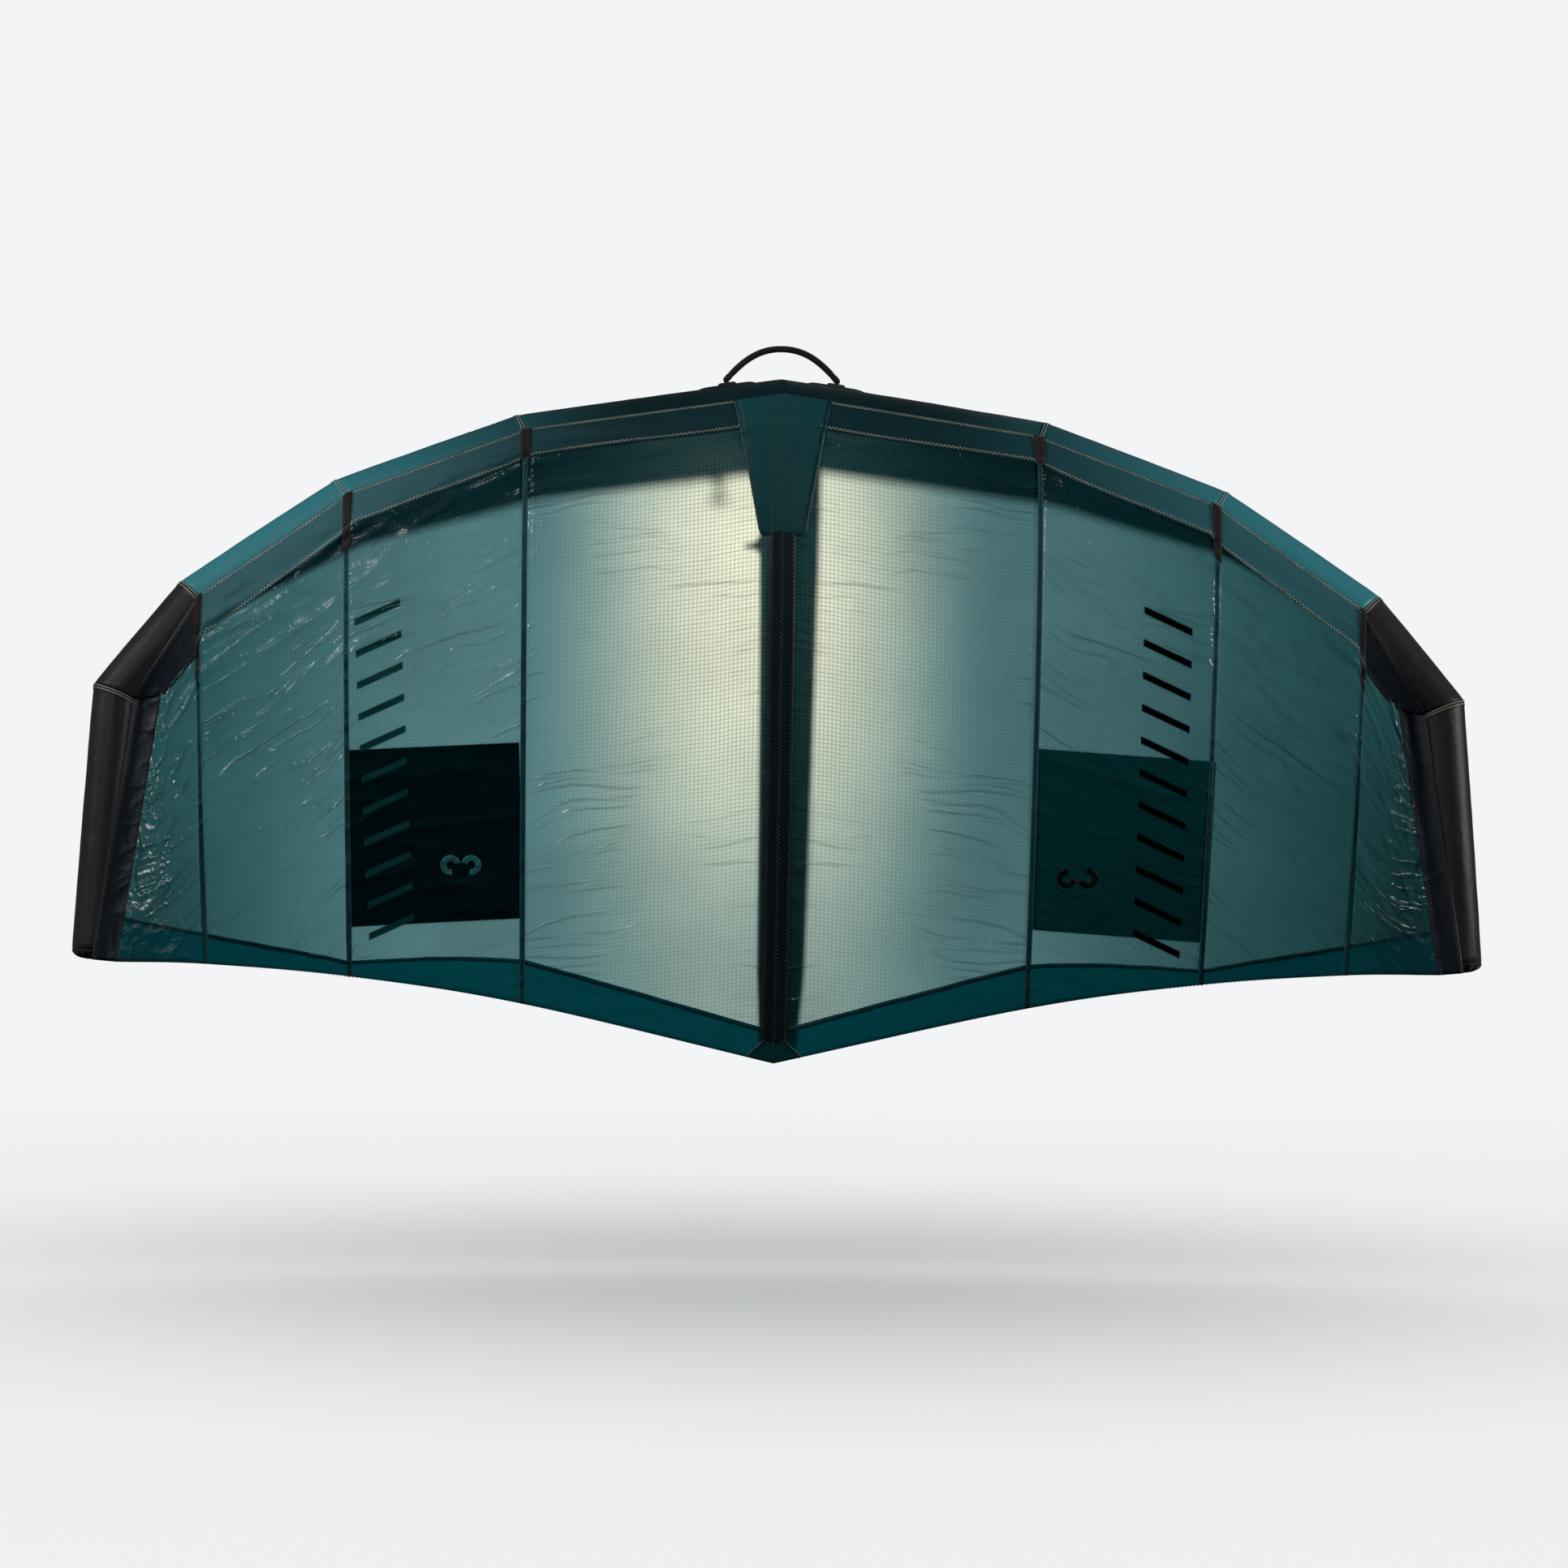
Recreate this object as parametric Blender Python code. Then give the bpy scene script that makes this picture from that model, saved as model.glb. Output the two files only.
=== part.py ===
"""Inflatable wingfoil wing of the three square metre class, modelled in Blender.

The wing hangs with its leading edge up. +X runs along the span, +Y points to the underside, where
the strut, the handles and the valve are, and +Z points to the leading edge. The origin is the
inside of the front handle's loop, where a hook holds the wing. All sizes are in metres.
"""

import math

import bmesh
import bpy
from mathutils import Matrix, Vector

# Whole wing: plan, rise of the tips and hanging point
HALF_SPAN = 1.35
CHORD = 1.35
TIP_RISE = 0.29
HANG_HEIGHT = 0.053

# Fits between neighbouring pieces
GAP = 0.0003
SEAM_GAP = 0.0006

# Leading edge: outer outline at the centre, at four kinks and at the tip, then the tube there
KINK_SPAN_SHARES = (0.0, 0.385, 0.646, 0.861, 0.978, 1.0)
KINK_CHORD_SHARES = (0.0, 0.061, 0.162, 0.313, 0.461, 0.837)
KINK_RISE_SHARES = (0.0, 0.16, 0.38, 0.63, 0.80, 1.0)
TUBE_DIAMETER = 0.176
TUBE_DIAMETER_SHARES = (1.0, 0.943, 0.756, 0.540, 0.483, 0.398)
TUBE_CLOTH = 0.0015
TUBE_SIDES = 32
BLADDER_FILM = 0.001
CAP_DOME_SHARE = 0.4
DOME_RINGS = 3

# Canopy: cloth, where it leaves the tube, its camber and its trailing edge
CLOTH = 0.0012
LEAVING_ANGLES = (50.0, 50.0, 55.0, 72.0, 118.0, 75.0)
STRIP_WIDTH = 0.066
STRIP_WIDTH_SHARES = (1.0, 0.92, 0.98, 1.05, 0.85, 0.65)
HEM_CORNER_SHARES = (0.885, 0.85, 0.474)
ENTRY_SHARE = 0.22
EXIT_SHARE = 0.35
EXIT_SLOPE_SHARE = 0.08
EDGE_SPAN_SHARES = (0.0, 0.368, 0.617, 0.820)
EDGE_CHORD_SHARES = (1.0, 0.915, 0.876, 0.858)
EDGE_RISE_SHARES = (-0.07, 0.07, 0.27, 0.55)
AIM_STATION_SHARES = (3.0, 2.5)
BAND_WIDTH = 0.087
BAND_WIDTH_SHARES = (0.70, 1.0, 0.31, 0.67, 0.97)
TIP_OVERHANG = 0.018
COLUMN_SHARES = (0.0, 0.045, 0.25, 0.5, 0.75, 0.955)
STRIP_GAP = 0.0007
STRIP_ROW_SHARES = (0.0, 0.22, 0.5, 0.75)
PANEL_ROWS = 10
FRONT_ROW_SHARE = 0.5
CURVE_STEPS = 48

# Trim on the canopy's top side
TRIM_CLOTH = 0.001
TRIM_GAP = 0.0006
TAPE_WIDTH = 0.011
TAB_WIDTH = 0.021
TAB_THICKNESS = 0.0022
TAB_LENGTH_SHARES = (1.05, 1.6, 1.75)
CENTRE_TAPE_WIDTH = 0.053
NOSE_PATCH_WIDTH = 0.214
NOSE_PATCH_TAIL_SHARE = 0.44
NOSE_PATCH_END_SHARE = 0.17
TAIL_PATCH_WIDTH = 0.118
TAIL_PATCH_FRONT_SHARE = 0.45
TAIL_PATCH_START_SHARE = 0.93

# Strut
STRUT_DIAMETER = 0.118
STRUT_STATION_SHARES = (0.0, 0.04, 0.45, 0.88, 1.0)
STRUT_DIAMETER_SHARES = (0.90, 1.0, 0.87, 0.76, 0.60)
STRUT_TAIL = 0.036
STRUT_CLOTH = 0.0015
STRUT_SIDES = 24
STRUT_BLADDER_START_SHARE = 0.17

# Front handle
LOOP_WIDTH = 0.188
LOOP_THICKNESS = 0.0125
LOOP_FOOT_SHARES = (0.30, 0.62)
LOOP_SHOULDER_SHARE = 0.42
LOOP_STEPS = 11
LOOP_SIDES = 12
LOOP_END_RINGS = 3
HANDLE_PATCH_LENGTH = 0.118
HANDLE_PATCH_THICKNESS = 0.002
HANDLE_PATCH_ANGLES = (-42.0, 9.0)
HANDLE_PATCH_ROWS = 10
HANDLE_PATCH_COLUMNS = 6
HANDLE_PATCH_END_SHARE = 0.97
LUG_LENGTH = 0.034
LUG_ANGLES = (-11.0, 0.0)
LUG_HEIGHT = 0.0055

# Strut handles
GRIP_LENGTH = 0.150
GRIP_WIDTH = 0.034
GRIP_DEPTH = 0.027
GRIP_SIDES = 16
HANDLE_DROP = 0.058
HANDLE_STRAP_WIDTH = 0.025
HANDLE_STRAP_THICKNESS = 0.003
HANDLE_LEG_RUN = 0.045
HANDLE_END_WIDTH = 0.012
GRIP_SHOULDER = 0.014
GRIP_SHOULDER_PAD_SHARE = 0.75
HANDLE_LEG_STEPS = 6
ANCHOR_ANGLE = 42.0
ANCHOR_THICKNESS = 0.002
ANCHOR_MARGIN = 0.022
ANCHOR_COLUMNS = 12
EAR_LENGTH = 0.012
EAR_WIDTH = 0.016
EAR_HEIGHT = 0.014
HANDLE_AXIS_REACH = 0.0088
FORE_HANDLE_SHARE = 0.36
AFT_HANDLE_SHARE = 0.66

# Inflation valve
VALVE_SPAN = 0.24
VALVE_ANGLE = -100.0
VALVE_NECK_DIAMETER = 0.034
VALVE_BORE_DIAMETER = 0.024
VALVE_COLLAR_DIAMETER = 0.060
VALVE_COLLAR_DEPTH = 0.007
VALVE_COLLAR_HEIGHT = 0.005
VALVE_NECK_HEIGHT = 0.009
VALVE_DEPTH = 0.016
VALVE_WEB = 0.002
PLUNGER_STEM_DIAMETER = 0.006
PLUNGER_HEAD_DIAMETER = 0.014
PLUNGER_HEAD = 0.003
PLUNGER_SINK = 0.014
PLUNGER_SEAL_DIAMETER = 0.028
CAP_THICKNESS = 0.004
CAP_OVERLAP = 0.002
CAP_HINGE_REACH = 0.0245
CAP_BARREL_DIAMETER = 0.0044
CAP_BARREL_LENGTH = 0.012
CAP_BARREL_SIDES = 16
CAP_ARM_THICKNESS = 0.003
ROUND_SIDES = 28

# Transfer hose between the leading edge and the strut
HOSE_SPAN = 0.165
HOSE_ANGLE = -172.0
HOSE_STRUT_SHARE = 0.235
HOSE_STRUT_ANGLE = -98.0
HOSE_DIAMETER = 0.015
HOSE_BORE_DIAMETER = 0.010
HOSE_STRAIGHT = 0.046
HOSE_PULL_SHARE = 0.40
HOSE_STEPS = 14
HOSE_SIDES = 12
SPIGOT_FLANGE_DIAMETER = 0.036
SPIGOT_FLANGE_DEPTH = 0.005
SPIGOT_FLANGE_HEIGHT = 0.003
SPIGOT_NECK_DIAMETER = 0.016
SPIGOT_NECK_DEPTH = 0.008
SPIGOT_NECK_HEIGHT = 0.016
SPIGOT_BORE_DIAMETER = 0.006
BARB_LENGTH = 0.016
CLIP_LENGTH = 0.012
CLIP_WALL = 0.003
CLIP_START = 0.020
CLIP_TAB_HEIGHT = 0.010
CLIP_TAB_THICKNESS = 0.004

# Leash loop at the middle of the leading edge's underside
LEASH_ANGLE = -90.0
LEASH_FOOT = 0.014
LEASH_LENGTH = 0.026
LEASH_HEIGHT = 0.014
LEASH_WIDTH = 0.025
LEASH_THICKNESS = 0.0022
LEASH_STEPS = 10

# How far a guide solid runs past what it cuts
CUT_OVERRUN = 0.004

TIP = len(KINK_SPAN_SHARES) - 1
SEAMS = TIP - 1
RIGHT = 1
LEFT = -1


def at(span, rise, aft):
    """Return the point at a span, a height on the top side and a distance behind the nose."""
    return Vector((span, -rise, -HANG_HEIGHT - aft))


def mix(first, last, share):
    """Return the value or point at a share of the way from the first to the last."""
    return first * (1 - share) + last * share


def across(vector, axis):
    """Return the part of a vector that is square to an axis."""
    return vector - axis * vector.dot(axis)


def at_station(values, station):
    """Read a list of values, one for each kink or seam, at a station between them."""
    index = min(int(station), len(values) - 2)
    return mix(values[index], values[index + 1], station - index)


def mirrored(point, side):
    """Return a point of the right half on the side that is asked for."""
    return Vector((point.x * side, point.y, point.z))


# Materials

COLOURS = {
    "canopy_teal": ((0.055, 0.145, 0.150), 0.35, 0.0),
    "edge_teal": ((0.010, 0.070, 0.080), 0.40, 0.0),
    "sleeve_teal": ((0.020, 0.110, 0.125), 0.55, 0.0),
    "sleeve_black": ((0.022, 0.019, 0.019), 0.60, 0.0),
    "strip_navy": ((0.010, 0.018, 0.032), 0.45, 0.0),
    "webbing_black": ((0.015, 0.013, 0.013), 0.75, 0.0),
    "bladder_film": ((0.75, 0.77, 0.74), 0.30, 0.0),
    "moulded_black": ((0.020, 0.020, 0.022), 0.45, 0.0),
    "foam_black": ((0.018, 0.018, 0.019), 0.85, 0.0),
    "hose_clear": ((0.55, 0.60, 0.60), 0.25, 0.0),
}


def material(name):
    """Return the named material, made once from its colour, roughness and metallic value."""
    found = bpy.data.materials.get(name)
    if found:
        return found
    colour, roughness, metallic = COLOURS[name]
    made = bpy.data.materials.new(name)
    made.use_nodes = True
    shader = made.node_tree.nodes["Principled BSDF"]
    shader.inputs["Base Color"].default_value = (*colour, 1.0)
    shader.inputs["Roughness"].default_value = roughness
    shader.inputs["Metallic"].default_value = metallic
    made.diffuse_color = (*colour, 1.0)
    return made


# Solids

class Shape:
    """Faces gathered in one mesh, which becomes one object."""

    def __init__(self):
        self.mesh = bmesh.new()

    def line(self, points):
        """Add points and return their vertices."""
        return [self.mesh.verts.new(point) for point in points]

    def bridge(self, first, second, closed):
        """Join two lines of vertices by quads, round the end too where they are rings."""
        count = len(first)
        for index in range(count if closed else count - 1):
            after = (index + 1) % count
            self.mesh.faces.new((first[index], first[after], second[after], second[index]))

    def close_ring(self, ring, pole=None):
        """Close a ring with one face, or with a fan to a pole."""
        if pole is None:
            self.mesh.faces.new(ring)
            return
        tip = self.mesh.verts.new(pole)
        for index, vertex in enumerate(ring):
            self.mesh.faces.new((vertex, ring[(index + 1) % len(ring)], tip))

    def finish(self, name, finish_name, smooth=True):
        """Turn the gathered faces into a named object with its material."""
        bmesh.ops.recalc_face_normals(self.mesh, faces=self.mesh.faces)
        data = bpy.data.meshes.new(name)
        self.mesh.to_mesh(data)
        self.mesh.free()
        data.materials.append(material(finish_name))
        if smooth:
            data.shade_smooth()
            data.set_sharp_from_angle(angle=math.radians(35.0))
        made = bpy.data.objects.new(name, data)
        bpy.context.collection.objects.link(made)
        return made


def sheet(name, top, bottom, finish_name):
    """Make a closed sheet from two grids of points, its top and its bottom side."""
    shape = Shape()
    upper = [shape.line(row) for row in top]
    lower = [shape.line(row) for row in bottom]
    for rows in (upper, lower):
        for first, second in zip(rows, rows[1:]):
            shape.bridge(first, second, closed=False)
    rim = rim_of(upper)
    shape.bridge(rim, rim_of(lower), closed=True)
    return shape.finish(name, finish_name)


def rim_of(rows):
    """Return the outer vertices of a grid, once round."""
    right = [row[-1] for row in rows[1:-1]]
    left = [row[0] for row in rows[1:-1]]
    return rows[0] + right + rows[-1][::-1] + left[::-1]


def solid(name, rings, finish_name, first_pole=None, last_pole=None):
    """Make a closed solid through a row of rings."""
    shape = Shape()
    lines = [shape.line(ring) for ring in rings]
    for first, second in zip(lines, lines[1:]):
        shape.bridge(first, second, closed=True)
    shape.close_ring(lines[0], first_pole)
    shape.close_ring(lines[-1], last_pole)
    return shape.finish(name, finish_name)


def sleeve(name, outer, inner, finish_name):
    """Make an open sleeve with a wall between its outer and its inner rings."""
    shape = Shape()
    outside = [shape.line(ring) for ring in outer]
    inside = [shape.line(ring) for ring in inner]
    for lines in (outside, inside):
        for first, second in zip(lines, lines[1:]):
            shape.bridge(first, second, closed=True)
    shape.bridge(outside[0], inside[0], closed=True)
    shape.bridge(outside[-1], inside[-1], closed=True)
    return shape.finish(name, finish_name)


def bowl(name, outer, inner, outer_pole, inner_pole, finish_name):
    """Make a thin bowl, open at its first rings and closed at its poles."""
    shape = Shape()
    outside = [shape.line(ring) for ring in outer]
    inside = [shape.line(ring) for ring in inner]
    for lines in (outside, inside):
        for first, second in zip(lines, lines[1:]):
            shape.bridge(first, second, closed=True)
    shape.bridge(outside[0], inside[0], closed=True)
    shape.close_ring(outside[-1], outer_pole)
    shape.close_ring(inside[-1], inner_pole)
    return shape.finish(name, finish_name)


def balloon(name, outer, inner, outer_poles, inner_poles, finish_name):
    """Make a thin closed balloon, whose opening is cut afterwards."""
    made = solid(name, outer, finish_name, *outer_poles)
    change(made, solid(f"{name}_inside_guide", inner, finish_name, *inner_poles), "DIFFERENCE")
    return made


def turned(name, profile, axis_frame, finish_name, sides=ROUND_SIDES):
    """Make a turned solid from a profile of radius and height pairs, its poles left out."""
    rings = [[axis_frame @ Vector((radius * math.cos(turn), radius * math.sin(turn), height))
              for turn in turns(sides)] for radius, height in profile]
    shape = Shape()
    lines = [shape.line(ring) for ring in rings]
    for first, second in zip(lines, lines[1:]):
        shape.bridge(first, second, closed=True)
    shape.close_ring(lines[0])
    shape.close_ring(lines[-1])
    return shape.finish(name, finish_name)


def turned_ring(name, profile, axis_frame, finish_name, sides=ROUND_SIDES):
    """Make a turned piece with a bore from a closed profile of radius and height pairs."""
    rings = [[axis_frame @ Vector((radius * math.cos(turn), radius * math.sin(turn), height))
              for turn in turns(sides)] for radius, height in profile]
    shape = Shape()
    lines = [shape.line(ring) for ring in rings]
    for first, second in zip(lines, lines[1:] + lines[:1]):
        shape.bridge(first, second, closed=True)
    return shape.finish(name, finish_name)


def turns(sides):
    """Return the angles of a ring's points."""
    return [2 * math.pi * index / sides for index in range(sides)]


def change(target, tool, operation):
    """Cut, or join, an object with a guide solid, which stays hidden as a wire."""
    step = target.modifiers.new(tool.name, "BOOLEAN")
    step.operation = operation
    step.object = tool
    tool.hide_render = True
    tool.display_type = "WIRE"


# Leading edge

class LeadingEdge:
    """The bent, tapered tube of the right half: its kinks, radii and mitre planes."""

    def __init__(self):
        outline = [Vector((HALF_SPAN * span, CHORD * chord))
                   for span, chord in zip(KINK_SPAN_SHARES, KINK_CHORD_SHARES)]
        self.radii = [TUBE_DIAMETER / 2 * share for share in TUBE_DIAMETER_SHARES]
        self.centres = []
        for index, corner in enumerate(outline):
            plan = corner + self.inward_mitre(outline, index) * self.radii[index]
            rise = TIP_RISE * KINK_RISE_SHARES[index]
            self.centres.append(at(plan.x, rise, plan.y))
        self.centres[0].x = 0.0
        self.runs = [(last - first).normalized()
                     for first, last in zip(self.centres, self.centres[1:])]
        self.edge_points = [at(HALF_SPAN * span, TIP_RISE * rise, CHORD * chord)
                            for span, rise, chord in zip(EDGE_SPAN_SHARES, EDGE_RISE_SHARES,
                                                         EDGE_CHORD_SHARES)]
        self.frames = self.carried_frames()

    @staticmethod
    def inward_mitre(outline, index):
        """Return how far the centre lies inside a corner of the outline, for a radius of one."""
        after = (outline[min(index + 1, TIP)] - outline[min(index, TIP - 1)]).normalized()
        if index == 0:
            before = Vector((after.x, -after.y))
        else:
            before = (outline[index] - outline[index - 1]).normalized()
        first = Vector((-before.y, before.x))
        second = Vector((-after.y, after.x))
        return (first + second) / (1 + first.dot(second))

    def carried_frames(self):
        """Return two directions square to each straight run, carried round the kinks."""
        run = self.runs[0]
        side = across(Vector((0, -1, 0)), run).normalized()
        frames = [(side, run.cross(side))]
        for before, after in zip(self.runs, self.runs[1:]):
            turn = before.rotation_difference(after)
            frames.append(tuple(turn @ vector for vector in frames[-1]))
        return frames

    def mitre(self, kink):
        """Return the normal of the mitre plane at a kink."""
        if kink == 0:
            return Vector((1, 0, 0))
        if kink == TIP:
            return self.runs[-1]
        return (self.runs[kink - 1] + self.runs[kink]).normalized()

    def ring(self, run, kink, reach, shift=0.0, sides=TUBE_SIDES):
        """Return a ring on a kink's mitre plane, a reach outside the tube's skin."""
        first, second = self.frames[run]
        along = self.runs[run]
        plane = self.mitre(kink)
        radius = self.radii[kink] + reach
        points = []
        for turn in turns(sides):
            spoke = (first * math.cos(turn) + second * math.sin(turn)) * radius
            slide = -spoke.dot(plane) / along.dot(plane)
            points.append(self.centres[kink] + spoke + along * (slide + shift))
        return points

    def station(self, station):
        """Return the tube's centre, radius, run and directions inward and upward."""
        run = min(int(station), TIP - 1)
        share = station - run
        centre = mix(self.centres[run], self.centres[run + 1], share)
        radius = mix(self.radii[run], self.radii[run + 1], share)
        axis = self.runs[run]
        if share == 0:
            axis = self.mitre(run)
        elif share == 1:
            axis = self.mitre(run + 1)
        inward = across(self.aim(station) - centre, axis).normalized()
        return centre, radius, self.runs[run], inward, inward.cross(axis)

    def aim(self, station):
        """Return the point of the trailing edge that the cloth of a station runs towards."""
        if station <= AIM_STATION_SHARES[0]:
            return at_station(self.edge_points, station)
        share = min(station - AIM_STATION_SHARES[0], 1)
        return mix(at_station(self.edge_points, AIM_STATION_SHARES[0]),
                   at_station(self.edge_points, AIM_STATION_SHARES[1]), share)

    def skin_point(self, station, angle, reach):
        """Return a point round the tube, by its angle from the front towards the top side."""
        centre, radius, run, inward, upward = self.station(station)
        spoke = upward * math.sin(angle) - inward * math.cos(angle)
        return centre + spoke * (radius + reach) / across(spoke, run).length

    def leaving(self, station):
        """Return where the canopy's cloth leaves the tube, and in which direction."""
        angle = math.radians(at_station(LEAVING_ANGLES, station))
        centre, radius, run, inward, upward = self.station(station)
        heading = inward * math.sin(angle) + upward * math.cos(angle)
        start = self.skin_point(station, angle, STRIP_GAP + CLOTH / 2)
        return start, heading, run


# Canopy

class Canopy:
    """The cloth's middle surface on a grid of columns along the span and rows along the chord.

    Whole columns are the seams: the centre, three seams between panels and the tip. Rows 0 to 1
    are the strip on the leading edge, 1 to 2 the panels and 2 to 3 the band on the trailing edge.
    """

    def __init__(self, edge):
        self.edge = edge
        start, heading, run = edge.leaving(TIP)
        self.tip_corner = start + run * TIP_OVERHANG
        corner = self.tip_corner + heading * STRIP_WIDTH * STRIP_WIDTH_SHARES[TIP]
        self.trailing = edge.edge_points + [corner]
        span, rise, chord = HEM_CORNER_SHARES
        self.hem_corner = at(HALF_SPAN * span, TIP_RISE * rise, CHORD * chord)
        self.columns = [seam + share for seam in range(SEAMS) for share in COLUMN_SHARES]
        self.columns[-1] = float(SEAMS)
        self.rows = list(STRIP_ROW_SHARES)
        self.rows += [1.0, 1 + FRONT_ROW_SHARE / PANEL_ROWS]
        self.rows += [1 + index / PANEL_ROWS for index in range(1, PANEL_ROWS + 1)] + [3.0]
        self.points = [self.column(column) for column in self.columns]
        self.normals = self.grid_normals()

    def trailing_point(self, station):
        """Return a point of the trailing edge, on a smooth curve through the seams' ends."""
        points = self.trailing
        index = min(int(station), len(points) - 2)
        first = points[index - 1] if index else points[0] * 2 - points[1]
        last = points[index + 2] if index + 2 < len(points) else self.tip_corner
        share = station - index
        before = (points[index + 1] - first) / 2
        after = (last - points[index]) / 2
        return hermite(points[index], before, points[index + 1], after, share)

    def chord_curve(self, station):
        """Return points along the cloth from the tube to the trailing edge, and the strip's width."""
        start, heading, run = self.edge.leaving(station)
        end = self.trailing_point(station)
        chord = end - start
        slant = -plan_cross(heading, chord) / plan_cross(run, chord)
        heading = (heading + run * slant).normalized()
        width = STRIP_WIDTH * at_station(STRIP_WIDTH_SHARES, station) / across(heading, run).length
        first = start + heading * ENTRY_SHARE * chord.length
        rest = end - first
        exit_way = (rest.normalized() + Vector((0, EXIT_SLOPE_SHARE, 0))).normalized()
        second = end - exit_way * rest.length * EXIT_SHARE
        return [bezier(start, first, second, end, index / CURVE_STEPS)
                for index in range(CURVE_STEPS + 1)], width

    def corner_curve(self, station):
        """Return the same between the last seam and the tip, where the strip turns its corner."""
        share = station - (SEAMS - 1)
        seam, width = self.chord_curve(float(SEAMS - 1))
        inner = point_along(seam, width)
        way = (point_along(seam, width * 2) - inner).normalized()
        start, heading, run = self.edge.leaving(station)
        end = self.trailing_point(station)
        turn = mix(inner, self.hem_corner, share)
        reach = (turn - start).length
        strip = [bezier(start, start + heading * reach / 3, mix(start, turn, 2 / 3), turn,
                        index / CURVE_STEPS) for index in range(CURVE_STEPS + 1)]
        rest = end - turn
        way = mix(way, rest.normalized(), share).normalized()
        exit_way = (rest.normalized() + Vector((0, mix(EXIT_SLOPE_SHARE, 0, share), 0))).normalized()
        first = turn + way * ENTRY_SHARE * rest.length
        second = end - exit_way * rest.length * EXIT_SHARE
        panel = [bezier(turn, first, second, end, index / CURVE_STEPS)
                 for index in range(1, CURVE_STEPS + 1)]
        return strip + panel, curve_length(strip)

    def column(self, station):
        """Return one column of the grid, measured along the cloth."""
        points = self.measured(station, *self.chord_curve(station))
        share = station - (SEAMS - 1)
        if share <= 0:
            return points
        turned_points = self.measured(station, *self.corner_curve(station))
        return [mix(point, turned_point, share)
                for point, turned_point in zip(points, turned_points)]

    def measured(self, station, curve, width):
        """Return the grid's points on one curve, by their rows."""
        length = curve_length(curve)
        band = BAND_WIDTH * at_station(BAND_WIDTH_SHARES, station)
        points = []
        for row in self.rows:
            if row < 1:
                distance = width * row
            elif row <= 2:
                distance = mix(width, length - band, row - 1)
            else:
                distance = mix(length - band, length, row - 2)
            points.append(point_along(curve, distance))
        return points

    def grid_normals(self):
        """Return the surface's normals at the grid's points, to the top side."""
        normals = []
        for column in range(len(self.columns)):
            line = []
            for row in range(len(self.rows)):
                before = self.points[max(column - 1, 0)][row]
                after = self.points[min(column + 1, len(self.columns) - 1)][row]
                if column == 0:
                    before = mirrored(after, LEFT)
                front = self.points[column][max(row - 1, 0)]
                back = self.points[column][min(row + 1, len(self.rows) - 1)]
                line.append((back - front).cross(after - before).normalized())
            normals.append(line)
        return normals

    def cell(self, station, row):
        """Return the grid cell that holds a place, and the shares within it."""
        column = last_at_or_below(self.columns, station)
        line = last_at_or_below(self.rows, row)
        width = self.columns[column + 1] - self.columns[column]
        depth = self.rows[line + 1] - self.rows[line]
        return (column, line, (station - self.columns[column]) / width,
                (row - self.rows[line]) / depth)

    def read(self, values, station, row):
        """Read points or normals at a place of the right half."""
        column, line, along, down = self.cell(station, row)
        near = mix(values[column][line], values[column][line + 1], down)
        far = mix(values[column + 1][line], values[column + 1][line + 1], down)
        return mix(near, far, along)

    def place(self, station, row, height):
        """Return a point at a height over the cloth's middle, left of the centre if negative."""
        side = LEFT if station < 0 else RIGHT
        point = self.read(self.points, abs(station), row)
        normal = self.read(self.normals, abs(station), row).normalized()
        return mirrored(point + normal * height, side)

    def aside(self, station, row, distance):
        """Return the station that lies a distance along the span from another."""
        column, line, along, down = self.cell(station, row)
        if distance < 0 and along == 0:
            column -= 1
        first, last = self.columns[column], self.columns[column + 1]
        here = self.read(self.points, first, row)
        there = self.read(self.points, last, row)
        return station + distance * (last - first) / (there - here).length

    def behind(self, station, row, distance):
        """Return the row that lies a distance along the chord from another."""
        column, line, along, down = self.cell(abs(station), row)
        if distance < 0 and down == 0 and line:
            line -= 1
        first, last = self.rows[line], self.rows[line + 1]
        here = self.read(self.points, abs(station), first)
        there = self.read(self.points, abs(station), last)
        return row + distance * (last - first) / (there - here).length

    def rows_between(self, first, last):
        """Return the grid's rows from the first to the last, both included."""
        return [first] + [row for row in self.rows if first < row < last] + [last]

    def columns_between(self, first, last):
        """Return the grid's columns from the first to the last, both included."""
        return [first] + [column for column in self.columns if first < column < last] + [last]

    def panel(self, name, first, last, front, back, finish_name, side):
        """Make a piece of the cloth between two seams and two rows, trimmed for the seams."""
        trim = SEAM_GAP / 2
        top, bottom = [], []
        for column in self.columns_between(first, last):
            inset = trim if column == first else -trim if column == last else 0
            upper, lower = [], []
            for row in self.rows_between(front, back):
                cut = trim if row == front else -trim if row == back else 0
                station = self.aside(column, row, inset) if inset else column
                place = self.behind(column, row, cut) if cut and 0 < row < 3 else row
                upper.append(mirrored(self.place(station, place, CLOTH / 2), side))
                lower.append(mirrored(self.place(station, place, -CLOTH / 2), side))
            top.append(upper)
            bottom.append(lower)
        return sheet(name, top, bottom, finish_name)

    def trim_strip(self, name, seam, half_widths, rows, thickness, finish_name, side=RIGHT):
        """Make a strip of cloth or webbing on the top side along a seam."""
        low = CLOTH / 2 + TRIM_GAP
        top, bottom = [], []
        for row, half in zip(rows, half_widths):
            inner = -self.aside(0.0, row, half) if seam == 0 else self.aside(seam, row, -half)
            stations = (inner, seam, self.aside(seam, row, half))
            top.append([mirrored(self.place(station, row, low + thickness), side)
                        for station in stations])
            bottom.append([mirrored(self.place(station, row, low), side)
                           for station in stations])
        return sheet(name, top, bottom, finish_name)


def plan_cross(first, second):
    """Return how far two directions turn apart as seen from the top side."""
    return first.x * second.z - first.z * second.x


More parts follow.
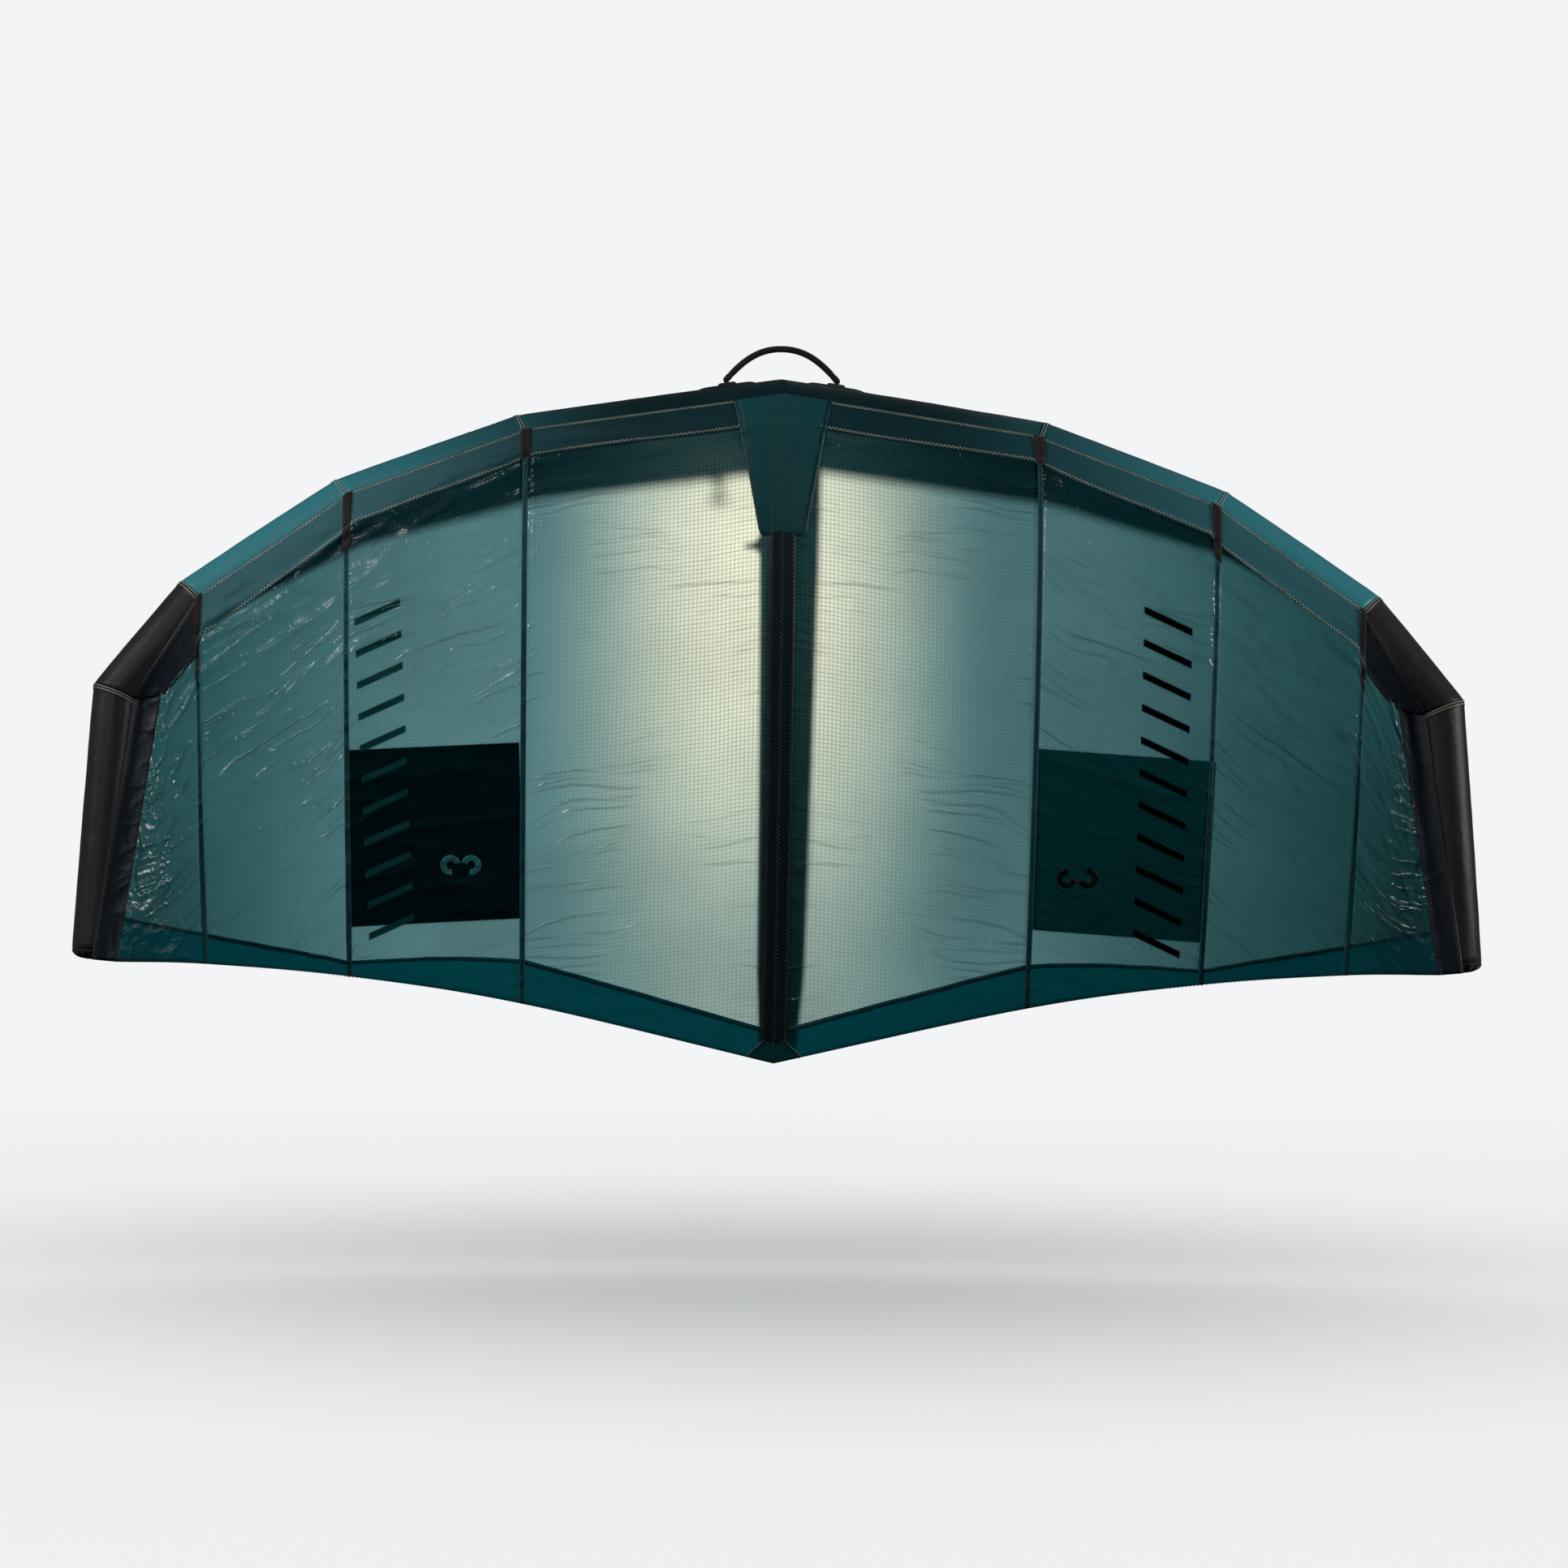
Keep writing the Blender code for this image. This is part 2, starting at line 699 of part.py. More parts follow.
def last_at_or_below(values, value):
    """Return the index of the last step whose start is at or below a value."""
    return max(index for index in range(len(values) - 1) if values[index] <= value)


def hermite(first, leaving, last, arriving, share):
    """Return a point on the curve between two points with given speeds."""
    square, cube = share ** 2, share ** 3
    return (first * (2 * cube - 3 * square + 1) + leaving * (cube - 2 * square + share)
            + last * (3 * square - 2 * cube) + arriving * (cube - square))


def bezier(start, first, second, end, share):
    """Return a point on a cubic curve by its four control points."""
    rest = 1 - share
    return (start * rest ** 3 + first * 3 * rest ** 2 * share
            + second * 3 * rest * share ** 2 + end * share ** 3)


def curve_length(points):
    """Return the length of a line of points."""
    return sum((after - before).length for before, after in zip(points, points[1:]))


def point_along(points, distance):
    """Return the point at a distance along a line of points."""
    for before, after in zip(points, points[1:]):
        step = (after - before).length
        if distance <= step:
            return mix(before, after, distance / step)
        distance -= step
    return points[-1].copy()


SIDES = (("left", LEFT), ("right", RIGHT))


def build_leading_edge(edge):
    """Make the ten sleeve panels, the two tip caps and the bladder."""
    for suffix, side in SIDES:
        for run in range(TIP):
            cloth = "sleeve_teal" if run < TIP - 2 else "sleeve_black"
            rings = []
            for reach in (0.0, -TUBE_CLOTH):
                rings.append([[mirrored(point, side) for point in edge.ring(run, kink, reach, shift)]
                              for kink, shift in ((run, SEAM_GAP / 2), (run + 1, -SEAM_GAP / 2))])
            sleeve(f"leading_edge_panel_{suffix}_{run + 1}", rings[0], rings[1], cloth)
        build_tip_cap(edge, suffix, side)
    return build_bladder(edge)


def dome(edge, radius, start, height, side, sides=TUBE_SIDES):
    """Return the rings and the pole of a dome on the tube's tip end."""
    first, second = edge.frames[-1]
    along = edge.runs[-1]
    base = edge.centres[TIP] + along * start
    rings = []
    for index in range(DOME_RINGS):
        lift = math.radians(90.0) * index / DOME_RINGS
        centre = base + along * height * math.sin(lift)
        rings.append([mirrored(centre + (first * math.cos(turn) + second * math.sin(turn))
                               * radius * math.cos(lift), side) for turn in turns(sides)])
    return rings, mirrored(base + along * height, side)


def build_tip_cap(edge, suffix, side):
    """Make the domed cloth cap that closes the tube at a tip."""
    radius = edge.radii[TIP]
    height = radius * CAP_DOME_SHARE
    outer, outer_pole = dome(edge, radius, GAP, height, side)
    inner, inner_pole = dome(edge, radius - TUBE_CLOTH, GAP, height - TUBE_CLOTH, side)
    bowl(f"tip_cap_{suffix}", outer, inner, outer_pole, inner_pole, "sleeve_black")


def build_bladder(edge):
    """Make the leading edge's bladder, from tip to tip, with every second corner of the sleeve."""
    sides = TUBE_SIDES // 2
    skins, poles = [], []
    for film in (0.0, BLADDER_FILM):
        reach = -TUBE_CLOTH - GAP - film
        right = [edge.ring(kink - 1, kink, reach, sides=sides) for kink in range(1, TIP)]
        radius = edge.radii[TIP] + reach
        ends, pole = dome(edge, radius, -TUBE_CLOTH, (radius - film) * CAP_DOME_SHARE, RIGHT,
                          sides)
        right += ends
        left = [[mirrored(point, LEFT) for point in ring] for ring in right]
        skins.append(left[::-1] + [edge.ring(0, 0, reach, sides=sides)] + right)
        poles.append((mirrored(pole, LEFT), pole))
    return balloon("leading_edge_bladder", skins[0], skins[1], poles[0], poles[1], "bladder_film")


def build_canopy(edge, canopy):
    """Make the panels, strips, bands, tapes, tabs and patches."""
    for suffix, side in SIDES:
        canopy.panel(f"leading_edge_strip_{suffix}", 0.0, 3.0, 0.0, 1.0, "edge_teal", side)
        for index in range(SEAMS):
            canopy.panel(f"canopy_panel_{suffix}_{index + 1}", float(index), float(index + 1),
                         1.0, 2.0, "canopy_teal", side)
        canopy.panel(f"trailing_edge_band_{suffix}", 0.0, float(SEAMS), 2.0, 3.0, "edge_teal", side)
        build_tip_strip(edge, canopy, suffix, side)
        build_seam_trim(canopy, suffix, side)
    build_centre_trim(canopy)


def build_tip_strip(edge, canopy, suffix, side):
    """Make the navy strip that joins the canopy to the two black tube panels of a tip."""
    first, last = float(SEAMS - 1), float(SEAMS)
    lines, normals = [], []
    for column in canopy.columns_between(first, last):
        station = canopy.aside(column, 0.0, SEAM_GAP / 2) if column == first else column
        lines.append([canopy.read(canopy.points, station, row)
                      for row in canopy.rows_between(0.0, 1.0)])
        normals.append(canopy.read(canopy.normals, station, 1.0))
    rows = canopy.rows_between(1.0, 3.0)
    hem = [canopy.read(canopy.points, last, row) for row in rows]
    whole = curve_length(hem)
    run_length = (edge.centres[TIP] - edge.centres[TIP - 1]).length
    for index in range(1, len(rows)):
        travelled = curve_length(hem[:index + 1]) / whole
        share = travelled * (run_length + TIP_OVERHANG) / run_length
        start, heading, run = edge.leaving(TIP - 1 + min(share, 1))
        start = start + run * max(share - 1, 0) * run_length
        middle = start + heading * (hem[index] - start).length / 2
        lines.append([bezier(start, mix(start, middle, 2 / 3), mix(hem[index], middle, 2 / 3),
                             hem[index], place)
                      for place in canopy.rows_between(0.0, 1.0)])
        normals.append(canopy.read(canopy.normals, last, rows[index]))
    top, bottom = [], []
    for index, line in enumerate(lines):
        before, after = lines[max(index - 1, 0)], lines[min(index + 1, len(lines) - 1)]
        upper, lower = [], []
        for place, point in enumerate(line):
            ahead = line[min(place + 1, len(line) - 1)] - line[max(place - 1, 0)]
            lift = ahead.cross(after[place] - before[place]).normalized()
            if place == len(line) - 1:
                lift = normals[index].normalized()
                point = point - ahead.normalized() * SEAM_GAP / 2
            upper.append(mirrored(point + lift * CLOTH / 2, side))
            lower.append(mirrored(point - lift * CLOTH / 2, side))
        top.append(upper)
        bottom.append(lower)
    sheet(f"tip_strip_{suffix}", top, bottom, "strip_navy")


def build_seam_trim(canopy, suffix, side):
    """Make the webbing tab and the tape of each seam on one side."""
    for seam, share in zip((1.0, 2.0, 3.0), TAB_LENGTH_SHARES):
        strip = STRIP_WIDTH * at_station(STRIP_WIDTH_SHARES, seam)
        end = canopy.behind(seam, 1.0, strip * (share - 1))
        rows = canopy.rows_between(0.0, end)
        canopy.trim_strip(f"load_tab_{suffix}_{int(seam)}", seam, [TAB_WIDTH / 2] * len(rows), rows,
                          TAB_THICKNESS, "webbing_black", side)
        rows = canopy.rows_between(canopy.behind(seam, end, SEAM_GAP), 3.0)
        canopy.trim_strip(f"seam_tape_{suffix}_{int(seam)}", seam, [TAPE_WIDTH / 2] * len(rows),
                          rows, TRIM_CLOTH, "edge_teal", side)


def build_centre_trim(canopy):
    """Make the nose patch, the centre tape and the tail patch along the centre seam."""
    chord = curve_length(canopy.points[0])
    nose_end = canopy.behind(0.0, 1.0, chord * NOSE_PATCH_END_SHARE)
    tail_start = canopy.behind(0.0, 1.0, chord * TAIL_PATCH_START_SHARE)
    nose_rows = canopy.rows_between(0.0, nose_end)
    shares = [row / nose_end for row in nose_rows]
    halves = [NOSE_PATCH_WIDTH / 2 * mix(1, NOSE_PATCH_TAIL_SHARE, share) for share in shares]
    canopy.trim_strip("nose_patch", 0.0, halves, nose_rows, TRIM_CLOTH, "edge_teal")
    tape_rows = canopy.rows_between(canopy.behind(0.0, nose_end, SEAM_GAP), tail_start)
    canopy.trim_strip("centre_tape", 0.0, [CENTRE_TAPE_WIDTH / 2] * len(tape_rows), tape_rows,
                      TRIM_CLOTH, "edge_teal")
    tail_rows = canopy.rows_between(canopy.behind(0.0, tail_start, SEAM_GAP), 3.0)
    halves = [TAIL_PATCH_WIDTH / 2 * mix(TAIL_PATCH_FRONT_SHARE, 1,
                                         (row - tail_start) / (3.0 - tail_start))
              for row in tail_rows]
    canopy.trim_strip("tail_patch", 0.0, halves, tail_rows, TRIM_CLOTH, "edge_teal")


# Strut

class Strut:
    """The tube under the canopy's centre seam: its stations, each with a centre and a frame."""

    def __init__(self, canopy):
        last = canopy.behind(0.0, 3.0, -STRUT_TAIL)
        rows = [0.0] + canopy.rows_between(1.0, last)
        tops = [canopy.read(canopy.points, 0.0, row) for row in rows]
        normals = [canopy.read(canopy.normals, 0.0, row) for row in rows]
        self.distances = [curve_length(tops[:index + 1]) for index in range(len(tops))]
        self.length = self.distances[-1]
        self.radii = [self.radius(distance) for distance in self.distances]
        self.centres, self.runs, self.tops = [], [], []
        for index, (top, normal) in enumerate(zip(tops, normals)):
            run = (tops[min(index + 1, len(tops) - 1)] - tops[max(index - 1, 0)]).normalized()
            upward = across(normal, run).normalized()
            full = STRUT_DIAMETER / 2 if index == 0 else self.radii[index]
            self.centres.append(top - upward * (CLOTH / 2 + GAP + full))
            self.runs.append(run)
            self.tops.append(upward)

    def radius(self, distance):
        """Return the strut's radius at a distance from its front end."""
        share = distance / self.length
        for index in range(len(STRUT_STATION_SHARES) - 1):
            first, last = STRUT_STATION_SHARES[index:index + 2]
            if share <= last or index == len(STRUT_STATION_SHARES) - 2:
                part = (share - first) / (last - first)
                return STRUT_DIAMETER / 2 * mix(STRUT_DIAMETER_SHARES[index],
                                                STRUT_DIAMETER_SHARES[index + 1], part)
        return STRUT_DIAMETER / 2

    def station(self, distance):
        """Return the centre, radius, run and upward direction at a distance from the front."""
        index = max(index for index in range(len(self.distances) - 1)
                    if self.distances[index] <= distance)
        step = self.distances[index + 1] - self.distances[index]
        share = (distance - self.distances[index]) / step
        return tuple(mix(values[index], values[index + 1], share)
                     for values in (self.centres, self.radii, self.runs, self.tops))

    def skin_point(self, distance, angle, reach):
        """Return a point round the strut, by its angle from the top towards the right side."""
        centre, radius, run, upward = self.station(distance)
        spoke = upward * math.cos(angle) + Vector((1, 0, 0)) * math.sin(angle)
        return centre + spoke * (radius + reach)

    def ring(self, distance, reach, sides=STRUT_SIDES):
        """Return a ring round the strut, a reach outside its skin."""
        return [self.skin_point(distance, turn, reach) for turn in turns(sides)]


def strut_dome(strut, distance, radius, height, heading, sides=STRUT_SIDES):
    """Return the rings and the pole of a dome on the strut, facing along or against its run."""
    centre, skin, run, upward = strut.station(distance)
    rings = []
    for index in range(DOME_RINGS):
        lift = math.radians(90.0) * index / DOME_RINGS
        middle = centre + run * heading * height * math.sin(lift)
        rings.append([middle + (upward * math.cos(turn) + Vector((1, 0, 0)) * math.sin(turn))
                      * radius * math.cos(lift) for turn in turns(sides)])
    return rings, centre + run * heading * height


def build_strut(strut, nose_guide):
    """Make the strut's sleeve, cut to the leading edge, with its bladder and its tail cap."""
    rings = [[strut.ring(distance, reach) for distance in strut.distances]
             for reach in (0.0, -STRUT_CLOTH)]
    made = sleeve("strut_sleeve", rings[0], rings[1], "sleeve_teal")
    change(made, nose_guide, "DIFFERENCE")
    tail = strut.length
    radius = strut.radii[-1]
    height = radius * CAP_DOME_SHARE
    shift = strut.runs[-1] * GAP
    outer, outer_pole = strut_dome(strut, tail, radius, height, 1)
    inner, inner_pole = strut_dome(strut, tail, radius - STRUT_CLOTH, height - STRUT_CLOTH, 1)
    bowl("strut_tail_cap", [[point + shift for point in ring] for ring in outer],
         [[point + shift for point in ring] for ring in inner],
         outer_pole + shift, inner_pole + shift, "sleeve_black")
    return made, build_strut_bladder(strut)


def build_strut_bladder(strut):
    """Make the strut's bladder, closed at both ends, with every second corner of the sleeve."""
    sides = STRUT_SIDES // 2
    front = strut.length * STRUT_BLADDER_START_SHARE
    back = strut.length - STRUT_CLOTH
    inside = [distance for distance in strut.distances if front < distance < back]
    skins, poles = [], []
    for film in (0.0, BLADDER_FILM):
        reach = -STRUT_CLOTH - GAP - film
        ends = []
        for distance, heading in ((front, -1), (back, 1)):
            radius = strut.radius(distance) + reach
            ends.append(strut_dome(strut, distance, radius, (radius - film) * CAP_DOME_SHARE,
                                   heading, sides))
        rings = [strut.ring(distance, reach, sides) for distance in inside]
        skins.append(ends[0][0][::-1] + rings + ends[1][0])
        poles.append((ends[0][1], ends[1][1]))
    return balloon("strut_bladder", skins[0], skins[1], poles[0], poles[1], "bladder_film")


# Front handle

def build_front_handle(edge):
    """Make the front handle's loop and the patch with its lug on each side."""
    station = LOOP_WIDTH / 2 / edge.centres[1].x
    angle = math.radians(sum(LUG_ANGLES) / 2)
    reach = GAP + HANDLE_PATCH_THICKNESS + LUG_HEIGHT + GAP + LOOP_THICKNESS / 2
    foot = edge.skin_point(station, angle, reach)
    top = Vector((0, 0, LOOP_THICKNESS / 2))
    rise = top.z - foot.z
    start = Vector((-foot.x, 0, foot.z))
    width = foot.x
    first = start + Vector((width * LOOP_FOOT_SHARES[0], 0, rise * LOOP_FOOT_SHARES[1]))
    second = top - Vector((width * LOOP_SHOULDER_SHARE, 0, 0))
    half = [bezier(start, first, second, top, index / LOOP_STEPS)
            for index in range(LOOP_STEPS + 1)]
    path = half + [mirrored(point, LEFT) for point in half[-2::-1]]
    rings = swept_rings(path, [LOOP_THICKNESS / 2] * len(path), LOOP_SIDES)
    first_cap = ball_rings(path[0], path[0] - path[1], LOOP_THICKNESS / 2, rings[0])
    last_cap = ball_rings(path[-1], path[-1] - path[-2], LOOP_THICKNESS / 2, rings[-1])
    solid("front_handle_loop", first_cap[0][::-1] + rings + last_cap[0], "webbing_black",
          first_cap[1], last_cap[1])
    for suffix, side in SIDES:
        build_handle_patch(edge, suffix, side, station)
    pivot("front_handle_loop", Vector((0, foot.y, foot.z)))


def swept_rings(path, radii, sides):
    """Return rings of points square to a path, with the least twist."""
    run = (path[1] - path[0]).normalized()
    spoke = across(Vector((0, 1, 0)), run).normalized()
    rings = []
    for index, (point, radius) in enumerate(zip(path, radii)):
        ahead = (path[min(index + 1, len(path) - 1)] - path[max(index - 1, 0)]).normalized()
        spoke = (run.rotation_difference(ahead) @ spoke).normalized()
        run = ahead
        side = run.cross(spoke)
        rings.append([point + (spoke * math.cos(turn) + side * math.sin(turn)) * radius
                      for turn in turns(sides)])
    return rings


def ball_rings(centre, heading, radius, base):
    """Return the rings and the pole of a round end on a ring."""
    heading = heading.normalized()
    rings = []
    for index in range(1, LOOP_END_RINGS):
        lift = math.radians(90.0) * index / LOOP_END_RINGS
        rings.append([centre + (point - centre) * math.cos(lift)
                      + heading * radius * math.sin(lift) for point in base])
    return rings, centre + heading * radius


def build_handle_patch(edge, suffix, side, station):
    """Make an oval patch with a raised lug on the front of the tube."""
    unit = edge.centres[1].x
    back, front = (math.radians(angle) for angle in HANDLE_PATCH_ANGLES)
    top, bottom = [], []
    for row in range(HANDLE_PATCH_ROWS + 1):
        angle = mix(back, front, row / HANDLE_PATCH_ROWS)
        place = mix(-HANDLE_PATCH_END_SHARE, HANDLE_PATCH_END_SHARE, row / HANDLE_PATCH_ROWS)
        half = HANDLE_PATCH_LENGTH / 2 * math.sqrt(1 - place ** 2) / unit
        upper, lower = [], []
        for column in range(HANDLE_PATCH_COLUMNS + 1):
            at_side = station + mix(-half, half, column / HANDLE_PATCH_COLUMNS)
            upper.append(edge.skin_point(at_side, angle, GAP + HANDLE_PATCH_THICKNESS))
            lower.append(edge.skin_point(at_side, angle, GAP))
        top.append([mirrored(point, side) for point in upper])
        bottom.append([mirrored(point, side) for point in lower])
    patch = sheet(f"front_handle_patch_{suffix}", top, bottom, "webbing_black")
    lug_half = LUG_LENGTH / 2 / unit
    low = GAP + HANDLE_PATCH_THICKNESS / 2
    high = GAP + HANDLE_PATCH_THICKNESS + LUG_HEIGHT
    corners = [[[mirrored(edge.skin_point(station + offset, math.radians(angle), reach), side)
                 for offset in (-lug_half, 0, lug_half)] for angle in LUG_ANGLES]
               for reach in (high, low)]
    lug = sheet(f"lug_guide_{suffix}", corners[0], corners[1], "webbing_black")
    change(patch, lug, "UNION")


# Strut handles

def oval(middle, first, second, half_width, half_depth, power=2.0):
    """Return a ring on a rounded oblong."""
    ring = []
    for turn in turns(GRIP_SIDES):
        cosine, sine = math.cos(turn), math.sin(turn)
        wide = math.copysign(abs(cosine) ** (2 / power), cosine) * half_width
        deep = math.copysign(abs(sine) ** (2 / power), sine) * half_depth
        ring.append(middle + first * wide + second * deep)
    return ring


def build_strut_handle(strut, name, share):
    """Make a padded handle under the strut and the anchor patch with its two ears."""
    half = GRIP_LENGTH / 2 + HANDLE_LEG_RUN
    middle = strut.length * share
    ends = []
    for distance in (middle - half, middle + half):
        ends.append(strut.skin_point(distance, math.pi, HANDLE_AXIS_REACH))
    along = (ends[1] - ends[0]).normalized()
    down = across(Vector((0, 1, 0)), along).normalized()
    side = along.cross(down)
    start, end = ends[0] + along * GAP, ends[1] - along * GAP
    length = (end - start).length
    leg = [bezier(Vector((0, 0, 0)), Vector((HANDLE_LEG_RUN / 3, 0, HANDLE_DROP / 2)),
                  Vector((HANDLE_LEG_RUN / 2, 0, HANDLE_DROP)),
                  Vector((HANDLE_LEG_RUN, 0, HANDLE_DROP)), index / HANDLE_LEG_STEPS)
           for index in range(HANDLE_LEG_STEPS + 1)]
    stations = [(point.x, point.z, 0.0) for point in leg[:-1]]
    stations += [(HANDLE_LEG_RUN, HANDLE_DROP, 0.0),
                 (HANDLE_LEG_RUN + GRIP_SHOULDER / 4, HANDLE_DROP, GRIP_SHOULDER_PAD_SHARE),
                 (HANDLE_LEG_RUN + GRIP_SHOULDER, HANDLE_DROP, 1.0)]
    stations += [(length - run, drop, pad) for run, drop, pad in stations[::-1]]
    rings = []
    for index, (run, drop, pad) in enumerate(stations):
        before = stations[max(index - 1, 0)]
        after = stations[min(index + 1, len(stations) - 1)]
        ahead = (along * (after[0] - before[0]) + down * (after[1] - before[1])).normalized()
        if index in (0, len(stations) - 1):
            ahead = along
        under = across(down, ahead).normalized()
        reach = min(run, length - run) / HANDLE_LEG_RUN
        strap = mix(HANDLE_END_WIDTH, HANDLE_STRAP_WIDTH, min(reach * 2, 1))
        width = mix(strap, GRIP_WIDTH, pad) / 2
        depth = mix(HANDLE_STRAP_THICKNESS, GRIP_DEPTH, pad) / 2
        centre = start + along * run + down * drop
        rings.append(oval(centre, side, under, width, depth))
    solid(f"{name}_handle", rings, "foam_black")
    pivot(f"{name}_handle", start)
    build_anchor(strut, name, middle, half, ends, along, down)


def build_anchor(strut, name, middle, half, ends, along, down):
    """Make the webbing patch under a handle, with an ear at each of its ends."""
    top, bottom = [], []
    wide = math.radians(ANCHOR_ANGLE)
    edges = (middle - half - ANCHOR_MARGIN, middle + half + ANCHOR_MARGIN)
    distances = [edges[0]] + [value for value in strut.distances
                              if edges[0] < value < edges[1]] + [edges[1]]
    for distance in distances:
        angles = [math.pi + mix(-wide, wide, column / ANCHOR_COLUMNS)
                  for column in range(ANCHOR_COLUMNS + 1)]
        top.append([strut.skin_point(distance, angle, GAP + ANCHOR_THICKNESS)
                    for angle in angles])
        bottom.append([strut.skin_point(distance, angle, GAP) for angle in angles])
    patch = sheet(f"{name}_handle_anchor", top, bottom, "webbing_black")
    side = along.cross(down) * EAR_WIDTH / 2
    lowest = EAR_HEIGHT - HANDLE_AXIS_REACH
    for index, (point, way) in enumerate(zip(ends, (-1, 1))):
        rings = []
        for run in (0, EAR_LENGTH * way):
            seat = strut.skin_point(middle + half * way + run, math.pi, GAP + ANCHOR_THICKNESS / 2)
            line = point + along * run
            root = line + down * (seat - point).dot(down)
            foot = line + down * lowest
            rings.append([root + side, root - side, foot - side, foot + side])
        ear = solid(f"{name}_ear_guide_{index}", rings, "webbing_black")
        change(patch, ear, "UNION")


# Valve, spigots and hose

def fitting_frame(origin, outward, along):
    """Return the frame of a fitting on a skin, its height pointing away from the skin."""
    first = across(along, outward).normalized()
    second = outward.cross(first)
    return Matrix.Translation(origin) @ Matrix((first, second, outward)).transposed().to_4x4()


def edge_frame(edge, span, angle, side):
    """Return the frame of a fitting on the leading edge's skin."""
    station = span / edge.centres[1].x
    centre, radius, run, inward, upward = edge.station(station)
    turn = math.radians(angle)
    outward = (upward * math.sin(turn) - inward * math.cos(turn)).normalized()
    origin = centre + outward * radius
    return fitting_frame(mirrored(origin, side), mirrored(outward, side), mirrored(run, side))


def strut_frame(strut, share, angle):
    """Return the frame of a fitting on the strut's skin."""
    distance = strut.length * share
    turn = math.radians(angle)
    centre = strut.station(distance)[0]
    origin = strut.skin_point(distance, turn, 0.0)
    return fitting_frame(origin, (origin - centre).normalized(), strut.station(distance)[2])


def fitting(name, frame, guide, flange, neck, finish_name):
    """Make a flange cut to a skin by its guide, joined to a neck that passes through it."""
    flange_radius, depth, height = flange
    inner = min(radius for radius, level in neck) / 2 + max(radius for radius, level in neck) / 2
    made = turned_ring(name, [(inner, -depth), (flange_radius, -depth), (flange_radius, height),
                              (inner, height)], frame, finish_name)
    change(made, guide, "DIFFERENCE")
    change(made, turned_ring(f"{name}_neck_guide", neck, frame, finish_name), "UNION")
    return made


def pierce(name, frame, radius, targets):
    """Cut a round hole for a neck through the skins that it passes."""
    low = -VALVE_DEPTH - CUT_OVERRUN
    tool = turned(name, [(radius, low), (radius, CUT_OVERRUN)], frame, "moulded_black")
    for target in targets:
        change(target, tool, "DIFFERENCE")


def build_valve(edge, guide, targets):
    """Make the inflation valve: body, sprung plunger and flip cap."""
    frame = edge_frame(edge, VALVE_SPAN, VALVE_ANGLE, RIGHT)
    neck, bore = VALVE_NECK_DIAMETER / 2, VALVE_BORE_DIAMETER / 2
    stem = PLUNGER_STEM_DIAMETER / 2
    web = -VALVE_DEPTH + VALVE_WEB
    profile = [(bore, VALVE_NECK_HEIGHT), (neck, VALVE_NECK_HEIGHT), (neck, -VALVE_DEPTH),
               (stem + GAP, -VALVE_DEPTH), (stem + GAP, web), (bore, web)]
    body = fitting("valve_body", frame, guide,
                   (VALVE_COLLAR_DIAMETER / 2, VALVE_COLLAR_DEPTH, VALVE_COLLAR_HEIGHT),
                   profile, "moulded_black")
    pierce("valve_hole_guide", frame, neck + GAP, targets)
    seal = -VALVE_DEPTH - GAP
    head = VALVE_NECK_HEIGHT - PLUNGER_SINK
    turned("valve_plunger", [(PLUNGER_SEAL_DIAMETER / 2, seal - PLUNGER_HEAD),
                             (PLUNGER_SEAL_DIAMETER / 2, seal), (stem, seal),
                             (stem, head - PLUNGER_HEAD),
                             (PLUNGER_HEAD_DIAMETER / 2, head - PLUNGER_HEAD),
                             (PLUNGER_HEAD_DIAMETER / 2, head)], frame, "moulded_black")
    pivot("valve_plunger", frame @ Vector((0, 0, head)))
    build_valve_cap(frame, body)


def build_valve_cap(frame, body):
    """Make the flip cap with its hinge barrel, and the lug under the barrel."""
    low = VALVE_NECK_HEIGHT + GAP
    high = low + CAP_THICKNESS
    radius = VALVE_NECK_DIAMETER / 2 + CAP_OVERLAP
    barrel = CAP_BARREL_DIAMETER / 2
    level = low + barrel
    cap = turned("valve_cap", [(radius, low), (radius, high)], frame, "moulded_black")
    arm = block("cap_arm_guide", frame, (0, CAP_HINGE_REACH), CAP_BARREL_LENGTH,
                (low, low + CAP_ARM_THICKNESS))
    change(cap, arm, "UNION")
    hinge = frame @ Vector((CAP_HINGE_REACH, 0, level))
    turn = Matrix.Translation((CAP_HINGE_REACH, 0, level)) @ Matrix.Rotation(
        math.radians(90.0), 4, "X")
    half = CAP_BARREL_LENGTH / 2
    pin = turned("cap_barrel_guide", [(barrel, -half), (barrel, half)], frame @ turn,
                 "moulded_black", CAP_BARREL_SIDES)
    change(cap, pin, "UNION")
    lug = block("cap_lug_guide", frame, (CAP_HINGE_REACH - barrel, CAP_HINGE_REACH + barrel),
                CAP_BARREL_LENGTH, (VALVE_COLLAR_HEIGHT / 2, low - GAP))
    change(body, lug, "UNION")
    pivot("valve_cap", hinge)


def pivot(name, point):
    """Move a piece's origin to a point on its joint's axis."""
    piece = bpy.data.objects[name]
    piece.data.transform(Matrix.Translation(-point))
    piece.location = point


def block(name, frame, run, width, heights):
    """Make an oblong guide solid in a fitting's frame."""
    half = width / 2
    rings = [[frame @ Vector((x, y, z)) for x, y in
              ((run[0], -half), (run[1], -half), (run[1], half), (run[0], half))]
             for z in heights]
    return solid(name, rings, "moulded_black")


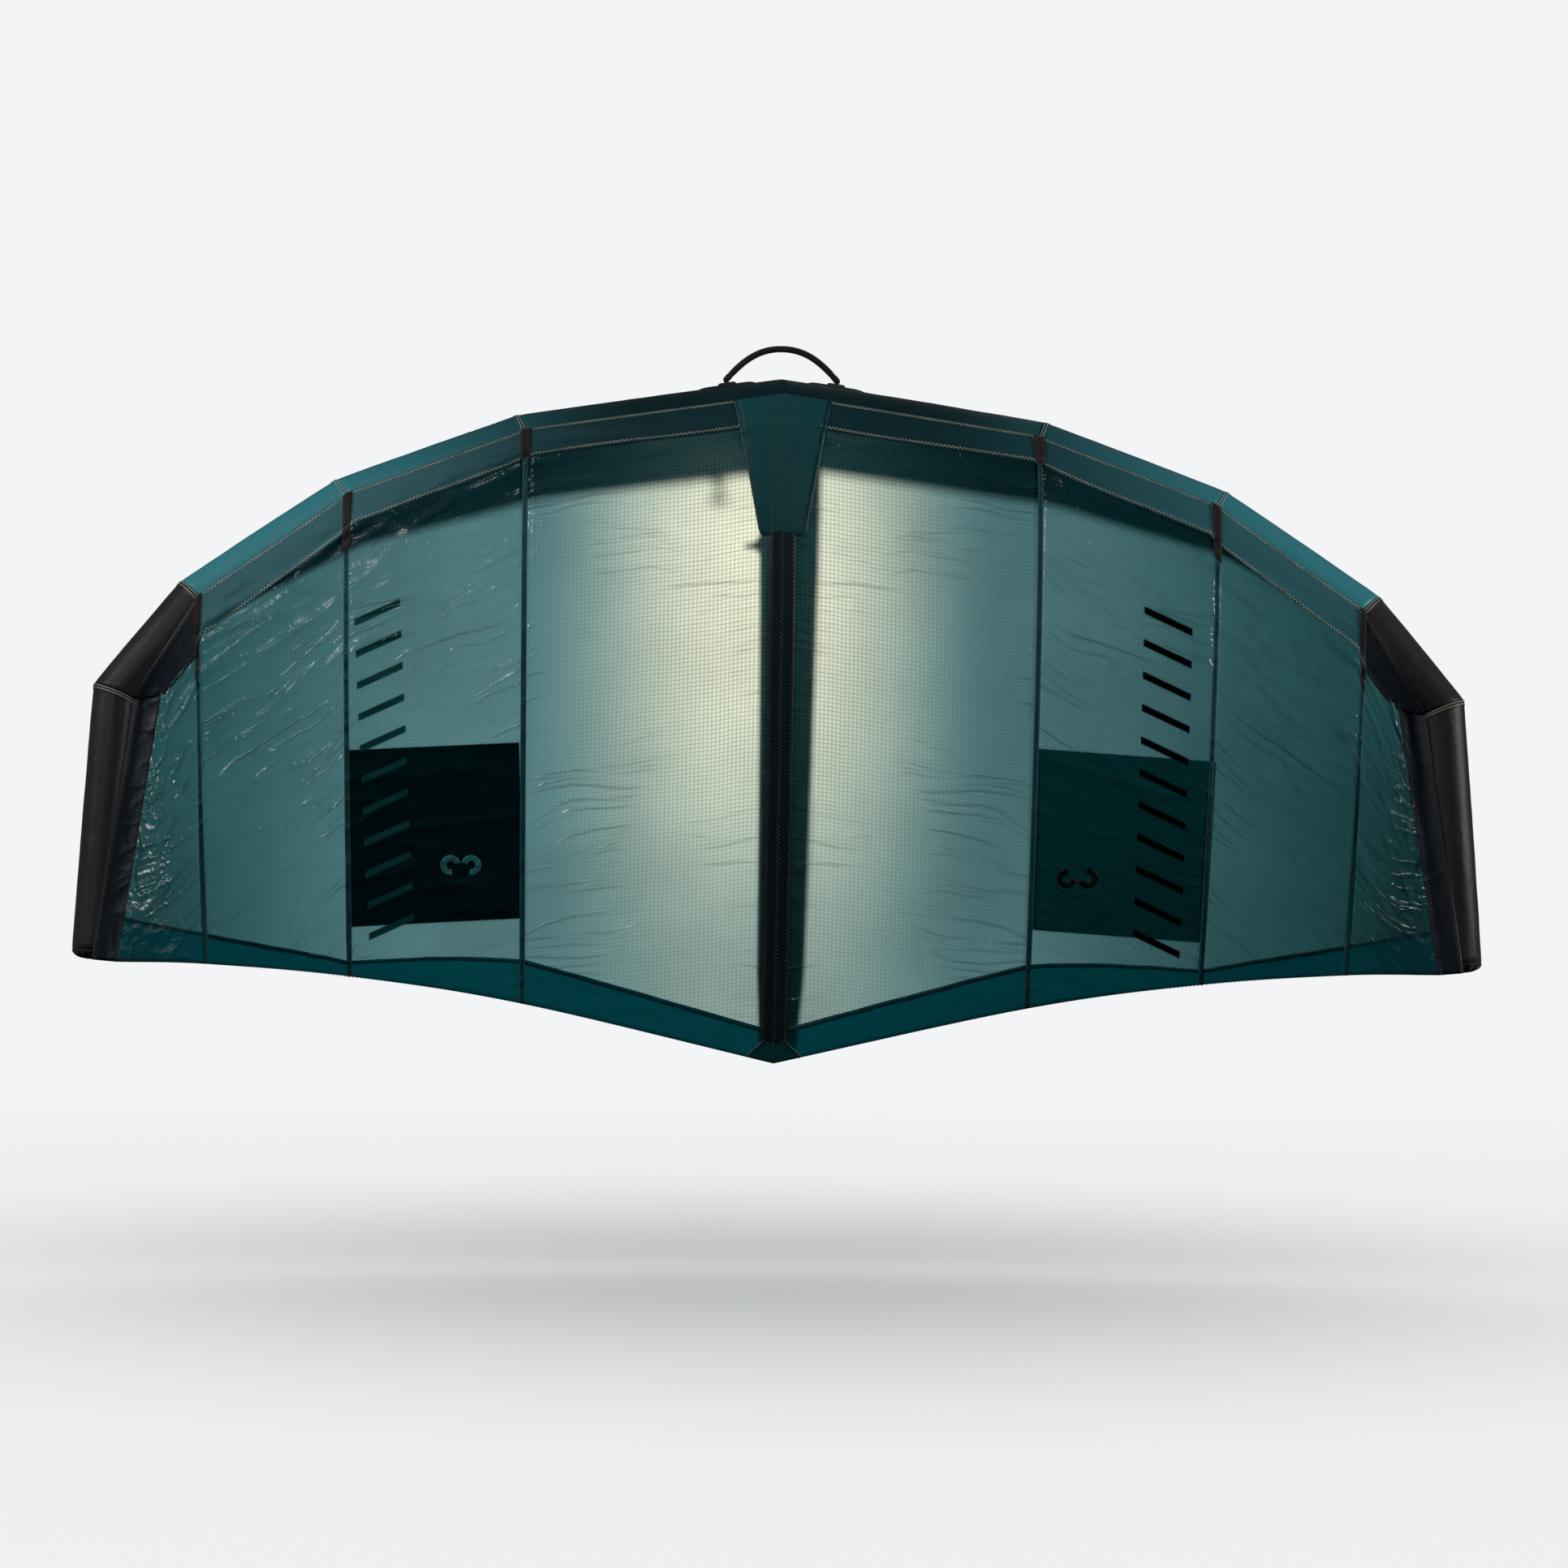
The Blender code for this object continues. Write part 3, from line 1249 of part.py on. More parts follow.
def build_hose(edge, strut, edge_guide, strut_guide, edge_targets, strut_targets):
    """Make the two spigots, the hose between them and the pinch clip on it."""
    frames = (edge_frame(edge, HOSE_SPAN, HOSE_ANGLE, LEFT),
              strut_frame(strut, HOSE_STRUT_SHARE, HOSE_STRUT_ANGLE))
    neck, bore = SPIGOT_NECK_DIAMETER / 2, SPIGOT_BORE_DIAMETER / 2
    barb = HOSE_BORE_DIAMETER / 2 - GAP
    shoulder = SPIGOT_NECK_HEIGHT
    profile = [(bore, -SPIGOT_NECK_DEPTH), (neck, -SPIGOT_NECK_DEPTH), (neck, shoulder),
               (barb, shoulder), (barb, shoulder + BARB_LENGTH),
               (bore, shoulder + BARB_LENGTH)]
    flange = (SPIGOT_FLANGE_DIAMETER / 2, SPIGOT_FLANGE_DEPTH, SPIGOT_FLANGE_HEIGHT)
    names = ("leading_edge_spigot", "strut_spigot")
    for name, frame, guide, targets in zip(names, frames, (edge_guide, strut_guide),
                                           (edge_targets, strut_targets)):
        fitting(name, frame, guide, flange, profile, "moulded_black")
        pierce(f"{name}_hole_guide", frame, neck + GAP, targets)
    starts = [frame @ Vector((0, 0, shoulder + GAP)) for frame in frames]
    ways = [frame.to_3x3() @ Vector((0, 0, 1)) for frame in frames]
    bend = [starts[0] + ways[0] * HOSE_STRAIGHT, starts[1] + ways[1] * BARB_LENGTH]
    pull = (bend[1] - bend[0]).length * HOSE_PULL_SHARE
    curve = [bezier(bend[0], bend[0] + ways[0] * pull, bend[1] + ways[1] * pull, bend[1],
                    index / HOSE_STEPS) for index in range(HOSE_STEPS + 1)]
    path = [starts[0]] + curve + [starts[1]]
    outer = swept_rings(path, [HOSE_DIAMETER / 2] * len(path), HOSE_SIDES)
    inner = swept_rings(path, [HOSE_BORE_DIAMETER / 2] * len(path), HOSE_SIDES)
    sleeve("transfer_hose", outer, inner, "hose_clear")
    build_clip(frames[0], shoulder)


def build_clip(frame, shoulder):
    """Make the pinch clip that slides along the hose's straight end."""
    low = shoulder + CLIP_START
    inner = HOSE_DIAMETER / 2 + GAP
    outer = inner + CLIP_WALL
    clip = turned_ring("hose_clip", [(inner, low), (outer, low), (outer, low + CLIP_LENGTH),
                                     (inner, low + CLIP_LENGTH)], frame, "moulded_black")
    tab = block("clip_tab_guide", frame, (inner + CLIP_WALL / 2, outer + CLIP_TAB_HEIGHT),
                CLIP_TAB_THICKNESS, (low, low + CLIP_LENGTH))
    change(clip, tab, "UNION")
    pivot("hose_clip", frame @ Vector((0, 0, low)))


def build_leash_loop(edge):
    """Make the webbing loop for a leash on the underside of the leading edge's middle."""
    unit = edge.centres[1].x
    spread = LEASH_LENGTH / 2 + LEASH_FOOT
    centre, radius, run, inward, upward = edge.station(0.0)
    tilt = LEASH_WIDTH / 2 / radius
    top, bottom = [], []
    places = [-spread] + [mix(-LEASH_LENGTH, LEASH_LENGTH, index / LEASH_STEPS) / 2
                          for index in range(LEASH_STEPS + 1)] + [spread]
    for place in places:
        share = min(abs(place) / (LEASH_LENGTH / 2), 1)
        lift = GAP + LEASH_HEIGHT * math.sqrt(1 - share ** 2)
        station = abs(place) / unit
        side = RIGHT if place >= 0 else LEFT
        upper, lower = [], []
        for turn in (-tilt, 0, tilt):
            angle = math.radians(LEASH_ANGLE) + turn
            upper.append(mirrored(edge.skin_point(station, angle, lift + LEASH_THICKNESS), side))
            lower.append(mirrored(edge.skin_point(station, angle, lift), side))
        top.append(upper)
        bottom.append(lower)
    return sheet("leash_loop", top, bottom, "webbing_black")


def edge_guide(edge):
    """Make the guide solid of the leading edge's two inner runs, a gap outside their skin."""
    right = [edge.ring(0, 1, GAP)]
    rings = [[mirrored(point, LEFT) for point in right[0]], edge.ring(0, 0, GAP), right[0]]
    return solid("leading_edge_guide", rings, "sleeve_teal")


def main():
    """Build the wing."""
    for old in list(bpy.data.objects):
        bpy.data.objects.remove(old)
    edge = LeadingEdge()
    canopy = Canopy(edge)
    strut = Strut(canopy)
    bladder = build_leading_edge(edge)
    build_canopy(edge, canopy)
    nose_guide = edge_guide(edge)
    sleeve_made, strut_bladder = build_strut(strut, nose_guide)
    strut_guide = solid("strut_guide", [strut.ring(distance, GAP)
                                        for distance in strut.distances], "sleeve_teal")
    build_front_handle(edge)
    for name, share in (("fore", FORE_HANDLE_SHARE), ("aft", AFT_HANDLE_SHARE)):
        build_strut_handle(strut, name, share)
    pieces = bpy.data.objects
    build_valve(edge, nose_guide, (pieces["leading_edge_panel_right_1"], bladder))
    build_hose(edge, strut, nose_guide, strut_guide, (pieces["leading_edge_panel_left_1"], bladder),
               (sleeve_made, strut_bladder))
    build_leash_loop(edge)


main()
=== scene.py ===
"""Looks of an inflatable wingfoil wing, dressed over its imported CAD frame.

The wing hangs with its leading edge up: +X along the span, +Y to the underside, +Z to the leading
edge, in metres. Each cloth piece is rebuilt here from the same rules as its CAD solid, with finer
steps, wrinkles, seams and stitching, and stands for that solid. Moulded pieces keep their solids
and get a finish.
"""

import logging
import math
from bisect import bisect_right
from dataclasses import dataclass, field
from enum import Enum
from itertools import accumulate

import bmesh
import bpy
from mathutils import Matrix, Vector, noise


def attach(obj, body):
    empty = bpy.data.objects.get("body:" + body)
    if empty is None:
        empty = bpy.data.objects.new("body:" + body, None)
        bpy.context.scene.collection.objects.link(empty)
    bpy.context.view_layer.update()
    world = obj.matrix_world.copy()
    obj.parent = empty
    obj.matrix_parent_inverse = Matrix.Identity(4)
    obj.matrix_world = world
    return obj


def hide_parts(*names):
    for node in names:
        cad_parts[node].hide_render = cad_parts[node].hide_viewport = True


LOG = logging.getLogger("wing")

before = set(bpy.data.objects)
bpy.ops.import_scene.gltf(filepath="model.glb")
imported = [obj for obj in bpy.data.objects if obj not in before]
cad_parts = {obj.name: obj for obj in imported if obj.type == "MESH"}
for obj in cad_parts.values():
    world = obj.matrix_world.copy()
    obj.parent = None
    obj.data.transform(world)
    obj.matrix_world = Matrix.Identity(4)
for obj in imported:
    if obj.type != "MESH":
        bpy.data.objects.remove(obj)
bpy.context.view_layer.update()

Grid = list[list[Vector]]
Piece = bpy.types.Object
Material = bpy.types.Material

# Heights over the canopy's middle surface and lengths in metres, and two rows
HALF_CLOTH = 0.0005
STRIP_LIFT = 0.0011
TRIM_CLOTH = 0.0010
SLEEVE_CLOTH = 0.0012
THREAD_LIFT = 0.0003
LAP = 0.0075
TRIM_LAP = 0.004
STATION_PITCH = 0.42
TRIM_FRONT, TRIM_BACK = 0.03, 2.995
SPAN_WAY = Vector((1, 0, 0))
QUARTER = math.radians(90.0)


class Side(Enum):
    """The two halves of the wing, as seen from the canopy's top side."""

    LEFT = -1
    RIGHT = 1

    @property
    def word(self) -> str:
        """Return the half's name as it stands in a piece's name."""
        return self.name.lower()

    def turn(self, point: Vector) -> Vector:
        """Return a point of the right half on this half."""
        return Vector((point.x * self.value, point.y, point.z))


class Body(Enum):
    """The bodies of the frame that pieces ride on."""

    WING = "wing"
    FRONT_HANDLE = "front_handle"
    FORE_GRIP = "fore_grip"
    AFT_GRIP = "aft_grip"


# Points and curves


def mix(first, last, share: float):
    """Return the value or point at a share of the way from the first to the last."""
    return first * (1 - share) + last * share


def clamp(value: float, low: float = 0.0, high: float = 1.0) -> float:
    """Return a value kept between two limits."""
    return min(max(value, low), high)


def across(vector: Vector, axis: Vector) -> Vector:
    """Return the part of a vector that is square to an axis."""
    return vector - axis * vector.dot(axis)


def at_station(values, station: float):
    """Read a list of values, one for each kink or seam, at a station between them."""
    index = min(int(station), len(values) - 2)
    return mix(values[index], values[index + 1], station - index)


def plan_cross(first: Vector, second: Vector) -> float:
    """Return how far two directions turn apart as seen from the top side."""
    return first.x * second.z - first.z * second.x


def bezier(start: Vector, first: Vector, second: Vector, end: Vector, share: float) -> Vector:
    """Return a point on a cubic curve by its four control points."""
    rest = 1 - share
    return (start * rest ** 3 + first * 3 * rest ** 2 * share
            + second * 3 * rest * share ** 2 + end * share ** 3)


def lengths_along(points: list[Vector]) -> list[float]:
    """Return how far each point lies along a line of points."""
    return [0.0, *accumulate((after - before).length for before, after in zip(points, points[1:]))]


def curve_length(points: list[Vector]) -> float:
    """Return the length of a line of points."""
    return lengths_along(points)[-1]


def point_along(points: list[Vector], distance: float) -> Vector:
    """Return the point at a distance along a line of points."""
    for before, after in zip(points, points[1:]):
        step = (after - before).length
        if distance <= step:
            return mix(before, after, distance / step)
        distance -= step
    return points[-1].copy()


def last_at_or_below(values, value: float) -> int:
    """Return the index of the last step whose start is at or below a value."""
    return bisect_right(values, value, 0, len(values) - 1) - 1


def read_at(steps, value: float, *lists) -> list:
    """Return the entries of some lists at a value between their steps."""
    index = last_at_or_below(steps, value)
    share = (value - steps[index]) / (steps[index + 1] - steps[index])
    return [mix(values[index], values[index + 1], share) for values in lists]


def between(values: list[float], first: float, last: float) -> list[float]:
    """Return the steps from the first value to the last, both included."""
    return [first] + [value for value in values if first < value < last] + [last]


def around(values: list, index: int) -> tuple:
    """Return the entries before and after one, or that entry itself at an end."""
    return values[max(index - 1, 0)], values[min(index + 1, len(values) - 1)]


def net_normals(net: Grid, mirrored: bool = False) -> Grid:
    """Return a net's normals to the top side; a mirrored net goes on across the middle."""
    normals = []
    for index, line in enumerate(net):
        before, after = around(net, index)
        if mirrored and index == 0:
            before = [Side.LEFT.turn(point) for point in after]
        lifts = []
        for place in range(len(line)):
            front, back = around(line, place)
            lifts.append((back - front).cross(after[place] - before[place]).normalized())
        normals.append(lifts)
    return normals


def turns(sides: int) -> list[float]:
    """Return the angles of a ring's points."""
    return [2 * math.pi * index / sides for index in range(sides)]


def shares(steps: int) -> list[float]:
    """Return even shares from zero to one, both included."""
    return [index / steps for index in range(steps + 1)]


def oblong(sides: int, power: float = 2.0) -> list[list[float]]:
    """Return a ring of radius one, round for a power of 2 and squarer for more."""
    return [[math.copysign(abs(part) ** (2 / power), part)
             for part in (math.cos(turn), math.sin(turn))] for turn in turns(sides)]


# Form of the wing


@dataclass
class TubeForm:
    """The bent, tapered leading-edge tube of the right half.

    Args:
        half_span: Half the wing's width.
        chord: The wing's length at its middle.
        tip_rise: How far the tips rise to the top side.
        hang_height: How far the nose lies under the hook's point.
        diameter: The tube's diameter at the middle.
        kinks: Shares of span, chord, rise and diameter at each kink of the outline.
        edges: Shares of span, rise and chord at each seam's end.
    """

    half_span: float = 1.35
    chord: float = 1.35
    tip_rise: float = 0.29
    hang_height: float = 0.053
    diameter: float = 0.176
    kinks: tuple = ((0.0, 0.0, 0.0, 1.0), (0.385, 0.061, 0.16, 0.943),
                    (0.646, 0.162, 0.38, 0.756), (0.861, 0.313, 0.63, 0.540),
                    (0.978, 0.461, 0.80, 0.483), (1.0, 0.837, 1.0, 0.398))
    edges: tuple = ((0.0, -0.07, 1.0), (0.368, 0.07, 0.915), (0.617, 0.27, 0.876),
                    (0.820, 0.55, 0.858))
    leaving_angles: tuple = (50.0, 50.0, 55.0, 72.0, 118.0, 75.0)
    leaving_gap: float = 0.0013

    def __post_init__(self) -> None:
        """Work out the centres, radii and runs from the outline."""
        outline = [Vector((self.half_span * span, self.chord * chord))
                   for span, chord, rise, size in self.kinks]
        self.tip = len(outline) - 1
        self.radii = [self.diameter / 2 * kink[3] for kink in self.kinks]
        self.centres = []
        for index, (corner, kink) in enumerate(zip(outline, self.kinks)):
            plan = corner + self.inward_mitre(outline, index) * self.radii[index]
            self.centres.append(self.at(plan.x, self.tip_rise * kink[2], plan.y))
        self.centres[0].x = 0.0
        self.runs = [(last - first).normalized()
                     for first, last in zip(self.centres, self.centres[1:])]
        self.edge_points = [self.at_shares(*edge) for edge in self.edges]
        side = across(Vector((0, -1, 0)), self.runs[0]).normalized()
        self.frames = [(side, self.runs[0].cross(side))]
        for before, after in zip(self.runs, self.runs[1:]):
            turn = before.rotation_difference(after)
            self.frames.append(tuple(turn @ vector for vector in self.frames[-1]))

    def at(self, span: float, rise: float, aft: float) -> Vector:
        """Return the point at a span, a height on the top side and a distance behind the nose."""
        return Vector((span, -rise, -self.hang_height - aft))

    def at_shares(self, span: float, rise: float, chord: float) -> Vector:
        """Return the point at shares of the half span, the tips' rise and the chord."""
        return self.at(self.half_span * span, self.tip_rise * rise, self.chord * chord)

    def inward_mitre(self, outline: list[Vector], index: int) -> Vector:
        """Return how far the centre lies inside a corner of the outline, for a radius of one."""
        after = (outline[min(index + 1, self.tip)] - outline[min(index, self.tip - 1)]).normalized()
        before = Vector((after.x, -after.y))
        if index:
            before = (outline[index] - outline[index - 1]).normalized()
        first, second = Vector((-before.y, before.x)), Vector((-after.y, after.x))
        return (first + second) / (1 + first.dot(second))

    def mitre(self, kink: int) -> Vector:
        """Return the normal of the mitre plane at a kink."""
        if kink == 0:
            return SPAN_WAY
        if kink == self.tip:
            return self.runs[-1]
        return (self.runs[kink - 1] + self.runs[kink]).normalized()

    def skin(self, run: int, share: float, turn: float, reach: float) -> Vector:
        """Return a point of a straight run's skin.

        Args:
            run: The straight run's number from the middle.
            share: The share of the way from its inner mitre to its outer one.
            turn: The angle round the tube.
            reach: How far outside the skin the point lies.

        Returns:
            The point, which slides along the run so that the ends meet their mitres.
        """
        first, second = self.frames[run]
        spoke = first * math.cos(turn) + second * math.sin(turn)
        ends = []
        for kink in (run, run + 1):
            arm = spoke * (self.radii[kink] + reach)
            plane = self.mitre(kink)
            slide = -arm.dot(plane) / self.runs[run].dot(plane)
            ends.append(self.centres[kink] + arm + self.runs[run] * slide)
        return mix(*ends, share)

    def station(self, station: float) -> tuple[Vector, float, Vector, Vector, Vector]:
        """Return the tube's centre, radius, run and directions inward and upward at a station."""
        run = min(int(station), self.tip - 1)
        share = station - run
        centre = at_station(self.centres, station)
        axis = self.mitre(run + int(share)) if share in (0, 1) else self.runs[run]
        inward = across(self.aim(station) - centre, axis).normalized()
        return (centre, at_station(self.radii, station), self.runs[run], inward,
                inward.cross(axis))

    def aim(self, station: float) -> Vector:
        """Return the point of the trailing edge that the cloth of a station runs towards."""
        if station <= 3:
            return at_station(self.edge_points, station)
        half_way = mix(self.edge_points[2], self.edge_points[3], 0.5)
        return mix(self.edge_points[3], half_way, min(station - 3, 1))

    def skin_point(self, station: float, angle: float, reach: float) -> Vector:
        """Return a point round the tube, by its angle from the front towards the top side."""
        centre, radius, run, inward, upward = self.station(station)
        spoke = upward * math.sin(angle) - inward * math.cos(angle)
        return centre + spoke * (radius + reach) / across(spoke, run).length

    def leaving(self, station: float) -> tuple[Vector, Vector, Vector]:
        """Return where the cloth leaves the tube, in which direction, and the tube's run."""
        angle = math.radians(at_station(self.leaving_angles, station))
        centre, radius, run, inward, upward = self.station(station)
        heading = inward * math.sin(angle) + upward * math.cos(angle)
        return self.skin_point(station, angle, self.leaving_gap), heading, run


@dataclass
class Wrinkles:
    """Small heights that pull, hang and crush give to the cloth.

    Args:
        pucker: Height of the folds that lie along the strip's and the band's seams.
        crease: Height of the long fine creases that run with the leading edge.
        swell: Height of the slow waves.
        slant: Height of the folds that run from the tips inwards and back.
        crush: Height of the fine crush, which grows towards the trailing edge.
        seed: Where in the noise field the wing lies.
        pucker_size: Length and pitch of the seams' folds, and so on for the other kinds.
        strip_seam: How far the strip's rear seam lies behind the tube.
        band_seam: How far the band's front seam lies before the edge.
        slant_start: The span at which the slanting folds begin, and where they are full.
        right_slant: Their share on the right half.
        hems: How far from the tube, the edge and the middle the wrinkles are full.
    """

    pucker: float = 0.0052
    crease: float = 0.0036
    swell: float = 0.0034
    slant: float = 0.0046
    crush: float = 0.0007
    seed: float = 4.7
    bend: float = 0.030
    pucker_size: tuple = (0.21, 0.018)
    crease_size: tuple = (0.30, 0.055)
    swell_size: tuple = (0.35, 0.22)
    slant_size: tuple = (0.24, 0.06)
    crush_size: float = 0.05
    slant_turn: float = 0.25
    strip_seam: float = 0.085
    band_seam: float = 0.05
    slant_start: float = 0.30
    slant_full: float = 0.55
    right_slant: float = 0.35
    hems: tuple = (0.03, 0.02, 0.07)

    def height(self, travel: tuple[float, float, float], row: float, side: float) -> float:
        """Return the cloth's height over its smooth form.

        Args:
            travel: The distances along the span, back from the tube and on to the edge.
            row: The row of the cloth, 0 at the tube, 1 and 2 at the panel's ends, 3 at the edge.
            side: -1 on the left half, 1 on the right, so that the halves differ.

        Returns:
            The height along the normal, zero on the outer hem lines.
        """
        span, back, rest = travel
        seed = self.seed + side * 3.1

        def field_at(along: float, down: float, size: tuple = (1.0, 1.0), layer: int = 1) -> float:
            """Return the noise field of a layer at a place, for ripples of a size."""
            return noise.noise(Vector((along / size[0], down / size[1], seed * layer)))

        bent = back + self.bend * field_at(span * 2.3, back * 1.5)
        folds = field_at(span, bent, self.pucker_size)
        folds = math.copysign(min(abs(folds) * 1.8, 1.0), folds)
        beside = abs((span / STATION_PITCH + 0.5) % 1.0 - 0.5) * STATION_PITCH
        near = math.exp(-abs(back - self.strip_seam) / 0.05) * (0.45 + math.exp(-beside / 0.09))
        near += 0.4 * math.exp(-abs(rest - self.band_seam) / 0.05)
        ridge = max(1 - abs(field_at(span, bent, self.crease_size, 2)) * 7, 0) ** 2
        fade = 0.25 + math.exp(-back / 0.45)
        waves = field_at(span, back, self.swell_size, 3)
        crush = noise.fractal(Vector((span / self.crush_size, back / self.crush_size, seed)),
                              0.9, 2.1, 3)
        pulls = field_at(back * self.slant_turn - span, back + span * self.slant_turn,
                         self.slant_size, 4)
        outer = clamp((span - self.slant_start) / (self.slant_full - self.slant_start))
        outer *= 1 if side < 0 else self.right_slant
        pull = max(1 - abs(pulls) * 4.5, 0) ** 2 * outer * min(rest / 0.15, 1)
        ends = math.prod(min(value / hem, 1)
                         for value, hem in zip((back, rest, abs(span)), self.hems))
        return ends * clamp((row - 0.2) / 0.8, 0.12) * (
            self.pucker * folds * near + self.crease * ridge * fade + self.swell * waves * 0.5
            + self.slant * pull + self.crush * crush * (0.5 + 2.2 * math.exp(-rest / 0.10)))


@dataclass
class ClothForm:
    """The canopy's middle surface on a fine grid of columns along the span and rows along the chord.

    Whole columns are the seams. Rows 0 to 1 are the strip on the leading edge, 1 to 2 the panels
    and 2 to 3 the band on the trailing edge.
    """

    tube: TubeForm
    wrinkles: Wrinkles = field(default_factory=Wrinkles)
    strip_width: float = 0.066
    strip_shares: tuple = (1.0, 0.92, 0.98, 1.05, 0.85, 0.65)
    corner_shares: tuple = (0.885, 0.85, 0.474)
    band_width: float = 0.087
    band_shares: tuple = (0.70, 1.0, 0.31, 0.67, 0.97)
    entry_share: float = 0.22
    exit_share: float = 0.35
    exit_slope: float = 0.08
    overhang: float = 0.018
    seams: int = 4
    columns_a_panel: int = 30
    strip_rows: int = 10
    panel_rows: int = 130
    band_rows: int = 12
    steps: int = 64

    def __post_init__(self) -> None:
        """Lay out the grid."""
        start, heading, run = self.tube.leaving(self.tube.tip)
        self.tip_corner = start + run * self.overhang
        end = self.tip_corner + heading * self.strip_width * self.strip_shares[-1]
        self.trailing = self.tube.edge_points + [end]
        self.hem_corner = self.tube.at_shares(*self.corner_shares)
        self.columns = [seam + share for seam in range(self.seams)
                        for share in shares(self.columns_a_panel)[:-1]] + [float(self.seams)]
        self.rows = [start + share for start, steps in enumerate((self.strip_rows, self.panel_rows,
                                                                  self.band_rows))
                     for share in shares(steps)[:-1]] + [3.0]
        self.points = [self.column(column) for column in self.columns]
        self.normals = net_normals(self.points, True)
        self.backs = [lengths_along(line) for line in self.points]

    def trailing_point(self, station: float) -> Vector:
        """Return a point of the trailing edge, on a smooth curve through the seams' ends."""
        points = self.trailing
        index = min(int(station), len(points) - 2)
        start, end = points[index], points[index + 1]
        first = points[index - 1] if index else points[0] * 2 - points[1]
        last = points[index + 2] if index + 2 < len(points) else self.tip_corner
        share = station - index
        square, cube = share ** 2, share ** 3
        return (start * (2 * cube - 3 * square + 1) + (end - first) / 2 * (cube - 2 * square + share)
                + end * (3 * square - 2 * cube) + (last - start) / 2 * (cube - square))

    def exit_point(self, end: Vector, rest: Vector, slope: float) -> Vector:
        """Return the control point that brings a curve to its end with a slope."""
        way = (rest.normalized() + Vector((0, slope, 0))).normalized()
        return end - way * rest.length * self.exit_share

    def chord_curve(self, station: float) -> tuple[list[Vector], float]:
        """Return points along the cloth to the trailing edge, and the strip's width."""
        start, heading, run = self.tube.leaving(station)
        end = self.trailing_point(station)
        chord = end - start
        slant = -plan_cross(heading, chord) / plan_cross(run, chord)
        heading = (heading + run * slant).normalized()
        width = self.strip_width * at_station(self.strip_shares, station)
        width /= across(heading, run).length
        first = start + heading * self.entry_share * chord.length
        second = self.exit_point(end, end - first, self.exit_slope)
        return [bezier(start, first, second, end, share) for share in shares(self.steps)], width

    def corner_curve(self, station: float) -> tuple[list[Vector], float]:
        """Return the same past the last seam, where the strip turns its corner."""
        share = station - (self.seams - 1)
        seam, width = self.chord_curve(float(self.seams - 1))
        inner = point_along(seam, width)
        way = (point_along(seam, width * 2) - inner).normalized()
        start, heading, run = self.tube.leaving(station)
        end = self.trailing_point(station)
        turn = mix(inner, self.hem_corner, share)
        reach = (turn - start).length
        strip = [bezier(start, start + heading * reach / 3, mix(start, turn, 2 / 3), turn, part)
                 for part in shares(self.steps)]
        rest = end - turn
        way = mix(way, rest.normalized(), share).normalized()
        first = turn + way * self.entry_share * rest.length
        second = self.exit_point(end, rest, mix(self.exit_slope, 0, share))
        panel = [bezier(turn, first, second, end, part) for part in shares(self.steps)[1:]]
        return strip + panel, curve_length(strip)

    def column(self, station: float) -> list[Vector]:
        """Return one column of the grid, measured along the cloth."""
        points = self.measured(station, *self.chord_curve(station))
        share = station - (self.seams - 1)
        if share <= 0:
            return points
        corner = self.measured(station, *self.corner_curve(station))
        return [mix(point, turned, share) for point, turned in zip(points, corner)]

    def measured(self, station: float, curve: list[Vector], width: float) -> list[Vector]:
        """Return the grid's points on one curve, by their rows."""
        length = curve_length(curve)
        band = self.band_width * at_station(self.band_shares, station)
        stops = (0.0, width, length - band, length)
        return [point_along(curve, at_station(stops, row)) for row in self.rows]

    def cell(self, station: float, row: float) -> tuple[int, int, float, float]:
        """Return the grid cell that holds a place, and the shares within it."""
        column, line = last_at_or_below(self.columns, station), last_at_or_below(self.rows, row)
        width = self.columns[column + 1] - self.columns[column]
        depth = self.rows[line + 1] - self.rows[line]
        return (column, line, (station - self.columns[column]) / width,
                (row - self.rows[line]) / depth)

    def read(self, values: Grid, station: float, row: float) -> Vector:
        """Read points, normals or lengths at a place of either half, as on the right one."""
        column, line, along, down = self.cell(abs(station), row)
        near, far = (mix(side[line], side[line + 1], down) for side in values[column:column + 2])
        return mix(near, far, along)

    def normal(self, station: float, row: float, side: Side) -> Vector:
        """Return the cloth's normal at a place, to the top side."""
        half = side if station >= 0 else Side(-side.value)
        return half.turn(self.read(self.normals, station, row).normalized())

    def place(self, station: float, row: float, height: float, side: Side) -> Vector:
        """Return a point at a height over the wrinkled cloth.

        Args:
            station: The place along the span, negative across the middle from the side.
            row: The place along the chord.
            height: The height over the cloth's middle, to the top side.
            side: The half of the wing.

        Returns:
            The point.
        """
        half = side if station >= 0 else Side(-side.value)
        lift = height + self.wrinkles.height(self.travel(station, row), row, half.value)
        point = half.turn(self.read(self.points, station, row))
        return point + self.normal(station, row, side) * lift

    def travel(self, station: float, row: float) -> tuple[float, float, float]:
        """Return how far a place lies along the span, back from the tube, and from the edge."""
        back = self.read(self.backs, station, row)
        return abs(station) * STATION_PITCH, back, self.read(self.backs, station, 3.0) - back

    def locate(self, x: float, z: float) -> tuple[float, float]:
        """Return the station and row of the right half that lie at a span and a height."""
        station, row, step = min(x / STATION_PITCH, 3.5), 1.5, 0.01
        for _ in range(30):
            here = self.read(self.points, station, row)
            along = (self.read(self.points, station + step, row) - here) / step
            down = (self.read(self.points, station, row + step) - here) / step
            left = Vector((x - here.x, 0, z - here.z))
            turn = plan_cross(along, down)
            station = clamp(station + plan_cross(left, down) / turn, 0.0, 3.98)
            row = clamp(row + plan_cross(along, left) / turn, 0.0, 2.98)
        return station, row

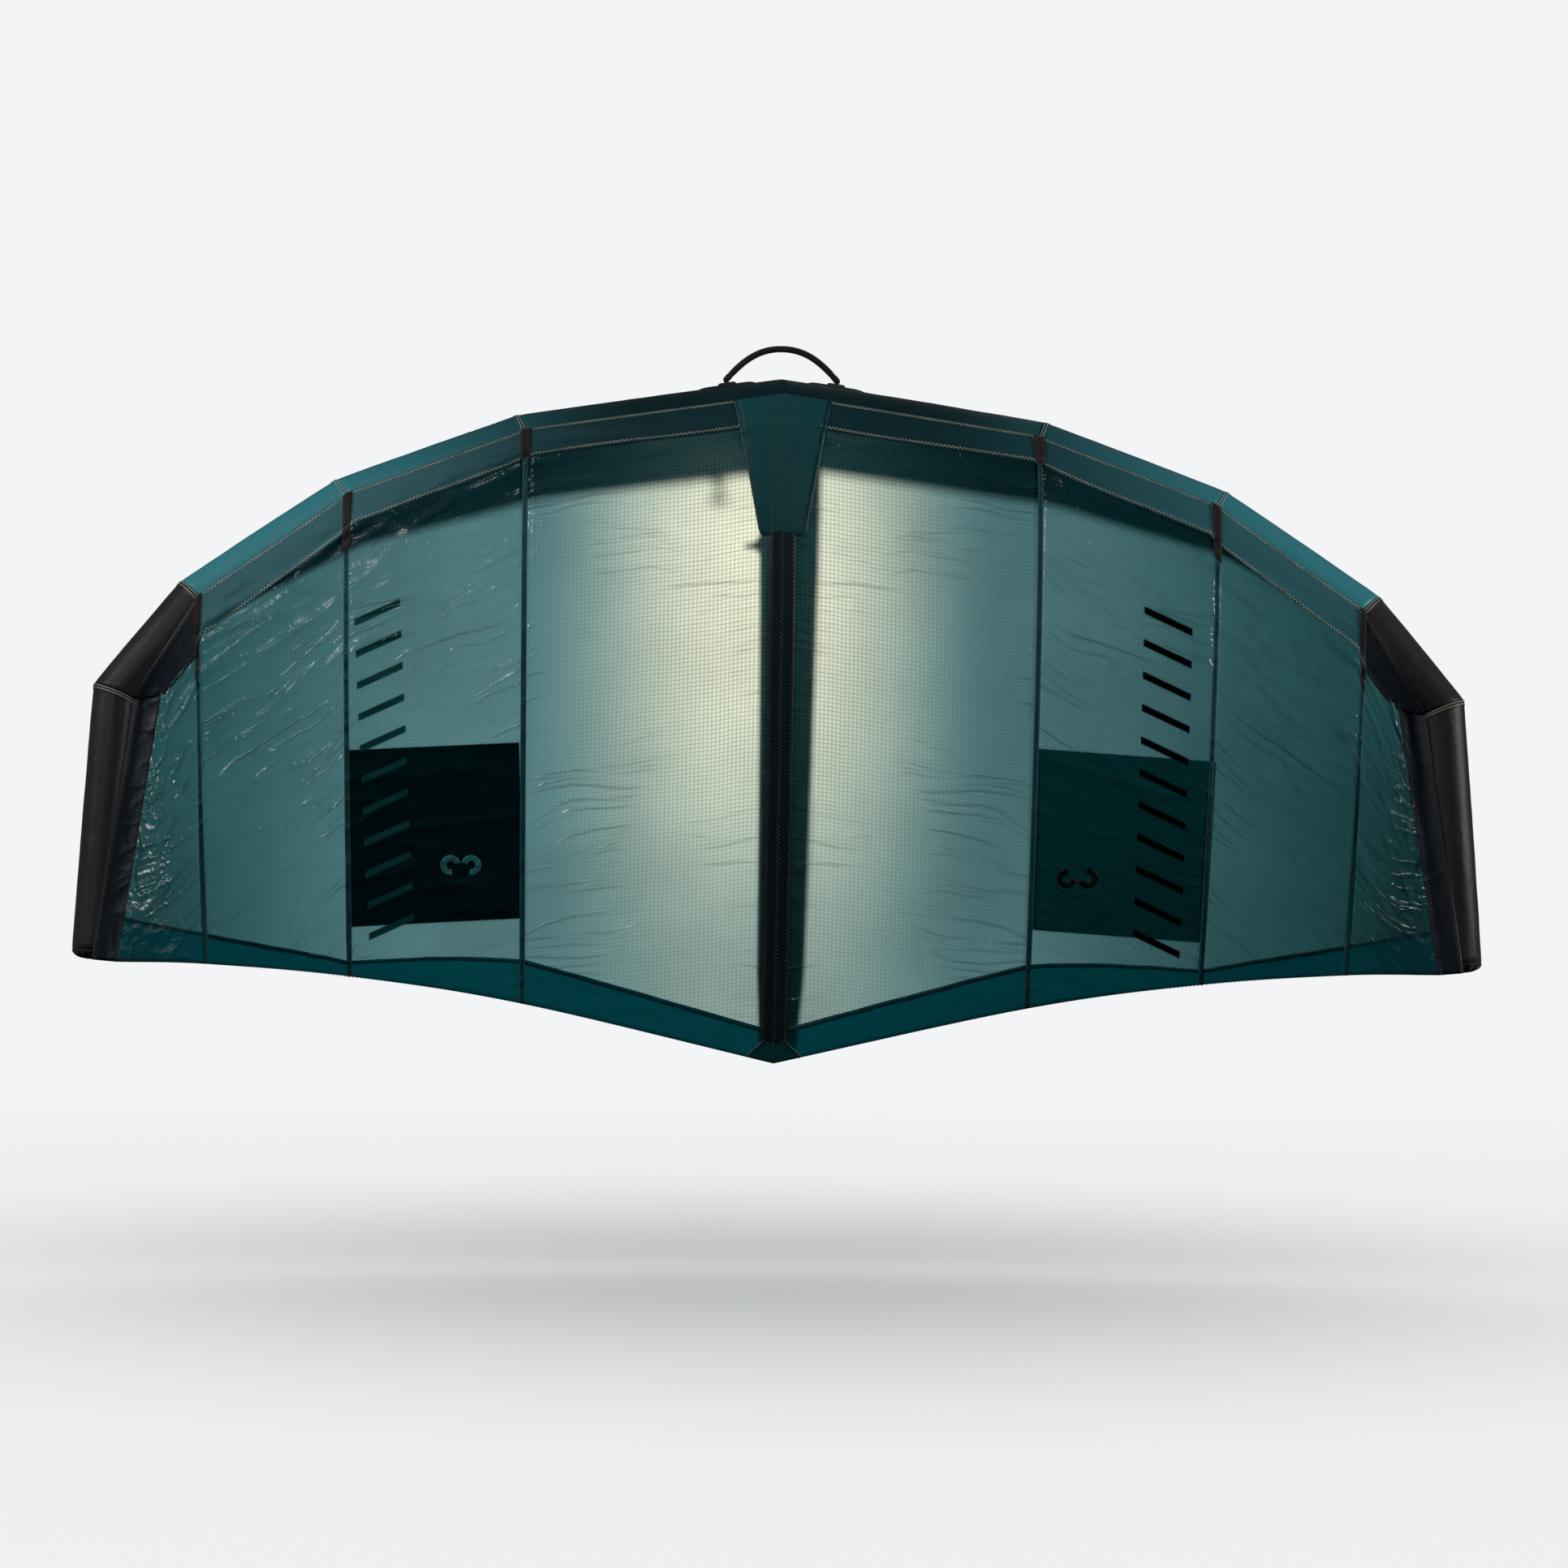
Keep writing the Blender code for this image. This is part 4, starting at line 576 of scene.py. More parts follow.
    def aside(self, station: float, row: float, distance: float) -> float:
        """Return the station that lies a distance along the span from another."""
        column, line, along, down = self.cell(station, row)
        if distance < 0 and along == 0:
            column -= 1
        first, last = self.columns[column], self.columns[column + 1]
        step = self.read(self.points, last, row) - self.read(self.points, first, row)
        return station + distance * (last - first) / step.length

    def beside(self, seam: float, row: float, distance: float) -> float:
        """Return the station at a distance beside a seam, negative across the middle."""
        if seam:
            return self.aside(seam, row, distance)
        return math.copysign(self.aside(0.0, row, abs(distance)), distance)

    def behind(self, station: float, row: float, distance: float) -> float:
        """Return the row that lies a distance along the chord from another."""
        column, line, along, down = self.cell(station, row)
        if distance < 0 and down == 0 and line:
            line -= 1
        first, last = self.rows[line], self.rows[line + 1]
        step = self.read(self.points, station, last) - self.read(self.points, station, first)
        return row + distance * (last - first) / step.length

    def row_after(self, station: float, start: float, distance: float) -> float:
        """Return the row a long distance behind another."""
        row = start
        for _ in range(60):
            row = min(self.behind(station, row, distance / 60), 3.0)
        return row


@dataclass
class StrutForm:
    """The strut's line under the canopy's middle, its radii and directions."""

    cloth: ClothForm
    diameter: float = 0.118
    station_shares: tuple = (0.0, 0.04, 0.45, 0.88, 1.0)
    diameter_shares: tuple = (0.90, 1.0, 0.87, 0.76, 0.60)
    tail: float = 0.036
    gap: float = 0.0009

    def __post_init__(self) -> None:
        """Lay the strut's rings under the cloth."""
        cloth = self.cloth
        last = cloth.behind(0.0, 3.0, -self.tail)
        rows = [0.0, 0.5] + between(cloth.rows, 1.0, last)
        line = [cloth.read(cloth.points, 0.0, row) for row in rows]
        self.distances = lengths_along(line)
        self.length = self.distances[-1]
        self.radii = [self.diameter / 2 * read_at(self.station_shares, distance / self.length,
                                                  self.diameter_shares)[0]
                      for distance in self.distances]
        self.centres, self.runs, self.tops = [], [], []
        for index, (top, row) in enumerate(zip(line, rows)):
            before, after = around(line, index)
            run = (after - before).normalized()
            upward = across(cloth.read(cloth.normals, 0.0, row), run).normalized()
            self.centres.append(top - upward * (self.gap + self.radii[index]))
            self.runs.append(run)
            self.tops.append(upward)

    def station(self, distance: float) -> list:
        """Return the centre, radius, run and upward direction at a distance from the front."""
        return read_at(self.distances, distance, self.centres, self.radii, self.runs, self.tops)

    def skin_point(self, distance: float, angle: float, reach: float) -> Vector:
        """Return a point round the strut, by its angle from the top towards the right side."""
        centre, radius, run, upward = self.station(distance)
        return centre + (upward * math.cos(angle) + SPAN_WAY * math.sin(angle)) * (radius + reach)


# Meshes


def put(name: str, data: bpy.types.ID) -> Piece:
    """Return a new object of the scene."""
    made = bpy.data.objects.new(name, data)
    bpy.context.scene.collection.objects.link(made)
    return made


class Skin:
    """A mesh in the making, with a UV map in metres along the cloth."""

    def __init__(self) -> None:
        """Start with no points and no faces."""
        self.points: list[Vector] = []
        self.faces: list[tuple[int, ...]] = []
        self.places: list[list[tuple[float, float]]] = []

    def grid(self, rows: Grid, closed: bool = False) -> list[list[int]]:
        """Add a net of quads and return its point numbers.

        Args:
            rows: Lines of points, all of one length.
            closed: True where each line is a ring.

        Returns:
            The numbers of the net's points, line by line.
        """
        numbers = []
        for row in rows:
            numbers.append(list(range(len(self.points), len(self.points) + len(row))))
            self.points.extend(row)
        count = len(rows[0])
        along = lengths_along([row[count // 2] for row in rows])
        girths = [lengths_along(row + row[:1]) for row in rows]
        for line in range(len(rows) - 1):
            near, far = numbers[line:line + 2]
            for place in range(count if closed else count - 1):
                after = (place + 1) % count
                self.faces.append((near[place], near[after], far[after], far[place]))
                self.places.append([(along[row], girths[row][spot]) for row, spot in (
                    (line, place), (line, place + 1), (line + 1, place + 1), (line + 1, place))])
        return numbers

    def join(self, first: list[int], last: list[int], closed: bool) -> None:
        """Add one row of quads between two lines of points."""
        count, edge = len(first), 0.001
        for place in range(count if closed else count - 1):
            after = (place + 1) % count
            self.faces.append((first[place], first[after], last[after], last[place]))
            self.places.append([(place * edge, 0.0), (place * edge + edge, 0.0),
                                (place * edge + edge, edge), (place * edge, edge)])

    def close(self, ring: list[int], pole: Vector) -> None:
        """Close a ring with triangles to a pole."""
        number = len(self.points)
        self.points.append(pole)
        for place, start in enumerate(ring):
            self.faces.append((start, ring[(place + 1) % len(ring)], number))
            self.places.append([(0.0, 0.0), (0.001, 0.0), (0.0, 0.001)])

    def finish(self, name: str, finish: Material) -> Piece:
        """Return the finished piece, smooth and with its faces outward."""
        mesh = bpy.data.meshes.new(name)
        mesh.from_pydata([tuple(point) for point in self.points], [], self.faces)
        flat = [value for places in self.places for place in places for value in place]
        mesh.uv_layers.new(name="cloth").data.foreach_set("uv", flat)
        bounds = bmesh.new()
        bounds.from_mesh(mesh)
        bmesh.ops.recalc_face_normals(bounds, faces=bounds.faces)
        bounds.to_mesh(mesh)
        bounds.free()
        mesh.polygons.foreach_set("use_smooth", [True] * len(mesh.polygons))
        mesh.materials.append(finish)
        return put(name, mesh)


def cloth_sheet(name: str, top: Grid, bottom: Grid, finish: Material) -> Piece:
    """Return a thin closed sheet between its top and its bottom net."""
    skin = Skin()
    upper, lower = skin.grid(top), skin.grid(bottom)
    for number in (0, -1):
        skin.join(upper[number], lower[number], False)
        skin.join([row[number] for row in upper], [row[number] for row in lower], False)
    return skin.finish(name, finish)


def cloth_sleeve(name: str, outer: Grid, inner: Grid, finish: Material) -> Piece:
    """Return a sleeve with open ends between its outer and its inner rings."""
    skin = Skin()
    out, within = skin.grid(outer, True), skin.grid(inner, True)
    for number in (0, -1):
        skin.join(out[number], within[number], True)
    return skin.finish(name, finish)


def closed_form(name: str, rings: Grid, poles: list[Vector], finish: Material) -> Piece:
    """Return a closed form of rings with a pole at each end."""
    skin = Skin()
    numbers = skin.grid(rings, True)
    for number, pole in zip((0, -1), poles):
        skin.close(numbers[number], pole)
    return skin.finish(name, finish)


def bowl_form(name: str, nets: list[Grid], poles: list[Vector], finish: Material) -> Piece:
    """Return a thin bowl by its outer and inner rings, its rim first and its poles last."""
    skin = Skin()
    out, within = [skin.grid(net, True) for net in nets]
    skin.join(out[0], within[0], True)
    skin.close(out[-1], poles[0])
    skin.close(within[-1], poles[1])
    return skin.finish(name, finish)


def joined(name: str, parts: list[Piece]) -> Piece:
    """Return the parts as one piece, keeping each part's own finish."""
    mesh = bpy.data.meshes.new(name)
    bounds = bmesh.new()
    finishes: list[Material] = []
    for part in parts:
        start = len(bounds.faces)
        bounds.from_mesh(part.data)
        bounds.faces.ensure_lookup_table()
        finishes += [finish for finish in part.data.materials if finish not in finishes]
        slots = [finishes.index(finish) for finish in part.data.materials]
        for face in bounds.faces[start:]:
            face.material_index = slots[face.material_index]
    bounds.to_mesh(mesh)
    bounds.free()
    for finish in finishes:
        mesh.materials.append(finish)
    for part in parts:
        bpy.data.objects.remove(part)
    return put(name, mesh)


def swept(path: list[Vector], radii: list[float], sides: int, start: Vector) -> Grid:
    """Return rings along a path, from a starting spoke, carried on with the least twist."""
    run = (path[1] - path[0]).normalized()
    spoke = across(start, run).normalized()
    rings = []
    for index, (point, radius) in enumerate(zip(path, radii)):
        before, after = around(path, index)
        ahead = (after - before).normalized()
        spoke = across(run.rotation_difference(ahead) @ spoke, ahead).normalized()
        run = ahead
        side = run.cross(spoke)
        rings.append([point + spoke * (wide * radius) + side * (deep * radius)
                      for wide, deep in oblong(sides)])
    return rings


def declare_cloth(net: Grid) -> None:
    """Work out a sheet's cut size from its net and the share of it that the cloth fills; nothing is
    kept.
    """
    width = max(curve_length([row[place] for row in net]) for place in range(len(net[0])))
    length = max(curve_length(row) for row in net)
    area = 0.0
    for row, after in zip(net, net[1:]):
        for place in range(len(row) - 1):
            first = after[place + 1] - row[place]
            second = after[place] - row[place + 1]
            area += first.cross(second).length / 2
    share = clamp(area / (width * length), 0.31)
    share * width * length


# Node trees


class Wire:
    """The output of a shader node, which sums like a number."""

    def __init__(self, graph: "Graph", socket: bpy.types.NodeSocket) -> None:
        """Keep the socket and its graph."""
        self.graph, self.socket = graph, socket

    def __add__(self, other: object) -> "Wire":
        """Return the sum."""
        return self.graph.math("ADD", self, other)

    def __sub__(self, other: object) -> "Wire":
        """Return the difference."""
        return self.graph.math("SUBTRACT", self, other)

    def __rsub__(self, other: object) -> "Wire":
        """Return the difference from a number."""
        return self.graph.math("SUBTRACT", other, self)

    def __mul__(self, other: object) -> "Wire":
        """Return the product."""
        return self.graph.math("MULTIPLY", self, other)

    def __truediv__(self, other: object) -> "Wire":
        """Return the quotient."""
        return self.graph.math("DIVIDE", self, other)

    def __abs__(self) -> "Wire":
        """Return the value without its sign."""
        return self.graph.math("ABSOLUTE", self)


class Graph:
    """A node tree in the making, with short calls for the nodes used most."""

    def __init__(self, tree: bpy.types.NodeTree) -> None:
        """Keep the tree."""
        self.tree = tree

    def node(self, kind: str, inputs: dict | None = None, **settings: object) -> bpy.types.Node:
        """Add a node, with its settings and its inputs set or linked."""
        made = self.tree.nodes.new(kind)
        for name, value in settings.items():
            setattr(made, name, value)
        for name, value in (inputs or {}).items():
            socket = made.inputs[name]
            if isinstance(value, Wire):
                self.tree.links.new(value.socket, socket)
            elif value is not None:
                socket.default_value = value
        return made

    def wire(self, kind: str, output: str | int = 0, inputs: dict | None = None,
             **settings: object) -> Wire:
        """Add a node and return one of its outputs."""
        return Wire(self, self.node(kind, inputs, **settings).outputs[output])

    def math(self, operation: str, *values: object, clamp: bool = False) -> Wire:
        """Return the result of a sum on values or wires."""
        return self.wire("ShaderNodeMath", 0, dict(enumerate(values)), operation=operation,
                         use_clamp=clamp)

    def vector(self, operation: str, *values: object) -> Wire:
        """Return the result of a sum on vectors."""
        return self.wire("ShaderNodeVectorMath", 0, dict(enumerate(values)), operation=operation)

    def scaled(self, vector: Wire, scale: object) -> Wire:
        """Return a vector times a value."""
        return self.wire("ShaderNodeVectorMath", 0, {0: vector, "Scale": scale}, operation="SCALE")

    def parts(self, place: Wire) -> list[Wire]:
        """Return the three parts of a vector."""
        made = self.node("ShaderNodeSeparateXYZ", {"Vector": place})
        return [Wire(self, socket) for socket in made.outputs]

    def step(self, value: object, low: object, high: object, first: float = 0.0,
             last: float = 1.0) -> Wire:
        """Return a smooth rise from the first to the last value between two limits."""
        return self.wire("ShaderNodeMapRange", "Result",
                         {"Value": value, "From Min": low, "From Max": high, "To Min": first,
                          "To Max": last}, interpolation_type="SMOOTHSTEP")

    def blend(self, share: object, first: object, last: object) -> Wire:
        """Return a mix of two colours."""
        return self.wire("ShaderNodeMix", 2, {0: share, 6: first, 7: last}, data_type="RGBA")

    def noise(self, place: Wire, scale: object, detail: float = 3.0, roughness: float = 0.5,
              output: str = "Fac") -> Wire:
        """Return a noise value, or with the output Color three of them, at a place."""
        return self.wire("ShaderNodeTexNoise", output, {"Vector": place, "Scale": scale,
                                                        "Detail": detail, "Roughness": roughness})

    def warped(self, place: Wire, scale: float, share: float) -> Wire:
        """Return a place shifted by a slow noise."""
        bend = self.noise(place, scale, 2.0, output="Color")
        return self.vector("ADD", place, self.scaled(bend, share))

    def shader(self, kind: str, **inputs: object) -> Wire:
        """Return a shader's output, its inputs named with underscores for spaces."""
        named = {name.replace("_", " "): value for name, value in inputs.items()}
        return self.wire("ShaderNode" + kind, 0, named)

    def either(self, share: object, first: Wire, second: Wire) -> Wire:
        """Return a mix of two shaders."""
        return self.wire("ShaderNodeMixShader", 0, {"Fac": share, 1: first, 2: second})


def clear_graph(owner: Material | bpy.types.World) -> Graph:
    """Return the emptied shader tree of a material or world."""
    owner.use_nodes = True
    owner.node_tree.nodes.clear()
    return Graph(owner.node_tree)


class Thread(Enum):
    """Stitch patterns: half their width, the length of a step, and the thread's radius."""

    ZIGZAG = (0.0026, 0.0038, 0.00075)
    WIDE = (0.0036, 0.0040, 0.00090)
    FINE = (0.0016, 0.0026, 0.00036)
    BOX = (0.0030, 0.0026, 0.00036)
    LOCK = (0.0, 0.0042, 0.00050)


@dataclass
class SeamLine:
    """One line of stitches on a surface.

    Args:
        stitches: The line's points on the surface, each with the normal there.
        thread: The stitch pattern.
        finish: The thread's material.
    """

    stitches: list[tuple[Vector, Vector]]
    thread: Thread
    finish: Material


class StitchTree:
    """The Geometry Nodes tree that lays a thread along lines with a surface normal."""

    def __init__(self) -> None:
        """Build the tree with its named inputs."""
        self.tree = bpy.data.node_groups.new("lay stitches", "GeometryNodeTree")
        kinds = {"Geometry": "Geometry", "Half Width": "Float", "Step": "Float",
                 "Thread Radius": "Float", "Finish": "Material"}
        face = self.tree.interface
        self.sockets = {
            name: face.new_socket(name, in_out="INPUT", socket_type=f"NodeSocket{kind}").identifier
            for name, kind in kinds.items()}
        face.new_socket("Geometry", in_out="OUTPUT", socket_type="NodeSocketGeometry")
        self.build()

    def build(self) -> None:
        """Lay out the nodes: a line, even steps, a swing to each side, a round thread."""
        graph = Graph(self.tree)
        start = graph.node("NodeGroupInput").outputs
        line, half, step, radius, finish = (Wire(graph, socket) for socket in list(start)[:5])
        line = graph.wire("GeometryNodeMeshToCurve", 0, {"Mesh": line})
        line = graph.wire("GeometryNodeResampleCurve", 0, {"Curve": line, "Length": step},
                          mode="LENGTH")
        lift = graph.wire("GeometryNodeInputNamedAttribute", "Attribute", {"Name": "lift"},
                          data_type="FLOAT_VECTOR")
        side = graph.vector("CROSS_PRODUCT", graph.wire("GeometryNodeInputTangent"), lift)
        odd = graph.math("MODULO", graph.wire("GeometryNodeInputIndex"), 2.0)
        swing = graph.math("MULTIPLY_ADD", odd, 2.0, -1.0) * half
        shift = graph.scaled(graph.vector("NORMALIZE", side), swing)
        line = graph.wire("GeometryNodeSetPosition", 0, {"Geometry": line, "Offset": shift})
        ring = graph.wire("GeometryNodeCurvePrimitiveCircle", 0,
                          {"Resolution": 4, "Radius": radius}, mode="RADIUS")
        thread = graph.wire("GeometryNodeCurveToMesh", 0,
                            {"Curve": line, "Profile Curve": ring, "Fill Caps": True})
        real = graph.wire("GeometryNodeRealizeInstances", 0, {"Geometry": thread})
        made = graph.wire("GeometryNodeSetMaterial", 0, {"Geometry": real, "Material": finish})
        graph.node("NodeGroupOutput", {"Geometry": made})

    def lay(self, line: SeamLine) -> Piece:
        """Return one line's thread as a plain mesh."""
        mesh = bpy.data.meshes.new("stitch line")
        edges = [(index, index + 1) for index in range(len(line.stitches) - 1)]
        mesh.from_pydata([tuple(point) for point, lift in line.stitches], edges, [])
        lifts = mesh.attributes.new("lift", "FLOAT_VECTOR", "POINT")
        lifts.data.foreach_set("vector", [value for point, lift in line.stitches for value in lift])
        guide = put("stitch line", mesh)
        tool = guide.modifiers.new("stitches", "NODES")
        tool.node_group = self.tree
        for name, value in zip(("Half Width", "Step", "Thread Radius", "Finish"),
                               (*line.thread.value, line.finish)):
            tool[self.sockets[name]] = value
        graph = bpy.context.evaluated_depsgraph_get()
        plain = bpy.data.meshes.new_from_object(guide.evaluated_get(graph))
        bpy.data.objects.remove(guide)
        if "lift" in plain.attributes:
            plain.attributes.remove(plain.attributes["lift"])
        return put("stitches", plain)


# Shader groups and finishes


def srgb(red: int, green: int, blue: int) -> tuple[float, float, float, float]:
    """Return a screen colour, by its three bytes, as the shader's linear colour."""
    linear = [value / 12.92 if value <= 0.04045 else ((value + 0.055) / 1.055) ** 2.4
              for value in (red / 255, green / 255, blue / 255)]
    return (*linear, 1.0)


class ShaderGroup:
    """A shader node group with named inputs and outputs, built once."""

    name = ""
    inputs: dict[str, object] = {}
    outputs: tuple[str, ...] = ()

    def __init__(self) -> None:
        """Make the group's sockets and its inner nodes."""
        self.tree = bpy.data.node_groups.new(self.name, "ShaderNodeTree")
        face = self.tree.interface
        for name, value in self.inputs.items():
            kind = "NodeSocketVector" if value is None else "NodeSocketFloat"
            socket = face.new_socket(name, in_out="INPUT", socket_type=kind)
            if value is not None:
                socket.default_value = value
        for name in self.outputs:
            face.new_socket(name, in_out="OUTPUT", socket_type="NodeSocketFloat")
        graph = Graph(self.tree)
        start = graph.node("NodeGroupInput").outputs
        results = self.build(graph, *[Wire(graph, start[name]) for name in self.inputs])
        graph.node("NodeGroupOutput", dict(zip(self.outputs, results)))

    def build(self, graph: Graph, *given: Wire) -> tuple:
        """Return the wires of the outputs, from the inputs in their order."""
        raise NotImplementedError

    def place(self, graph: Graph, place: Wire, **values: object) -> list[Wire]:
        """Put the group in a material and return its outputs."""
        made = graph.node("ShaderNodeGroup", node_tree=self.tree)
        for name, value in {"Place": place, **values}.items():
            if isinstance(value, Wire):
                graph.tree.links.new(value.socket, made.inputs[name])
            else:
                made.inputs[name].default_value = value
        return [Wire(graph, socket) for socket in made.outputs]


class RipstopGroup(ShaderGroup):
    """A grid of thicker threads in a thin cloth."""

    name = "ripstop grid"
    inputs = {"Place": None, "Pitch": 0.0081, "Thread": 0.24}
    outputs = ("Lines",)

    def build(self, graph: Graph, place: Wire, pitch: Wire, thread: Wire) -> tuple:
        """Return a mask that is one on the grid's lines."""
        lines = [graph.step(abs(graph.math("FRACT", part / pitch) - 0.5), thread, 0.04)
                 for part in graph.parts(place)[:2]]
        return (graph.math("MAXIMUM", *lines),)


class WeaveGroup(ShaderGroup):
    """A plain weave, thread over thread."""

    name = "plain weave"
    inputs = {"Place": None, "Pitch": 0.0012}
    outputs = ("Height",)

    def build(self, graph: Graph, place: Wire, pitch: Wire) -> tuple:
        """Return the threads' height."""
        first, second = (graph.math("SINE", part / pitch * (2 * math.pi))
                         for part in graph.parts(place)[:2])
        return (graph.math("MULTIPLY_ADD", first * second, 0.5, 0.5),)


class CrinkleGroup(ShaderGroup):
    """Creases and small dents in a coated cloth."""

    name = "crinkles"
    inputs = {"Place": None, "Scale": 22.0, "Sharp": 5.0}
    outputs = ("Height",)

    def build(self, graph: Graph, place: Wire, scale: Wire, sharp: Wire) -> tuple:
        """Return the height of the dents and of the sharp creases between them."""
        soft = graph.noise(graph.warped(place, 6.0, 0.10), scale, 3.0, 0.55)
        crease = graph.math("SUBTRACT", 1.0, abs(soft - 0.5) * sharp, clamp=True)
        return (soft + graph.math("POWER", crease, 3.0) * 0.35,)


class CreaseGroup(ShaderGroup):
    """Long fine creases that run one way over a cloth."""

    name = "long creases"
    inputs = {"Place": None, "Along": 2.4, "Across": 20.0, "Sharp": 12.0}
    outputs = ("Height",)

    def build(self, graph: Graph, place: Wire, along: Wire, across: Wire, sharp: Wire) -> tuple:
        """Return the creases' height."""
        x, y, z = graph.parts(graph.warped(place, 2.0, 0.22))
        long = graph.wire("ShaderNodeCombineXYZ", 0, {"X": x * along, "Y": y * across})
        fold = abs(graph.noise(long, 1.0, 2.0) - 0.5)
        ridge = graph.math("SUBTRACT", 1.0, fold * sharp, clamp=True)
        some = graph.step(graph.noise(place, 3.4, 2.0), 0.43, 0.58)
        return (graph.math("POWER", ridge, 2.0) * some,)


class ShadeGroup(ShaderGroup):
    """Slow changes of tone that handling and sun leave on cloth."""

    name = "slow shade"
    inputs = {"Place": None, "Scale": 2.6}
    outputs = ("Mask", "Specks")

    def build(self, graph: Graph, place: Wire, scale: Wire) -> tuple:
        """Return a broad mask and a fine one."""
        return (graph.step(graph.noise(place, scale, 4.0), 0.32, 0.68),
                graph.step(graph.noise(place, 900.0, 1.0), 0.35, 0.65))


class PanelGroup(ShaderGroup):
    """A slanted four-cornered patch of print with soft ends, by its middle lines."""

    name = "printed patch"
    inputs = {"Place": None, "Left": 0.0, "Right": 1.0, "Bottom": 0.0, "Top": 1.0, "Rise": 0.0,
              "Lean": 0.0, "Blur": 0.002}
    outputs = ("Mask",)

    def build(self, graph: Graph, place: Wire, left: Wire, right: Wire, bottom: Wire, top: Wire,
              rise: Wire, lean: Wire, blur: Wire) -> tuple:
        """Return a mask that is one inside the patch."""
        x, y, z = graph.parts(place)
        along, up = x - z * lean, z - x * rise
        first, second = (graph.math("DIVIDE", graph.math("MINIMUM", value - low, high - value),
                                    blur, clamp=True)
                         for value, low, high in ((along, left, right), (up, bottom, top)))
        return (first * second,)


class BarsGroup(ShaderGroup):
    """Even bars that slant across a patch."""

    name = "slanted bars"
    inputs = {"Place": None, "Pitch": 0.067, "Rise": 0.0, "Share": 0.4, "Start": 0.0}
    outputs = ("Mask",)

    def build(self, graph: Graph, place: Wire, pitch: Wire, rise: Wire, share: Wire, start: Wire
              ) -> tuple:
        """Return a mask that is one on the bars."""
        x, y, z = graph.parts(place)
        turn = graph.math("FRACT", (z - x * rise - start) / pitch)
        return (graph.step(turn, 0.0, 0.05) * graph.step(turn, share + 0.05, share),)


@dataclass(frozen=True)
class Patch:
    """A printed patch: its sides in metres along the span and up, how it slants, its tone."""

    left: float
    right: float
    bottom: float
    top: float
    rise: float
    lean: float
    tone: tuple
    through: tuple


@dataclass(frozen=True)
class Ladder:
    """A ladder of slanted bars within a patch."""

    patch: Patch
    pitch: float
    share: float
    start: float


@dataclass
class Looms:
    """All the shader groups, built once."""

    ripstop: RipstopGroup = field(default_factory=RipstopGroup)
    weave: WeaveGroup = field(default_factory=WeaveGroup)
    crinkle: CrinkleGroup = field(default_factory=CrinkleGroup)
    crease: CreaseGroup = field(default_factory=CreaseGroup)
    shade: ShadeGroup = field(default_factory=ShadeGroup)
    panel: PanelGroup = field(default_factory=PanelGroup)
    bars: BarsGroup = field(default_factory=BarsGroup)


@dataclass(frozen=True)
class Finish:
    """What every finish has: a name, and a way to its material."""

    name: str

    def make(self, looms: Looms) -> Material:
        """Return the material."""
        made = bpy.data.materials.new(self.name)
        graph = clear_graph(made)
        place = graph.wire("ShaderNodeTexCoord", "Object")
        graph.node("ShaderNodeOutputMaterial", {"Surface": self.surface(graph, looms, place)})
        return made

    def surface(self, graph: Graph, looms: Looms, place: Wire) -> Wire:
        """Return the surface's shader."""
        raise NotImplementedError

    def bump(self, graph: Graph, height: Wire, strength: float) -> Wire:
        """Return the normal that a height in metres gives."""
        return graph.wire("ShaderNodeBump", "Normal",
                          {"Height": height, "Strength": strength, "Distance": 1.0})


